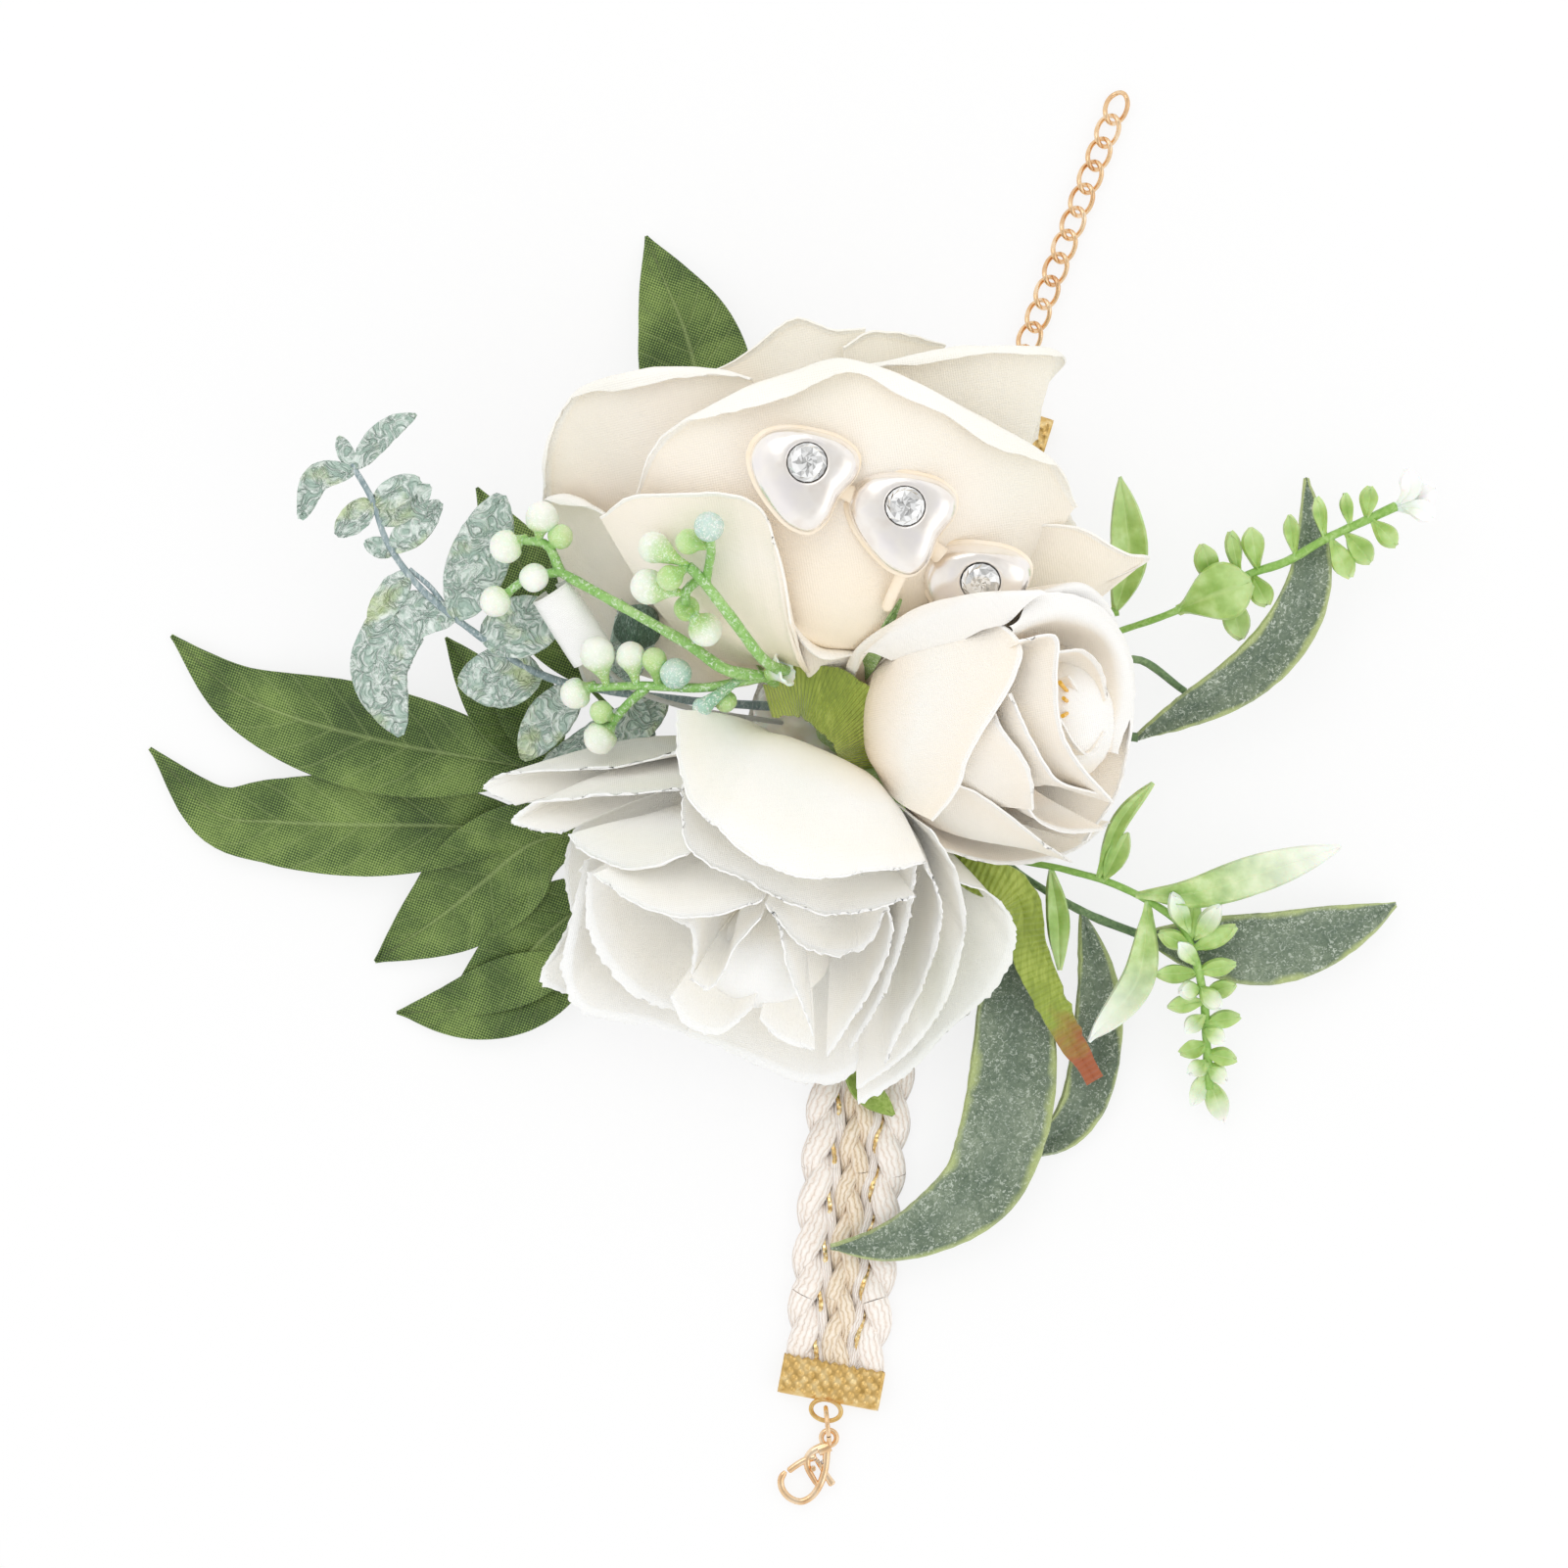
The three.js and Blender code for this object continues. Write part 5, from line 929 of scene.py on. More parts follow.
# Calyxes: each rose sits in a green moulded cup with felt-like sepals and folded strips of olive
# sateen around it, pushed on its wire and glued into the mound.
#
# Each stem is a list of places, and each leaf is its width in picture pixels and the places along
# its midrib. A place is a pixel across and down the picture, and a share of the bunch's height.
LARGE_CALYX = {
    "stems": [
        [(850, 700, 0.26), (856, 718, 0.18), (860, 732, 0.14)],
    ],
    "leaves": [
        (20, [(856, 700, 0.26), (880, 684, 0.56), (900, 652, 0.78), (920, 612, 0.88)]),
        (30, [(848, 700, 0.24), (800, 690, 0.26), (765, 660, 0.3)]),
    ],
}
WHITE_CALYX = {
    "stems": [
        [(852, 758, 0.24), (858, 750, 0.18), (862, 744, 0.14)],
    ],
    "leaves": [
        (46, [(862, 764, 0.3), (892, 792, 0.46), (888, 756, 0.56), (862, 724, 0.6), (824, 706, 0.58),
            (784, 716, 0.5)]),
    ],
}
SMALL_CALYX = {
    "stems": [
        [(882, 745, 0.3), (876, 744, 0.22), (870, 742, 0.15)],
    ],
    "leaves": [
        (30, [(884, 752, 0.3), (886, 775, 0.46), (905, 805, 0.56), (924, 828, 0.58)]),
        (26, [(880, 742, 0.3), (872, 715, 0.42), (880, 690, 0.5)]),
        (26, [(884, 752, 0.28), (925, 830, 0.27), (980, 881, 0.3), (1037, 913, 0.28), (1052, 975, 0.22),
            (1084, 1045, 0.18), (1118, 1103, 0.13)]),
    ],
}


FINE_STEPS = 160


def line_of(points, steps):
    """Places at even steps along the smooth line through some pixels and height shares."""
    points = [place(*p) for p in points]
    fine = [through(points, i / FINE_STEPS) for i in range(FINE_STEPS + 1)]
    runs = [0]
    for a, b in zip(fine, fine[1:]):
        runs.append(runs[-1] + (b - a).length)
    found, k = [], 0
    for i in range(steps + 1):
        goal = runs[-1] * i / steps
        while k < FINE_STEPS - 1 and runs[k + 1] < goal:
            k += 1
        found.append(fine[k].lerp(fine[k + 1], (goal - runs[k]) / max(runs[k + 1] - runs[k], 1e-9)))
    return found


def length_of(points):
    """How long a row of places is."""
    return sum((place(*b) - place(*a)).length for a, b in zip(points, points[1:]))


def leaf_piece(name, width, rib, finish, thick, keel, wave, taper, power, tip, crinkle=0.0, pitch=1.2,
               notched=0.12):
    """A leaf: its edges stand above its midrib, wave a little, and narrow to a point.
    keel lifts its edges, taper moves its widest place, power fills its outline out, tip is how blunt
    it ends, crinkle creases it, pitch is the size of its mesh in mm, and notched roughens its edge."""
    length = length_of(rib)
    along = max(10, min(64, round(length / (pitch * MM))))
    across = max(6, min(24, round(width * PIXEL / (pitch * 0.75 * MM)) // 2 * 2))
    line = line_of(rib, along)
    seed = width * 7.7 + rib[0][0] * 0.13

    def at(u, v):
        i = round(v * along)
        run = (line[min(i + 1, along)] - line[max(i - 1, 0)]).normalized()
        side = run.cross(UP).normalized()
        half = width * PIXEL / 2 * max(tip, math.sin(math.pi * min(1, v ** taper)) ** power)
        aside = (u - 0.5) * 2
        ripple = noise.noise(Vector((aside * 1.3 + seed, v * length / (9 * MM), seed))) * wave * abs(aside)
        creased = noise.noise(Vector((aside * half / (1.5 * MM), v * length / (1.5 * MM), seed))) * crinkle
        on_edge = abs(aside) > 0.99
        notch = noise.noise(Vector((seed, aside * 9, v * length / (1.1 * MM)))) * notched * on_edge
        lift = keel * half * abs(aside) ** 1.5
        dip = 0.18 * math.exp(-(aside * 7) ** 2) * min(1, half / (2 * MM))
        return line[i] + side * (half * aside + notch * MM) + UP * (lift + (ripple + creased - dip) * MM)

    leaf = edited(grid_piece(name, across, along, at), outward)
    if leaf.data.polygons[len(leaf.data.polygons) // 2].normal.z < 0:
        edited(leaf, lambda: bpy.ops.mesh.flip_normals())
    thicker(leaf, thick * MM, 0)
    leaf.data.materials.append(finish)
    return leaf


def stem_piece(name, points, thick, finish, sides=8):
    """A moulded stem, a little uneven, thinning from one end to the other."""
    length = length_of(points)
    steps = max(6, min(60, round(length / (1.2 * MM))))
    line = line_of(points, steps)
    seed = points[0][0] * 0.37 + points[-1][1]

    def radius(share):
        knob = 1 + 0.16 * noise.noise(Vector((share * length / (2.5 * MM), seed, 0)))
        return (thick[0] + (thick[1] - thick[0]) * share) / 2 * MM * knob

    stem = cord_piece(name, line, radius, sides)
    stem.data.materials.append(finish)
    return stem


def cup_piece(name, middle, axis, radius, finish, dent=0.08):
    """A cup or bud with a few soft lobes, its pole along an axis."""
    turned = axis.to_track_quat("Z", "Y").to_matrix()

    def at(u, v):
        rise = math.pi * (v - 0.5)
        lobes = 1 + dent * math.cos(10 * math.pi * u) * math.cos(rise)
        spoke = Vector((math.cos(2 * math.pi * u), math.sin(2 * math.pi * u), 0)) * math.cos(rise) * lobes
        return middle + turned @ ((spoke + UP * math.sin(rise)) * radius)

    cup = edited(grid_piece(name, 30, 14, at), welded, outward)
    cup.data.materials.append(finish)
    return cup


def leaf_finish(name, deep, middle, light, rough, size, relief, streak=(1, 1, 1), frost=None, **sockets):
    """Moulded or woven green: blotched, with a relief of its own size, and frosted where asked."""
    finish, tree, shader = new_finish(name, rough, **sockets)
    spot = spot_on(tree)
    blotch = sums(tree, "MULTIPLY", grain(tree, spot, 110, 3), 0.5)
    tone = sums(tree, "MULTIPLY_ADD", grain(tree, spot, size, 4, streak, 1.0), 0.5, blotch)
    tint = shades(tree, tone, (0.32, deep), (0.5, middle), (0.66, light))
    if frost:
        flecks = grain(tree, spot, size * 1.6, 5, streak, 1.5)
        flecks = shades(tree, flecks, (0.54, "000000"), (0.64, "FFFFFF"))
        tint = mixed(tree, sums(tree, "MULTIPLY", flecks, frost[1]), tint, colour(frost[0]))
    tinted(tree, shader, tint)
    raised(tree, shader, grain(tree, spot, size, 5, streak, 1.0), relief)
    return finish


def shader_of(finish):
    """The tree of a finish, its shader and the colour wired to it so far."""
    shader = finish.node_tree.nodes["Principled BSDF"]
    return finish.node_tree, shader, shader.inputs["Base Color"].links[0].from_socket


def olive_sateen(name, tip):
    """Olive sateen, ribbed across, whose tip is dyed."""
    finish = leaf_finish(name, "7D9030", "97AA3C", "B6C55A", 0.5, 1400, 0.00008, (1, 0.15, 1),
                         Sheen_Weight=0.4)
    tree, shader, dyed = shader_of(finish)
    run = ways_on(tree)[1]
    climb = sums(tree, "MULTIPLY_ADD", grain(tree, spot_on(tree), 300), 0.2, sums(tree, "SUBTRACT", run, 0.1))
    tinted(tree, shader, mixed(tree, ranged(tree, climb, 0.8, 0.93), dyed, colour(tip)))
    raised(tree, shader, sums(tree, "SINE", sums(tree, "MULTIPLY", run, 420)), 0.0001)
    return finish


green_tip = olive_sateen("olive_sateen", "B9C65A")
brown_tip = olive_sateen("browned_sateen", "A85A30")
cup_green = leaf_finish("calyx_green", "6E9150", "96B46C", "BFD29A", 0.6, 1500, 0.00015,
                        frost=("EEF3E2", 0.5))
CUP = {"radius": 3.5, "behind": 3.4, "stem": 1.4}
SEPAL = {"thick": 0.3, "keel": 0.3, "wave": 0.8, "taper": 0.8, "power": 0.8, "tip": 0.05, "crinkle": 0.3,
         "pitch": 0.9}
STRIP = {"thick": 0.3, "keel": 0.3, "wave": 0.9, "taper": 0.8, "power": 0.3, "tip": 0.5, "crinkle": 0.2,
         "pitch": 0.9, "notched": 0.5}
# A calyx leaf with more places than this along its midrib is a strip of sateen.
LONGEST_SEPAL = 5
for rose_name, calyx, root, heart, strip_finish in (
        ("large_rose", LARGE_CALYX, (850, 690, 0.28), (838, 400, 0.54), green_tip),
        ("white_rose", WHITE_CALYX, (850, 760, 0.28), (778, 950, 0.66), green_tip),
        ("small_rose", SMALL_CALYX, (885, 745, 0.34), (1098, 716, 0.7), brown_tip)):
    axis = (place(*heart) - place(*root)).normalized()
    name = f"{rose_name}_cup"
    parts = [cup_piece(name, place(*root) - axis * CUP["behind"] * MM, axis, CUP["radius"] * MM, cup_green)]
    parts += [stem_piece(name, points, (CUP["stem"], CUP["stem"]), cup_green) for points in calyx["stems"]]
    for width, rib in calyx["leaves"]:
        if len(rib) > LONGEST_SEPAL:
            parts.append(leaf_piece(name, width * 1.5, rib, strip_finish, **STRIP))
        else:
            parts.append(leaf_piece(name, width, rib, cup_green, **SEPAL))
    piece = joined(name, parts)
    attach(piece, "bunch")
    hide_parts(f"{rose_name}_calyx")

# Large rose: petals die-cut from stiffened cream cloth, heat-curled at their lips and glued in four
# rings round a bud. Their lips are pale and rolled back, and painted warm shade darkens them towards
# the root and under each lip.
#
# A rose grows from its root to its heart, round a core with a radius in mm. Each ring of petals
# starts at a share of that way. A petal is the places along its lip, how far it swells out as a
# share of its length, and how much of its lip is turned back, in mm, or forward where it is negative.
LARGE_ROSE = {
    "root": (850, 690, 0.28), "heart": (838, 400, 0.54), "core": (850, 450, 0.5, 14),
    "layers": [
        ("bud", 0.66, [
            ([(775, 372, 0.62), (810, 350, 0.72), (850, 352, 0.74), (880, 362, 0.68)], 0.2, 1.2),
            ([(868, 372, 0.66), (900, 362, 0.62), (925, 372, 0.52)], 0.2, 1.2),
            ([(800, 372, 0.48), (850, 362, 0.44), (900, 372, 0.48)], 0.12, 1),
        ]),
        ("inner_petals", 0.5, [
            ([(722, 382, 0.62), (768, 358, 0.76), (813, 329, 0.78), (850, 338, 0.8), (884, 336, 0.78)],
                0.22, 1.5),
            ([(862, 356, 0.84), (890, 342, 0.8), (930, 346, 0.76), (966, 352, 0.66)], 0.22, 1.5),
            ([(735, 385, 0.5), (790, 355, 0.38), (860, 345, 0.34), (930, 362, 0.42)], 0.1, 1.5),
        ]),
        ("middle_petals", 0.3, [
            ([(880, 374, 0.9), (950, 361, 0.88), (1020, 356, 0.82), (1078, 363, 0.72), (1066, 400, 0.6),
                (1060, 450, 0.5)], 0.2, (2.4, 3.2, 3.4, 3.0, 1.0, 0.6)),
            ([(560, 505, 0.4), (564, 458, 0.5), (592, 400, 0.6), (650, 380, 0.74), (712, 375, 0.84),
                (768, 384, 0.9)], 0.2, (2.6, 3.4, 3.2, 4.2, 3.6, 1.6)),
            ([(640, 430, 0.36), (710, 385, 0.3), (800, 362, 0.28), (880, 362, 0.28)], 0.06, 1.5),
            ([(900, 365, 0.28), (980, 372, 0.3), (1050, 410, 0.42)], 0.06, 1.5),
        ]),
        ("outer_petals", 0.08, [
            ([(650, 505, 0.76), (672, 456, 0.88), (720, 420, 0.96), (800, 386, 1.02), (868, 371, 1.06),
                (940, 396, 1.04), (1020, 440, 0.94), (1068, 470, 0.82), (1100, 520, 0.68)],
                (0.16, 0.26, 0.27, 0.26, 0.16), (0.8, 1.4, 2.6, 4.6, 5.4, 3.8, 6.4, 6, 4.6, 2, 0.8)),
            ([(1060, 536, 0.68), (1102, 542, 0.66), (1150, 566, 0.56), (1172, 571, 0.5), (1125, 596, 0.5)],
                0.2, 1.5),
            ([(612, 530, 0.68), (640, 511, 0.82), (690, 505, 0.93), (740, 508, 1.0), (778, 522, 1.04),
                (790, 556, 1.02), (800, 596, 0.95), (806, 636, 0.86)], (0.2, 0.22, 0.22, 0.18), 0.9),
            ([(600, 704, 0.22), (580, 640, 0.28), (568, 575, 0.36), (560, 512, 0.44), (588, 510, 0.52),
                (620, 528, 0.58)], 0.2, (0.6, 0.8, 1, 2, 2.4, 1)),
            ([(803, 612, 0.8), (815, 645, 0.74), (840, 666, 0.68), (882, 668, 0.66)], 0.3, 2.5),
            ([(575, 530, 0.34), (620, 470, 0.26), (700, 420, 0.2), (790, 395, 0.18)], 0.06, 1.2),
            ([(880, 395, 0.18), (980, 420, 0.2), (1060, 480, 0.3), (1100, 540, 0.42)], 0.06, 1.2),
        ]),
    ],
}


def along_lip(sizes, share, falls):
    """A size at a place on a lip: from sizes at even steps along it, or one that falls off at both ends."""
    if not isinstance(sizes, tuple):
        return sizes * (1 - falls * abs(2 * share - 1) ** 2.5)
    i = min(int(share * (len(sizes) - 1)), len(sizes) - 2)
    return sizes[i] + (sizes[i + 1] - sizes[i]) * smooth(share * (len(sizes) - 1) - i)


PETAL_ROWS = 14
PETAL_FOOT = 2.6 * MM


def petal_piece(name, rose, lift, cut, style, finish):
    """A petal of stiffened cloth: it leaves the bud, bellies out and ends in a lip that rolls back."""
    lip, swell, turned = cut
    points = [place(*p) for p in lip]
    length = sum((b - a).length for a, b in zip(points, points[1:]))
    across = max(12, min(style["columns"], round(length / (style["pitch"] * MM))))
    along = PETAL_ROWS + style["roll_rows"]
    root = place(*rose["root"])
    axis = place(*rose["heart"]) - root
    origin = root + axis * lift
    axis.normalize()
    bend = style["bend"] * MM
    most = math.radians(style["roll"])
    seed = lip[0][0] * 0.71 + lip[-1][1] * 0.37

    def at(u, v):
        lip_point = through(points, u)
        aside = lip_point - origin
        aside = (aside - axis * aside.dot(axis)).normalized()
        start = origin + aside * PETAL_FOOT
        grow = lip_point - start
        reach = grow.length
        grow.normalize()
        out = (aside - grow * aside.dot(grow)).normalized()
        width = along_lip(turned, u, 0.6) * MM
        inward = -1 if width < 0 else 1
        uneven = noise.noise(Vector((u * length / (12 * MM), 2, seed)))
        width = abs(width) * (1 + 0.3 * uneven)
        brow = lip_point - grow * bend * math.sin(min(math.pi / 2, width / bend))
        row = round(v * along)
        share = min(1, row / PETAL_ROWS)
        full = along_lip(swell, u, 0.45)
        here = start.lerp(brow, share) + out * full * reach * math.sin(math.pi * share ** 0.8)
        lean = math.pi * 0.8 * full
        tip = (grow - out * lean).normalized()
        back = (out + grow * lean).normalized() * inward
        face = out
        if row > PETAL_ROWS:
            walk = (row - PETAL_ROWS) / style["roll_rows"] * width
            turn = min(most, walk / bend)
            past = walk - bend * turn
            here = here + tip * (bend * math.sin(turn) + past * math.cos(turn))
            here = here + back * (bend * (1 - math.cos(turn)) + past * math.sin(turn))
            face = out * math.cos(turn) - grow * math.sin(turn)
        edge = 0.25 * share + 0.75 * share ** 3
        wave = noise.noise(Vector((u * length / (9 * MM), share * 2, seed)))
        fold = noise.noise(Vector((u * length / (3 * MM), share * 0.8, seed + 5)))
        here = here + face * (wave * style["wave"] + fold * style["crease"]) * MM * edge
        if row == along:
            fine = noise.noise(Vector((u * length / (0.45 * MM), seed, 9)))
            coarse = noise.noise(Vector((u * length / (2 * MM), seed, 3)))
            here = here + grow * style["fray"] * MM * (fine + 0.6 * coarse)
        return here

    petal = edited(grid_piece(name, across, along, at), outward)
    middle = petal.data.polygons[(PETAL_ROWS - 3) * across + across // 2]
    if middle.normal.dot(middle.center - origin - axis * axis.dot(middle.center - origin)) < 0:
        edited(petal, lambda: bpy.ops.mesh.flip_normals())
    thicker(petal, style["thick"] * MM, -1)
    petal.data.materials.append(finish)
    return petal


def woven(tree, spot, pitch, lean):
    """The weave of a cloth whose threads cross at right angles, from -1 to 1."""
    threads = []
    for turn in (lean, lean + 90):
        slant = node(tree, "ShaderNodeMapping", {"Vector": spot, "Rotation": (0, 0, math.radians(turn))})
        across = node(tree, "ShaderNodeSeparateXYZ", {"Vector": slant.outputs[0]}).outputs[0]
        threads.append(sums(tree, "SINE", sums(tree, "MULTIPLY", across, 2 * math.pi / pitch)))
    return sums(tree, "MULTIPLY", *threads)


def petal_finish(name, deep, under, face, lip, pitch, tint=None):
    """Petal cloth: fine woven, faintly creased and sheer, with painted warm shade towards its root and under
    its lip.
    """
    finish, tree, shader = new_finish(name, 0.75, Sheen_Weight=0.15, Sheen_Roughness=0.4,
                                      Subsurface_Weight=0.1, Subsurface_Scale=0.002,
                                      Subsurface_Radius=(1, 0.85, 0.65))
    spot = spot_on(tree)
    # The deep colour is painted warm shade towards the root, and the under colour is painted shade just under
    # the lip.
    climb = sums(tree, "SUBTRACT", ways_on(tree)[1], 0.08)
    drift = sums(tree, "MULTIPLY_ADD", grain(tree, spot, 70, 3), 0.16, climb)
    tone = shades(tree, drift, (0.12, deep), (0.42, face), (0.62, under), (0.76, lip))
    if tint:
        patch = shades(tree, grain(tree, spot, 22, 2), (0.5, "000000"), (0.62, "FFFFFF"))
        tone = mixed(tree, sums(tree, "MULTIPLY", patch, 0.5), tone, colour(tint))
    tinted(tree, shader, tone)
    cloth = raised(tree, shader, woven(tree, spot, pitch, 35), 0.00002)
    pleats = grain(tree, node(tree, "ShaderNodeTexCoord").outputs["UV"], 16, 4, (1, 0.12, 1), 0.6)
    cloth = raised(tree, shader, pleats, 0.0003, 0.5, under=cloth)
    raised(tree, shader, grain(tree, spot, 240, 4, None, 1.5), 0.0003, 0.4, under=cloth)
    return finish


RING_CUP = 3.9 * MM


def rose_pieces(rose_name, rose, style, finish):
    """The rings of a rose, each a piece of its own: its petals and the lobed cup that they are glued to."""
    root = place(*rose["root"])
    axis = place(*rose["heart"]) - root
    for layer, lift, petals in rose["layers"]:
        name = f"{rose_name}_{layer}_cloth"
        parts = [cup_piece(name, root + axis * lift, axis.normalized(), RING_CUP, finish)]
        if layer == "bud":
            *middle, radius = rose["core"]
            parts.append(cup_piece(name, place(*middle), axis.normalized(), radius * MM, finish, 0.1))
        parts += [petal_piece(name, rose, lift, petal, style, finish) for petal in petals]
        piece = joined(name, parts)
        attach(piece, "bunch")
        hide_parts(f"{rose_name}_{layer}")


# Of these colours, the first is painted warm shade at the root and the second painted shade under the lip.
cream_petal = petal_finish("cream_petal", "FBEBD1", "FCF2E1", "FCF4E8", "FCF9F2", 0.0005, "F1EFE2")
# How a rose's petals are made: their most columns and the size of their mesh, how far their lip rolls
# in degrees, in how many rows and round what radius, how much they wave, crease and fray, and their
# thickness. Sizes are in mm.
LARGE_STYLE = {"columns": 96, "pitch": 0.9, "roll": 168, "roll_rows": 12, "bend": 1.1, "wave": 0.7,
               "crease": 0.15, "fray": 0.2, "thick": 0.32}
rose_pieces("large_rose", LARGE_ROSE, LARGE_STYLE, cream_petal)

# White rose: thinner white cloth, die-cut with frayed edges, in four rings that open round a tight
# bud. It lies on its side at the front of the bunch.
WHITE_ROSE = {
    "root": (850, 760, 0.28), "heart": (778, 950, 0.66), "core": (776, 960, 0.4, 10),
    "layers": [
        ("bud", 0.74, [
            ([(704, 1000, 0.66), (722, 1010, 0.66), (750, 972, 0.72), (776, 936, 0.78)], 0.1, 0.8),
            ([(786, 928, 0.8), (806, 985, 0.72), (832, 1058, 0.56)], 0.1, 0.8),
            ([(676, 932, 0.76), (705, 950, 0.72), (706, 995, 0.64)], 0.12, 0.8),
        ]),
        ("inner_petals", 0.64, [
            ([(684, 1018, 0.56), (700, 1045, 0.52), (735, 1054, 0.5), (768, 1030, 0.54)], 0.15, 1.2),
            ([(782, 922, 0.84), (815, 955, 0.78), (850, 972, 0.72), (884, 966, 0.72), (906, 925, 0.78)],
                0.15, 1),
            ([(606, 892, 0.74), (640, 916, 0.8), (690, 935, 0.84), (740, 930, 0.86), (778, 918, 0.86)],
                0.2, 1.2),
            ([(775, 1040, 0.48), (800, 1062, 0.44), (832, 1072, 0.42)], 0.12, 0.8),
        ]),
        ("middle_petals", 0.48, [
            ([(600, 890, 0.6), (600, 940, 0.54), (622, 985, 0.46), (660, 1018, 0.4), (700, 1034, 0.38)],
                0.2, 1.5),
            ([(906, 924, 0.8), (912, 950, 0.72), (896, 1000, 0.6), (865, 1050, 0.48), (846, 1078, 0.42)],
                0.18, 1),
            ([(936, 884, 0.8), (926, 950, 0.66), (900, 1020, 0.5), (870, 1070, 0.38)], 0.18, 1),
            ([(696, 800, 0.8), (704, 862, 0.9), (748, 892, 0.92), (792, 914, 0.92), (842, 932, 0.9),
                (890, 928, 0.88), (936, 914, 0.8)], 0.22, 1.2),
            ([(580, 852, 0.6), (600, 872, 0.68), (645, 886, 0.78), (700, 874, 0.86)], 0.2, 1.5),
        ]),
        ("outer_petals", 0.2, [
            ([(586, 940, 0.3), (577, 882, 0.32), (592, 840, 0.34), (640, 810, 0.36), (704, 786, 0.38)],
                0.08, 0.8),
            ([(597, 880, 0.5), (586, 940, 0.42), (578, 1000, 0.34), (596, 1032, 0.3), (648, 1042, 0.28),
                (700, 1056, 0.26)], 0.14, 2),
            ([(700, 1056, 0.26), (765, 1082, 0.22), (820, 1103, 0.2), (858, 1100, 0.2), (888, 1078, 0.19)],
                0.12, 2),
            ([(946, 880, 0.74), (962, 935, 0.6), (945, 1000, 0.46), (918, 1056, 0.34), (905, 1086, 0.28)],
                0.2, 1),
            ([(950, 846, 0.72), (975, 885, 0.6), (986, 935, 0.5), (978, 985, 0.4), (955, 1040, 0.3),
                (915, 1085, 0.24), (875, 1112, 0.2)], 0.13, 1),
            ([(692, 724, 0.7), (694, 780, 0.86), (716, 828, 0.98), (748, 858, 1.04), (792, 886, 1.06),
                (838, 894, 1.04), (900, 888, 0.96), (946, 880, 0.84)], 0.24, 1.2),
            ([(700, 806, 0.66), (600, 813, 0.54), (543, 820, 0.46), (523, 837, 0.42), (546, 848, 0.46),
                (578, 851, 0.5)], 0.16, 0.8),
            ([(690, 768, 0.54), (620, 782, 0.46), (550, 788, 0.4), (510, 790, 0.36), (495, 803, 0.34),
                (526, 822, 0.36)], 0.16, 0.5),
            ([(978, 900, 0.44), (1020, 920, 0.36), (1036, 955, 0.32), (1012, 1010, 0.26), (960, 1060, 0.2),
                (920, 1100, 0.16), (878, 1124, 0.15)], 0.12, 1.2),
            ([(588, 930, 0.3), (566, 972, 0.24), (553, 1000, 0.24), (582, 1014, 0.22)], 0.12, 1),
        ]),
    ],
}

# Of these colours, the first is painted warm shade at the root and the second painted shade under the lip.
white_petal = petal_finish("white_petal", "FAF1DA", "FBF8F0", "FAF9F5", "FBFBF9", 0.0004, "F0F2E8")
WHITE_STYLE = {"columns": 84, "pitch": 0.6, "roll": 75, "roll_rows": 6, "bend": 1.4, "wave": 0.8,
               "crease": 0.35, "fray": 0.6, "thick": 0.26}
rose_pieces("white_rose", WHITE_ROSE, WHITE_STYLE, white_petal)

# Small rose: ivory cloth petals, die-cut and heat-curled, in three rings round a half-open heart. The
# outermost at the back roll forward over the others.
SMALL_ROSE = {
    "root": (885, 745, 0.34), "heart": (1098, 716, 0.7), "core": (1066, 732, 0.54, 10.5),
    "layers": [
        ("bud", 0.72, [
            ([(1082, 735, 0.84), (1096, 762, 0.78), (1116, 772, 0.7), (1130, 748, 0.66)], 0.16, 0.8),
            ([(1080, 664, 0.84), (1106, 662, 0.76), (1126, 684, 0.68), (1132, 715, 0.66)], 0.16, 0.8),
            ([(1092, 690, 0.76), (1104, 712, 0.7), (1108, 740, 0.68)], 0.1, 0.5),
        ]),
        ("inner_petals", 0.55, [
            ([(1040, 655, 0.98), (1076, 650, 0.96), (1076, 696, 0.98), (1084, 748, 0.94),
                (1104, 786, 0.84), (1138, 820, 0.66)], 0.2, 1),
            ([(1030, 708, 0.97), (1050, 752, 0.96), (1078, 796, 0.84), (1133, 816, 0.64)], 0.2, 0.8),
            ([(1036, 642, 0.93), (1090, 628, 0.84), (1136, 652, 0.7), (1150, 710, 0.6), (1140, 770, 0.54)],
                0.2, (2, 5, 5, 4, 2.5, 1)),
            ([(1040, 776, 0.82), (1054, 834, 0.72), (1090, 852, 0.6), (1128, 848, 0.52)], 0.22, 1),
        ]),
        ("outer_petals", 0.08, [
            ([(948, 840, 0.76), (976, 806, 0.86), (986, 774, 0.92), (1014, 726, 0.98), (1036, 682, 0.99),
                (1040, 656, 0.95), (1022, 638, 0.9), (984, 632, 0.87), (945, 642, 0.84)], 0.24, 1),
            ([(1004, 694, 0.9), (1016, 738, 0.95), (1038, 768, 0.93), (1052, 794, 0.87),
                (1055, 828, 0.75)], 0.22, 0.8),
            ([(878, 664, 0.74), (905, 640, 0.86), (935, 617, 0.96), (990, 601, 1.02), (1062, 597, 0.92)],
                0.2, (-5.5, -9, -10, -9, -2.5)),
            ([(1060, 600, 0.84), (1106, 588, 0.74), (1142, 622, 0.62), (1162, 695, 0.54),
                (1160, 760, 0.52), (1142, 818, 0.48), (1110, 862, 0.46)],
                0.2, (-1.5, -5, -4.5, -3, -2.5, -1.5, -1)),
            ([(976, 802, 0.82), (1010, 822, 0.74), (1060, 860, 0.6), (1094, 882, 0.5)], 0.24, 0.8),
            ([(960, 868, 0.5), (1030, 884, 0.38), (1096, 870, 0.34), (1134, 840, 0.34)], 0.2, 0.8),
            ([(1140, 800, 0.3), (1150, 720, 0.24), (1120, 640, 0.3), (1050, 615, 0.4)], 0.2, 1),
        ]),
    ],
}
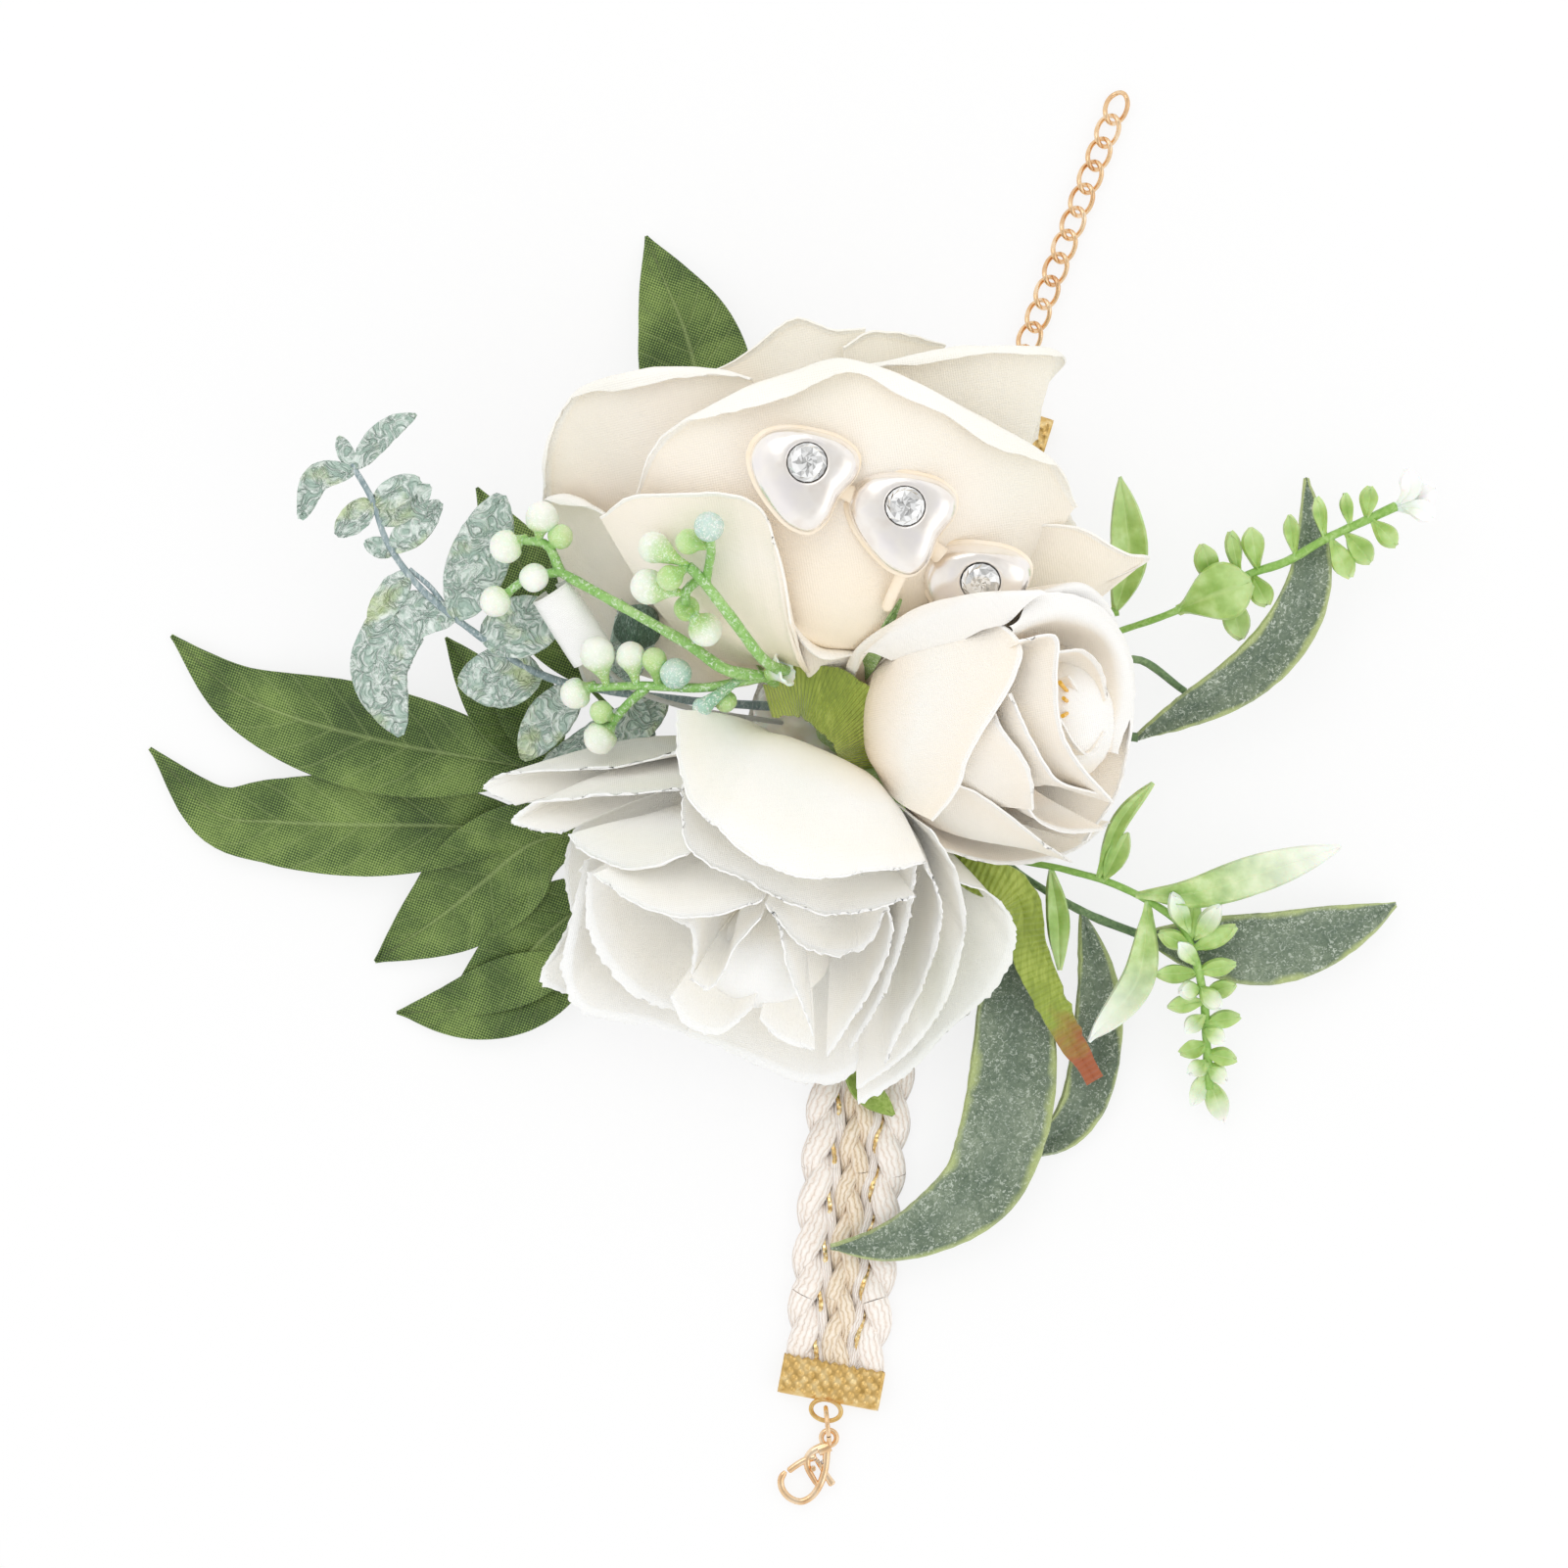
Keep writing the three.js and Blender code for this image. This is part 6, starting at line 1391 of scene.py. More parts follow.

# Of these colours, the first is painted warm shade at the root and the second painted shade under the lip.
ivory_petal = petal_finish("ivory_petal", "FBE2C6", "FBF2E4", "FBF7EF", "FCFAF6", 0.00045)
SMALL_STYLE = {"columns": 48, "pitch": 0.8, "roll": 110, "roll_rows": 8, "bend": 1.5, "wave": 0.6,
               "crease": 0.15, "fray": 0.2, "thick": 0.3}
rose_pieces("small_rose", SMALL_ROSE, SMALL_STYLE, ivory_petal)

# Stamens: a few yellow waxed threads stand in the throat of the small rose, bound into its bud.
# Each is thicker at its tip, where it is dipped.
STAMENS = [
    [(1096, 712, 0.66), (1088, 704, 0.74), (1082, 697, 0.8)],
    [(1096, 722, 0.66), (1090, 728, 0.73), (1085, 731, 0.79)],
    [(1096, 716, 0.66), (1090, 716, 0.73), (1086, 713, 0.78)],
]
stamen_yellow, tree, shader = new_finish("stamen_yellow", 0.4)
shader.inputs["Base Color"].default_value = colour("EDB73C")
stamens = [stem_piece("small_rose_stamens", points, (0.45, 0.7), stamen_yellow) for points in STAMENS]
stamens = joined("small_rose_stamens", stamens)
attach(stamens, "bunch")

# Dark leaves: printed polyester cloth, heat-pressed with its midrib and side veins, on covered wire.
# Two sprays come out at the left, and one leaf stands out above the large rose.
DARK_UPPER = {
    "stems": [
        [(800, 752, 0.15), (680, 775, 0.12), (560, 788, 0.09)],
        [(680, 775, 0.12), (620, 820, 0.09), (560, 846, 0.06)],
        [(680, 775, 0.12), (640, 740, 0.14), (600, 700, 0.15)],
    ],
    "leaves": [
        (107, [(562, 788, 0.09), (489, 775, 0.1), (396, 758, 0.08), (286, 728, 0.04), (236, 704, 0.02),
            (175, 649, 0.008)]),
        (104, [(562, 846, 0.06), (442, 843, 0.06), (349, 842, 0.04), (280, 839, 0.02), (224, 832, 0.01),
            (153, 764, 0.008)]),
        (62, [(562, 788, 0.09), (500, 710, 0.13), (455, 651, 0.13)]),
        (66, [(562, 788, 0.09), (540, 720, 0.15), (502, 650, 0.14)]),
        (76, [(602, 702, 0.15), (565, 640, 0.17), (522, 560, 0.15), (487, 498, 0.12)]),
    ],
}
DARK_LOWER = {
    "stems": [
        [(800, 792, 0.14), (700, 840, 0.1), (600, 852, 0.085)],
        [(700, 840, 0.1), (640, 920, 0.07), (608, 982, 0.05)],
    ],
    "leaves": [
        (113, [(602, 852, 0.085), (546, 860, 0.09), (489, 904, 0.05), (455, 932, 0.03),
            (383, 982, 0.008)]),
        (94, [(640, 920, 0.07), (590, 930, 0.07), (520, 990, 0.04), (450, 1040, 0.008)]),
        (80, [(610, 980, 0.05), (540, 1010, 0.04), (470, 1030, 0.02), (405, 1034, 0.008)]),
    ],
}
DARK_TOP = {
    "stems": [
        [(840, 680, 0.15), (780, 590, 0.11), (738, 498, 0.09)],
    ],
    "leaves": [
        (113, [(740, 502, 0.09), (720, 420, 0.08), (700, 340, 0.05), (680, 290, 0.03), (660, 241, 0.008)]),
    ],
}
# How thick stems are, in mm: the wire at a stem's foot, its covered end, and moulded green plastic.
STALK, TIP, GREEN = 0.8, 0.9, 1.4
VEINS = 11
DARK_LEAF = {"thick": 0.3, "keel": 0.22, "wave": 0.8, "taper": 0.85, "power": 0.95, "tip": 0.02,
             "notched": 0.05}


def aside_on(tree, across):
    """How far from its midrib a point of a leaf lies, up to 0.5 at its edge."""
    return sums(tree, "ABSOLUTE", sums(tree, "SUBTRACT", across, 0.5))


dark_leaf_cloth, tree, shader = new_finish("dark_leaf_cloth", 0.6, Sheen_Weight=0.15)
spot = spot_on(tree)
across, run = ways_on(tree)
aside = aside_on(tree, across)
midrib = ranged(tree, aside, 0.008, 0.035, 1.0, 0.0)
run = sums(tree, "ADD", run, sums(tree, "MULTIPLY", grain(tree, spot, 160, 1), 0.03))
run = sums(tree, "SUBTRACT", run, sums(tree, "MULTIPLY", aside, 0.3))
wave = sums(tree, "PINGPONG", sums(tree, "MULTIPLY", run, VEINS), 0.5)
vein = ranged(tree, wave, 0.02, 0.085, 1.0, 0.0)
weave_and_painted_highlight = sums(tree, "MULTIPLY_ADD", woven(tree, spot, 0.00055, -25), 0.5, 0.5)
# The weave lightens the colour on its thread crowns and darkens it between them: painted highlight and
# painted shade over the print.
blotch = sums(tree, "MULTIPLY_ADD", grain(tree, spot, 110, 3), 0.5, sums(tree, "MULTIPLY", weave_and_painted_highlight, 0.4))
blotch = sums(tree, "MULTIPLY_ADD", grain(tree, spot, 2200, 2), 0.16, blotch)
printed = shades(tree, blotch, (0.32, "22360F"), (0.5, "466324"), (0.7, "90A858"))
printed = mixed(tree, sums(tree, "MULTIPLY", vein, 0.16), printed, colour("A5B878"))
printed = mixed(tree, sums(tree, "MULTIPLY", midrib, 0.34), printed, colour("A5B878"))
tinted(tree, shader, printed)
cloth = raised(tree, shader, weave_and_painted_highlight, 0.00006)
pressed = sums(tree, "ADD", sums(tree, "MULTIPLY", vein, -0.5), sums(tree, "MULTIPLY", midrib, -1.0))
raised(tree, shader, pressed, 0.0002, under=cloth)
leaf_wire = leaf_finish("leaf_wire", "3F5A2C", "5A7A38", "7F9A50", 0.6, 1500, 0.0001)


def sprig(node_name, name, spray, stem_finish, stem_thick, finish_of=None, shape=None, more=()):
    """A sprig made one: its stems, its leaves, each in the finish that finish_of gives for its number,
    and any more pieces given. The first stem thins from one thickness to the other, in mm."""
    parts = []
    for number, points in enumerate(spray["stems"]):
        thick = stem_thick if number == 0 else (stem_thick[1], stem_thick[1] * 0.8)
        parts.append(stem_piece(name, points, thick, stem_finish))
    for number, (width, rib) in enumerate(spray.get("leaves", [])):
        parts.append(leaf_piece(name, width, rib, finish_of(number), **shape))
    piece = joined(name, [*parts, *more])
    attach(piece, "bunch")
    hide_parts(node_name)


for node_name, name, spray in (("dark_leaf_spray_upper", "dark_leaves_upper", DARK_UPPER),
                               ("dark_leaf_spray_lower", "dark_leaves_lower", DARK_LOWER),
                               ("dark_leaf_top", "dark_leaf_single", DARK_TOP)):
    sprig(node_name, name, spray, leaf_wire, (STALK, TIP), lambda number: dark_leaf_cloth,
          DARK_LEAF)

# Eucalyptus: moulded soft plastic, its round leaves wrinkled like skin and brushed with white frost,
# with yellow-green showing where the frost is thin. The stem is grooved.
EUCALYPTUS = {
    "stems": [
        [(800, 722, 0.18), (700, 715, 0.22), (620, 705, 0.27), (553, 689, 0.34), (474, 638, 0.42),
            (428, 599, 0.46), (395, 553, 0.49), (380, 510, 0.5), (359, 474, 0.5)],
        [(461, 628, 0.43), (440, 600, 0.45), (418, 581, 0.46)],
    ],
    "leaves": [
        (24, [(362, 478, 0.5), (395, 440, 0.52), (424, 423, 0.5)]),
        (16, [(360, 476, 0.5), (346, 446, 0.48)]),
        (26, [(362, 480, 0.5), (325, 488, 0.47), (307, 530, 0.42)]),
        (28, [(380, 512, 0.5), (344, 546, 0.46)]),
        (30, [(381, 514, 0.5), (429, 490, 0.52)]),
        (30, [(388, 534, 0.49), (440, 497, 0.5)]),
        (32, [(400, 562, 0.48), (450, 513, 0.5)]),
        (20, [(402, 564, 0.48), (373, 553, 0.47)]),
        (30, [(416, 584, 0.47), (377, 640, 0.4)]),
        (60, [(466, 632, 0.43), (490, 570, 0.48), (512, 505, 0.5)]),
        (60, [(464, 630, 0.43), (420, 630, 0.42), (388, 680, 0.34), (409, 751, 0.26)]),
        (60, [(492, 652, 0.4), (533, 640, 0.43), (578, 628, 0.43)]),
        (60, [(552, 689, 0.34), (510, 692, 0.36), (468, 696, 0.34)]),
        (45, [(590, 700, 0.3), (560, 735, 0.3), (533, 775, 0.26)]),
        (48, [(680, 716, 0.23), (610, 762, 0.26), (552, 785, 0.22)]),
        (44, [(630, 706, 0.26), (650, 640, 0.32), (656, 572, 0.32)]),
        (20, [(650, 710, 0.25), (664, 771, 0.22)]),
    ],
}
ROUND_LEAF = {"thick": 0.5, "keel": 0.25, "wave": 0.9, "taper": 0.9, "power": 0.55, "tip": 0.12,
              "crinkle": 0.5, "pitch": 0.6}


def wrinkled_finish(name, hollow, middle, crest, size, relief, bare_patch):
    """Moulded plastic under white frost, paler on the crests of its fine wrinkles and darker in their
    hollows.
    """
    finish, tree, shader = new_finish(name, 0.55)
    spot = spot_on(tree)
    swirl = grain(tree, spot, size, 3, None, 1.2)
    wrinkle = sums(tree, "MULTIPLY", sums(tree, "PINGPONG", sums(tree, "MULTIPLY", swirl, 5.0), 0.5), 2.0)
    dust = sums(tree, "MULTIPLY", grain(tree, spot, size * 3, 4), 0.4)
    tone = sums(tree, "MULTIPLY_ADD", wrinkle, 0.6, dust)
    tint = shades(tree, tone, (0.25, hollow), (0.5, middle), (0.78, crest))
    bare = shades(tree, grain(tree, spot, 170, 3), (0.54, "000000"), (0.7, "FFFFFF"))
    tinted(tree, shader, mixed(tree, sums(tree, "MULTIPLY", bare, 0.6), tint, colour(bare_patch)))
    raised(tree, shader, wrinkle, relief)
    return finish


eucalyptus_sage = wrinkled_finish("eucalyptus_sage", "A3BBAE", "C2D4C9", "E6EFE9", 330, 0.0004, "C2D08A")
sage_stem = leaf_finish("sage_stem", "6F858A", "8FA2A6", "B6C4C4", 0.5, 1200, 0.0003, (1, 0.3, 1),
                        frost=("E8EFEE", 0.5))
sprig("eucalyptus_sprig", "eucalyptus_branch", EUCALYPTUS, sage_stem, (GREEN, TIP),
      lambda number: eucalyptus_sage, ROUND_LEAF)

# Berry sprigs: bright green moulded stems that flare into cups, each with a white frosted berry.
# Some berries stay small and green. A jagged white floret sits where the branches part.
#
# Each berry is its place and its radius in picture pixels, and one numbered here has sage frost.
SAGE_LEFT, SAGE_RIGHT = 11, 4
SMALL_BERRY = 14
BERRY_LEFT = {
    "stems": [
        [(815, 715, 0.18), (800, 704, 0.42), (781, 691, 0.6), (742, 684, 0.66), (703, 658, 0.66),
            (640, 622, 0.62), (570, 583, 0.57)],
        [(781, 691, 0.6), (720, 702, 0.6), (650, 700, 0.55), (598, 703, 0.5)],
        [(660, 702, 0.55), (640, 720, 0.52), (621, 744, 0.48)],
        [(572, 584, 0.57), (540, 590, 0.56), (512, 610, 0.54)],
        [(572, 584, 0.57), (558, 556, 0.58), (530, 552, 0.57)],
    ],
    "berries": [
        (553, 529, 0.6, 17), (517, 558, 0.58, 17), (572, 548, 0.6, 13), (545, 590, 0.58, 15),
        (506, 614, 0.55, 16), (610, 668, 0.57, 18), (644, 670, 0.58, 15), (668, 674, 0.6, 13),
        (588, 708, 0.5, 16), (613, 753, 0.48, 17), (614, 727, 0.51, 12), (690, 688, 0.62, 16),
    ],
}
BERRY_RIGHT = {
    "stems": [
        [(832, 690, 0.2), (806, 686, 0.56), (779, 673, 0.78), (750, 635, 0.86), (715, 590, 0.9),
            (703, 578, 0.92)],
        [(720, 597, 0.87), (726, 562, 0.96), (724, 540, 1.02)],
        [(715, 590, 0.86), (700, 605, 0.84), (702, 622, 0.82)],
    ],
    "berries": [
        (668, 559, 0.86, 16), (703, 553, 0.95, 13), (662, 599, 0.82, 18), (684, 590, 0.9, 13),
        (724, 538, 1.04, 15), (701, 621, 0.8, 13), (720, 643, 0.78, 17),
    ],
}


def berry_finish(name, foot, neck, ball, top, fleck):
    """Frosted plastic, green at its foot and paler to its top."""
    finish, tree, shader = new_finish(name, 0.45, Subsurface_Weight=0.3, Subsurface_Scale=0.002,
                                      Coat_Weight=0.05)
    spot = spot_on(tree)
    climb = sums(tree, "SUBTRACT", ways_on(tree)[1], 0.12)
    climb = sums(tree, "MULTIPLY_ADD", grain(tree, spot, 500, 3), 0.24, climb)
    tone = shades(tree, climb, (0.1, foot), (0.3, neck), (0.5, ball), (0.85, top))
    flecks = shades(tree, grain(tree, spot, 2300, 5, None, 1.5), (0.52, "000000"), (0.62, "FFFFFF"))
    tinted(tree, shader, mixed(tree, sums(tree, "MULTIPLY", flecks, fleck), tone, colour("FBFDF8")))
    raised(tree, shader, grain(tree, spot, 1300, 4), 0.00018)
    return finish


white_berry = berry_finish("white_berry", "9CC86A", "BBDA96", "E4EEDA", "F3F7EE", 0.6)
green_berry = berry_finish("green_berry", "84B552", "A2CC76", "B7D98E", "CBE3AC", 0.3)
sage_berry = berry_finish("sage_berry", "7FB36A", "8FBFA0", "A6CBBB", "C6DDD2", 0.7)
berry_stem = leaf_finish("berry_stem", "79AE55", "92C46A", "B9DA98", 0.45, 900, 0.0003, frost=("F1F8EC", 0.6))


BERRY_NECK = 0.6


def berry_piece(name, foot, middle, radius, finish):
    """A berry on its flared cup: turned from the cup's foot to the berry's crown, with a radius in mm."""
    axis = middle - foot
    reach = axis.length / MM
    turned = axis.to_track_quat("Z", "Y").to_matrix()
    profile = [(0, 0), (0, BERRY_NECK), (reach * 0.3, BERRY_NECK),
               (reach * 0.55, max(BERRY_NECK, radius * 0.55))]
    for k in range(9):
        turn = math.radians(-42 + 132 * k / 8)
        profile.append((reach + radius * math.sin(turn), radius * math.cos(turn)))
    seed = middle.x * 900

    def at(u, v):
        height, wide = profile[round(v * (len(profile) - 1))]
        turn = 2 * math.pi * u
        spoke = Vector((math.cos(turn), math.sin(turn), 0))
        dent = 1 + 0.09 * noise.noise(Vector((spoke.x + seed, spoke.y, height * 1.2)))
        return foot + turned @ ((spoke * wide * dent + UP * height) * MM)

    berry = edited(grid_piece(name, 20, len(profile) - 1, at), welded, outward)
    modified(berry, "SUBSURF", levels=1, render_levels=1)
    berry.data.materials.append(finish)
    return berry


def berries_of(spray, sage):
    """Each berry of a sprig on the nearest of its stems."""
    lines = [line_of(points, 24) for points in spray["stems"]]
    made = []
    for number, (*at, radius) in enumerate(spray["berries"]):
        middle = place(*at)
        foot = min((point for line in lines for point in line), key=lambda point: (point - middle).length)
        size = radius * PIXEL / MM
        if (middle - foot).length < (size + 1) * MM:
            foot = middle + (foot - middle).normalized() * (size + 1) * MM
        finish = sage_berry if number == sage else green_berry if radius < SMALL_BERRY else white_berry
        made.append(berry_piece("berry", foot, middle, size, finish))
    return made


floret_foot = place(783, 689, 0.62)
floret_turned = (place(812, 678, 0.66) - floret_foot).normalized().to_track_quat("Z", "Y").to_matrix()


def floret_at(u, v):
    """The floret from its neck (v = 0) to its torn rim (v = 1)."""
    turn = 2 * math.pi * u
    jag = noise.noise(Vector((math.cos(turn) * 4, math.sin(turn) * 4, 1))) * 1.3 * max(0, v - 0.6)
    wide, height = 0.7 + 2.0 * v ** 1.6, 3.2 * v + jag
    return floret_foot + floret_turned @ (Vector((math.cos(turn) * wide, math.sin(turn) * wide, height)) * MM)


floret = thicker(edited(grid_piece("floret", 32, 10, floret_at), welded, outward), 0.4 * MM, 0)
floret.data.materials.append(white_berry)
knobs = [berry_piece("knob", place(760, 690, 0.62), place(717, 722, 0.62), 1.5, sage_berry),
         berry_piece("knob", place(742, 700, 0.6), place(741, 716, 0.58), 1.7, green_berry)]
BRANCH = (2.0, 1.5)
sprig("berry_sprig_left", "berries_left", BERRY_LEFT, berry_stem, BRANCH,
      more=berries_of(BERRY_LEFT, SAGE_LEFT) + knobs + [floret])
dark_bud = leaf_finish("dark_bud", "2E4436", "4D6A58", "86A396", 0.5, 800, 0.0003, (3, 1, 1),
                       frost=("C9DAD2", 0.3))
bud_way = (place(640, 560, 0.5) - place(680, 700, 0.3)).normalized()
bud = cup_piece("bud", place(652, 640, 0.42), bud_way, 3.4 * MM, dark_bud, 0.12)
sprig("berry_sprig_right", "berries_right", BERRY_RIGHT, berry_stem, BRANCH,
      more=berries_of(BERRY_RIGHT, SAGE_RIGHT) + [bud])

# Willow leaves: long, thick moulded leaves, grey-green under white frost, with a yellow-green rim
# and a darker middle. Each is pushed on a wired stem.
WILLOW_UPPER = {
    "stems": [
        [(925, 738, 0.13), (1060, 742, 0.1), (1162, 753, 0.14)],
        [(1060, 742, 0.1), (1125, 690, 0.11), (1159, 673, 0.12), (1210, 706, 0.1)],
    ],
    "leaves": [
        (52, [(1159, 754, 0.14), (1210, 727, 0.18), (1258, 700, 0.2), (1294, 670, 0.22), (1321, 634, 0.22),
            (1336, 595, 0.2), (1339, 550, 0.16), (1334, 488, 0.1)]),
    ],
}
WILLOW_LOWER = {
    "stems": [
        [(918, 788, 0.14), (990, 850, 0.1), (1044, 894, 0.1), (1108, 932, 0.11), (1168, 956, 0.12)],
        [(990, 850, 0.105), (935, 960, 0.13), (866, 1084, 0.1)],
    ],
    "leaves": [
        (28, [(864, 1078, 0.1), (884, 1112, 0.105), (912, 1139, 0.1)]),
        (72, [(1165, 955, 0.12), (1225, 965, 0.13), (1300, 968, 0.11), (1380, 945, 0.07),
            (1425, 923, 0.04)]),
        (88, [(1036, 890, 0.1), (1035, 1000, 0.1), (1035, 1080, 0.1), (1025, 1150, 0.095),
            (1000, 1210, 0.09), (950, 1250, 0.1), (900, 1270, 0.11), (848, 1274, 0.115)]),
        (50, [(1105, 931, 0.11), (1120, 1000, 0.09), (1120, 1060, 0.06), (1108, 1120, 0.035),
            (1085, 1155, 0.02), (1050, 1172, 0.012), (1018, 1182, 0.01)]),
    ],
}
LONG_LEAF = {"thick": 0.7, "keel": 0.35, "wave": 0.5, "taper": 0.95, "power": 0.8, "tip": 0.05,
             "crinkle": 0.1}
willow_grey = leaf_finish("willow_grey", "526552", "70806A", "8F9C86", 0.55, 1100, 0.0003,
                          frost=("DDE5D8", 0.6))
tree, shader, frosted = shader_of(willow_grey)
aside = sums(tree, "SUBTRACT", aside_on(tree, ways_on(tree)[0]), 0.15)
aside = sums(tree, "MULTIPLY_ADD", grain(tree, spot_on(tree), 140, 3), 0.3, aside)
rim = sums(tree, "MULTIPLY", ranged(tree, aside, 0.42, 0.5), 0.75)
core = sums(tree, "MULTIPLY", ranged(tree, aside, 0.06, 0.3, 1.0, 0.0), 0.3)
tinted(tree, shader, mixed(tree, rim, mixed(tree, core, frosted, colour("55695A")), colour("BECB84")))
young_leaf = leaf_finish("young_leaf", "76933C", "93AE4E", "B4C872", 0.55, 1300, 0.0002)
willow_stem = leaf_finish("willow_stem", "4E6B4A", "6F8C5E", "93AC7C", 0.55, 1200, 0.0003)
sprig("willow_leaf_upper", "willow_upper", WILLOW_UPPER, willow_stem, (STALK, GREEN),
      lambda number: willow_grey, LONG_LEAF)
sprig("willow_spray_lower", "willow_lower", WILLOW_LOWER, willow_stem, (STALK, GREEN),
      lambda number: young_leaf if number == 0 else willow_grey, LONG_LEAF)

# Boxwood and bud leaf: bright green moulded plastic. Small plump leaves, like spoons, climb a thin
# stem to a white flower at its tip, and the lower spray fades to white.
BOXWOOD_UPPER = {
    "stems": [
        [(928, 712, 0.13), (1060, 672, 0.11), (1147, 643, 0.15), (1198, 625, 0.22), (1276, 586, 0.25),
            (1312, 574, 0.24), (1354, 550, 0.23), (1393, 532, 0.22), (1425, 517, 0.2)],
    ],
    "leaves": [
        (57, [(1202, 624, 0.22), (1240, 607, 0.29), (1278, 594, 0.29)]),
        (24, [(1240, 604, 0.24), (1228, 556, 0.29)]),
        (15, [(1266, 591, 0.25), (1256, 543, 0.28)]),
        (22, [(1284, 584, 0.25), (1277, 539, 0.29)]),
        (15, [(1322, 569, 0.24), (1316, 526, 0.27)]),
        (13, [(1352, 551, 0.23), (1344, 508, 0.26)]),
        (13, [(1378, 539, 0.22), (1373, 504, 0.25)]),
        (18, [(1396, 531, 0.22), (1399, 497, 0.24)]),
        (14, [(1420, 519, 0.2), (1458, 516, 0.2)]),
        (20, [(1400, 529, 0.22), (1426, 557, 0.22)]),
        (24, [(1372, 542, 0.22), (1400, 574, 0.22)]),
        (22, [(1358, 548, 0.23), (1378, 590, 0.22)]),
        (22, [(1278, 586, 0.25), (1294, 618, 0.24)]),
        (26, [(1252, 598, 0.24), (1268, 653, 0.22)]),
        (28, [(1422, 519, 0.2), (1466, 499, 0.22)]),
        (22, [(1426, 517, 0.2), (1440, 500, 0.24), (1437, 479, 0.26)]),
        (22, [(1428, 518, 0.2), (1450, 520, 0.23), (1464, 530, 0.22)]),
    ],
}
BUD_LEAF = {
    "stems": [
        [(925, 690, 0.12), (1050, 642, 0.1), (1142, 624, 0.14)],
    ],
    "leaves": [
        (36, [(1139, 626, 0.14), (1152, 575, 0.2), (1150, 530, 0.22), (1144, 487, 0.2)]),
    ],
}
BOXWOOD_LOWER = {
    "stems": [
        [(930, 775, 0.15), (1005, 865, 0.16), (1088, 888, 0.19), (1133, 901, 0.2), (1178, 923, 0.21),
            (1206, 945, 0.22), (1219, 974, 0.22), (1229, 1019, 0.2), (1232, 1063, 0.16),
            (1235, 1111, 0.1)],
    ],
    "leaves": [
        (38, [(1160, 914, 0.21), (1216, 912, 0.25), (1290, 890, 0.24), (1369, 865, 0.18)]),
        (32, [(1172, 920, 0.21), (1162, 999, 0.22), (1112, 1063, 0.17)]),
        (22, [(1072, 885, 0.18), (1080, 935, 0.19), (1082, 990, 0.17)]),
        (22, [(1126, 900, 0.2), (1152, 850, 0.22)]),
        (16, [(1120, 897, 0.2), (1144, 838, 0.23), (1177, 799, 0.23)]),
        (18, [(1215, 960, 0.22), (1219, 912, 0.25)]),
        (18, [(1216, 968, 0.22), (1184, 952, 0.24)]),
        (18, [(1218, 970, 0.22), (1262, 946, 0.24)]),
        (18, [(1223, 992, 0.21), (1262, 985, 0.22)]),
        (18, [(1223, 994, 0.21), (1180, 994, 0.22)]),
        (18, [(1228, 1016, 0.2), (1262, 1005, 0.21)]),
        (18, [(1229, 1022, 0.2), (1192, 1028, 0.2)]),
        (18, [(1231, 1044, 0.18), (1266, 1038, 0.18)]),
        (18, [(1232, 1066, 0.16), (1205, 1075, 0.15)]),
        (18, [(1233, 1076, 0.15), (1262, 1082, 0.13)]),
        (20, [(1214, 952, 0.23), (1196, 912, 0.26)]),
        (20, [(1220, 960, 0.23), (1246, 924, 0.27)]),
        (18, [(1221, 984, 0.22), (1204, 962, 0.24)]),
        (18, [(1226, 1008, 0.22), (1246, 1030, 0.23)]),
        (18, [(1226, 1010, 0.21), (1204, 1012, 0.23)]),
        (18, [(1229, 1036, 0.2), (1210, 1054, 0.2)]),
        (18, [(1231, 1050, 0.19), (1250, 1064, 0.18)]),
        (18, [(1232, 1084, 0.15), (1214, 1096, 0.12)]),
        (18, [(1233, 1088, 0.14), (1252, 1104, 0.1)]),
        (20, [(1234, 1094, 0.12), (1218, 1128, 0.06)]),
        (22, [(1235, 1104, 0.11), (1250, 1146, 0.04)]),
    ],
}


def bright_finish(name, deep, middle, light, end, fade):
    """Smooth bright plastic, paler along its middle, that turns to another colour towards the tip."""
    finish, tree, shader = new_finish(name, 0.38, Subsurface_Weight=0.2, Subsurface_Scale=0.0015,
                                      Coat_Weight=0.2)
    spot = spot_on(tree)
    across, run = ways_on(tree)
    tone = shades(tree, grain(tree, spot, 330, 4), (0.35, deep), (0.52, middle), (0.68, light))
    midrib = ranged(tree, aside_on(tree, across), 0.02, 0.08, 0.3, 0.0)
    tone = mixed(tree, midrib, tone, colour("D6E8A4"))
    tinted(tree, shader, mixed(tree, ranged(tree, run, *fade), tone, colour(end)))
    raised(tree, shader, grain(tree, spot, 900, 4), 0.0001)
    return finish


boxwood_green = bright_finish("boxwood_green", "8FB552", "A6C86C", "BEDA90", "CDE4A4", (0.6, 1.2))
boxwood_fading = bright_finish("boxwood_fading", "90B65A", "B2D080", "D0E4AA", "F8FAF4", (0.3, 1.0))
flower_white = bright_finish("flower_white", "E9EFDD", "F6F8F1", "FCFCFA", "FDFDFC", (0.3, 0.8))
boxwood_stem = leaf_finish("boxwood_stem", "76A843", "90BC58", "B0D284", 0.4, 1200, 0.0002)
SPOON = {"thick": 0.8, "keel": 0.3, "wave": 0.3, "taper": 1.6, "power": 0.7, "tip": 0.14, "pitch": 0.8,
         "notched": 0.04}
BUD_BLADE = {**SPOON, "taper": 0.95, "power": 0.8, "tip": 0.04}
LONG_SPOON = {**SPOON, "taper": 1.1, "power": 0.75, "tip": 0.08}
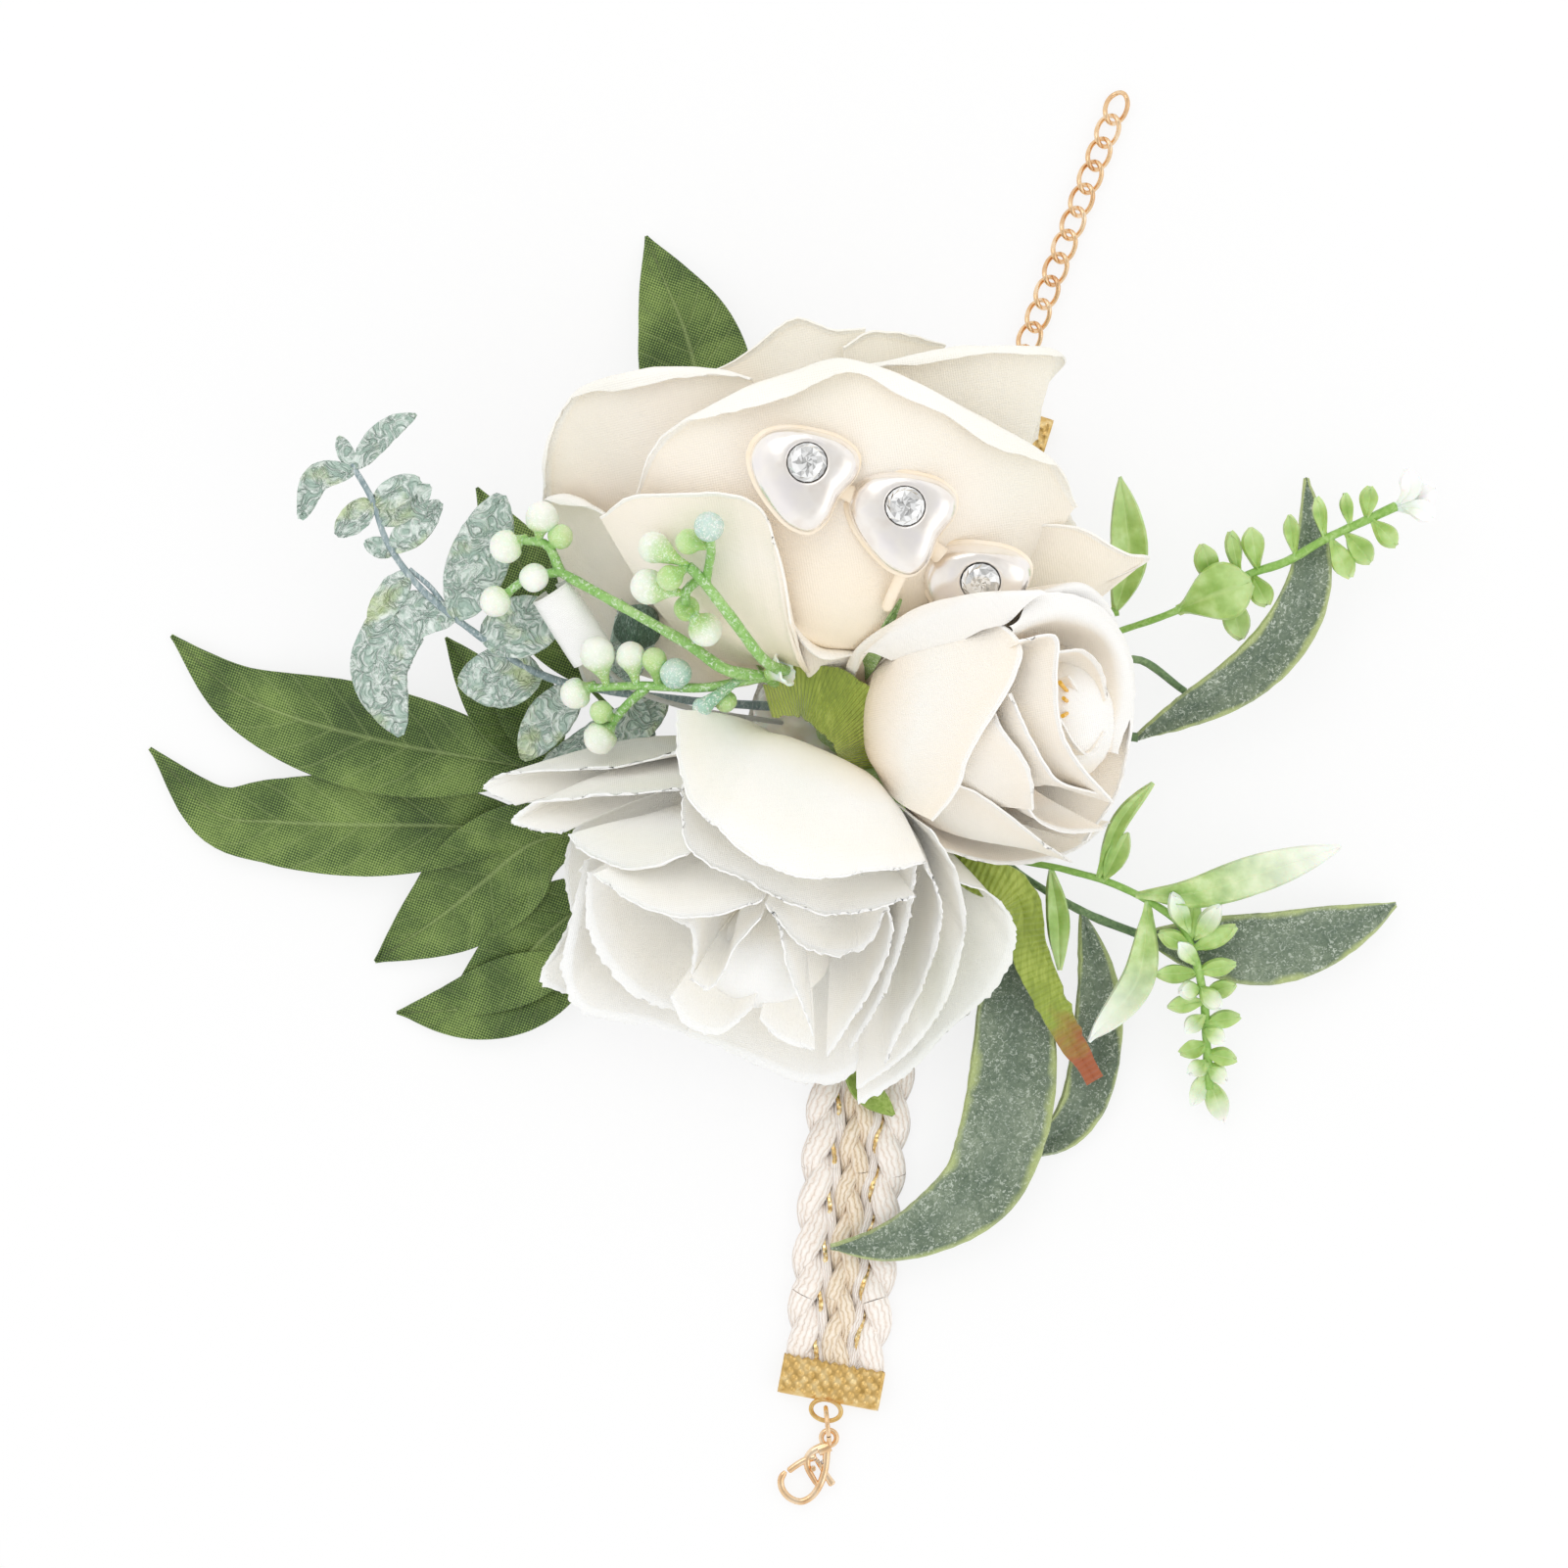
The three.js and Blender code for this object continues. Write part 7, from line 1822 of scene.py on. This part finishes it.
# Leaves by their number in the lists: the petals of the upper spray's flower, and in the lower spray
# the two long blades, which fade, and the last leaf that stays green.
FLOWER_PETALS = (8, 14, 15, 16)
LONG_BLADES = (0, 1)
LAST_GREEN = 14
sprig("boxwood_sprig_upper", "boxwood_upper", BOXWOOD_UPPER, boxwood_stem, (STALK, GREEN),
      lambda number: flower_white if number in FLOWER_PETALS else boxwood_green, SPOON)
sprig("bud_leaf", "bud_leaf_blade", BUD_LEAF, boxwood_stem, (STALK, GREEN),
      lambda number: boxwood_green, BUD_BLADE)
sprig("boxwood_sprig_lower", "boxwood_lower", BOXWOOD_LOWER, boxwood_stem, (STALK, GREEN),
      lambda number: boxwood_fading if number in LONG_BLADES or number > LAST_GREEN else boxwood_green,
      LONG_SPOON)

# Ribbon: one loop of white satin ribbon, 11.5 mm wide, its tail glued in the mound. It shows between
# the berries and the eucalyptus.
RIBBON = {"width": 11.5 * MM, "radius": 3.3 * MM, "round": 325, "thick": 0.35 * MM, "start": -73}
ribbon_middle, ribbon_far = place(584, 636, 0.52), place(607, 672, 0.5)
ribbon_axis = (ribbon_far - ribbon_middle).normalized()
ribbon_side = ribbon_axis.cross(UP).normalized()
ribbon_up = ribbon_side.cross(ribbon_axis)


def ribbon_at(u, v):
    turn = math.radians(RIBBON["start"] + RIBBON["round"] * v)
    radius = RIBBON["radius"] * (1 + 0.05 * math.sin(3 * turn) + 0.06 * math.sin(2 * turn + u * 2))
    spoke = ribbon_side * math.cos(turn) * 0.9 + ribbon_up * math.sin(turn)
    return ribbon_middle + ribbon_axis * (u - 0.5) * RIBBON["width"] + spoke * radius


ribbon = edited(grid_piece("ribbon_loop_satin", 16, 48, ribbon_at), outward)
thicker(ribbon, RIBBON["thick"])
white_ribbon, tree, shader = new_finish("white_ribbon", 0.35, Sheen_Weight=0.2, Anisotropic=0.5)
across = ways_on(tree)[0]
selvedge = ranged(tree, aside_on(tree, across), 0.45, 0.47)
tone = shades(tree, grain(tree, spot_on(tree), 260, 3), (0.3, "F0F0EE"), (0.7, "F8F8F6"))
tinted(tree, shader, mixed(tree, selvedge, tone, colour("ECECE8")))
raised(tree, shader, sums(tree, "SINE", sums(tree, "MULTIPLY", across, 260)), 0.00002)
ribbon.data.materials.append(white_ribbon)
tail_line = [(800, 738, 0.2), (700, 722, 0.3), (640, 700, 0.4), (600, 664, 0.45)]
tail = stem_piece("tail", tail_line, (STALK, STALK), white_ribbon)
ribbon = joined("ribbon_loop_satin", [ribbon, tail])
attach(ribbon, "bunch")
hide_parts("ribbon_loop")
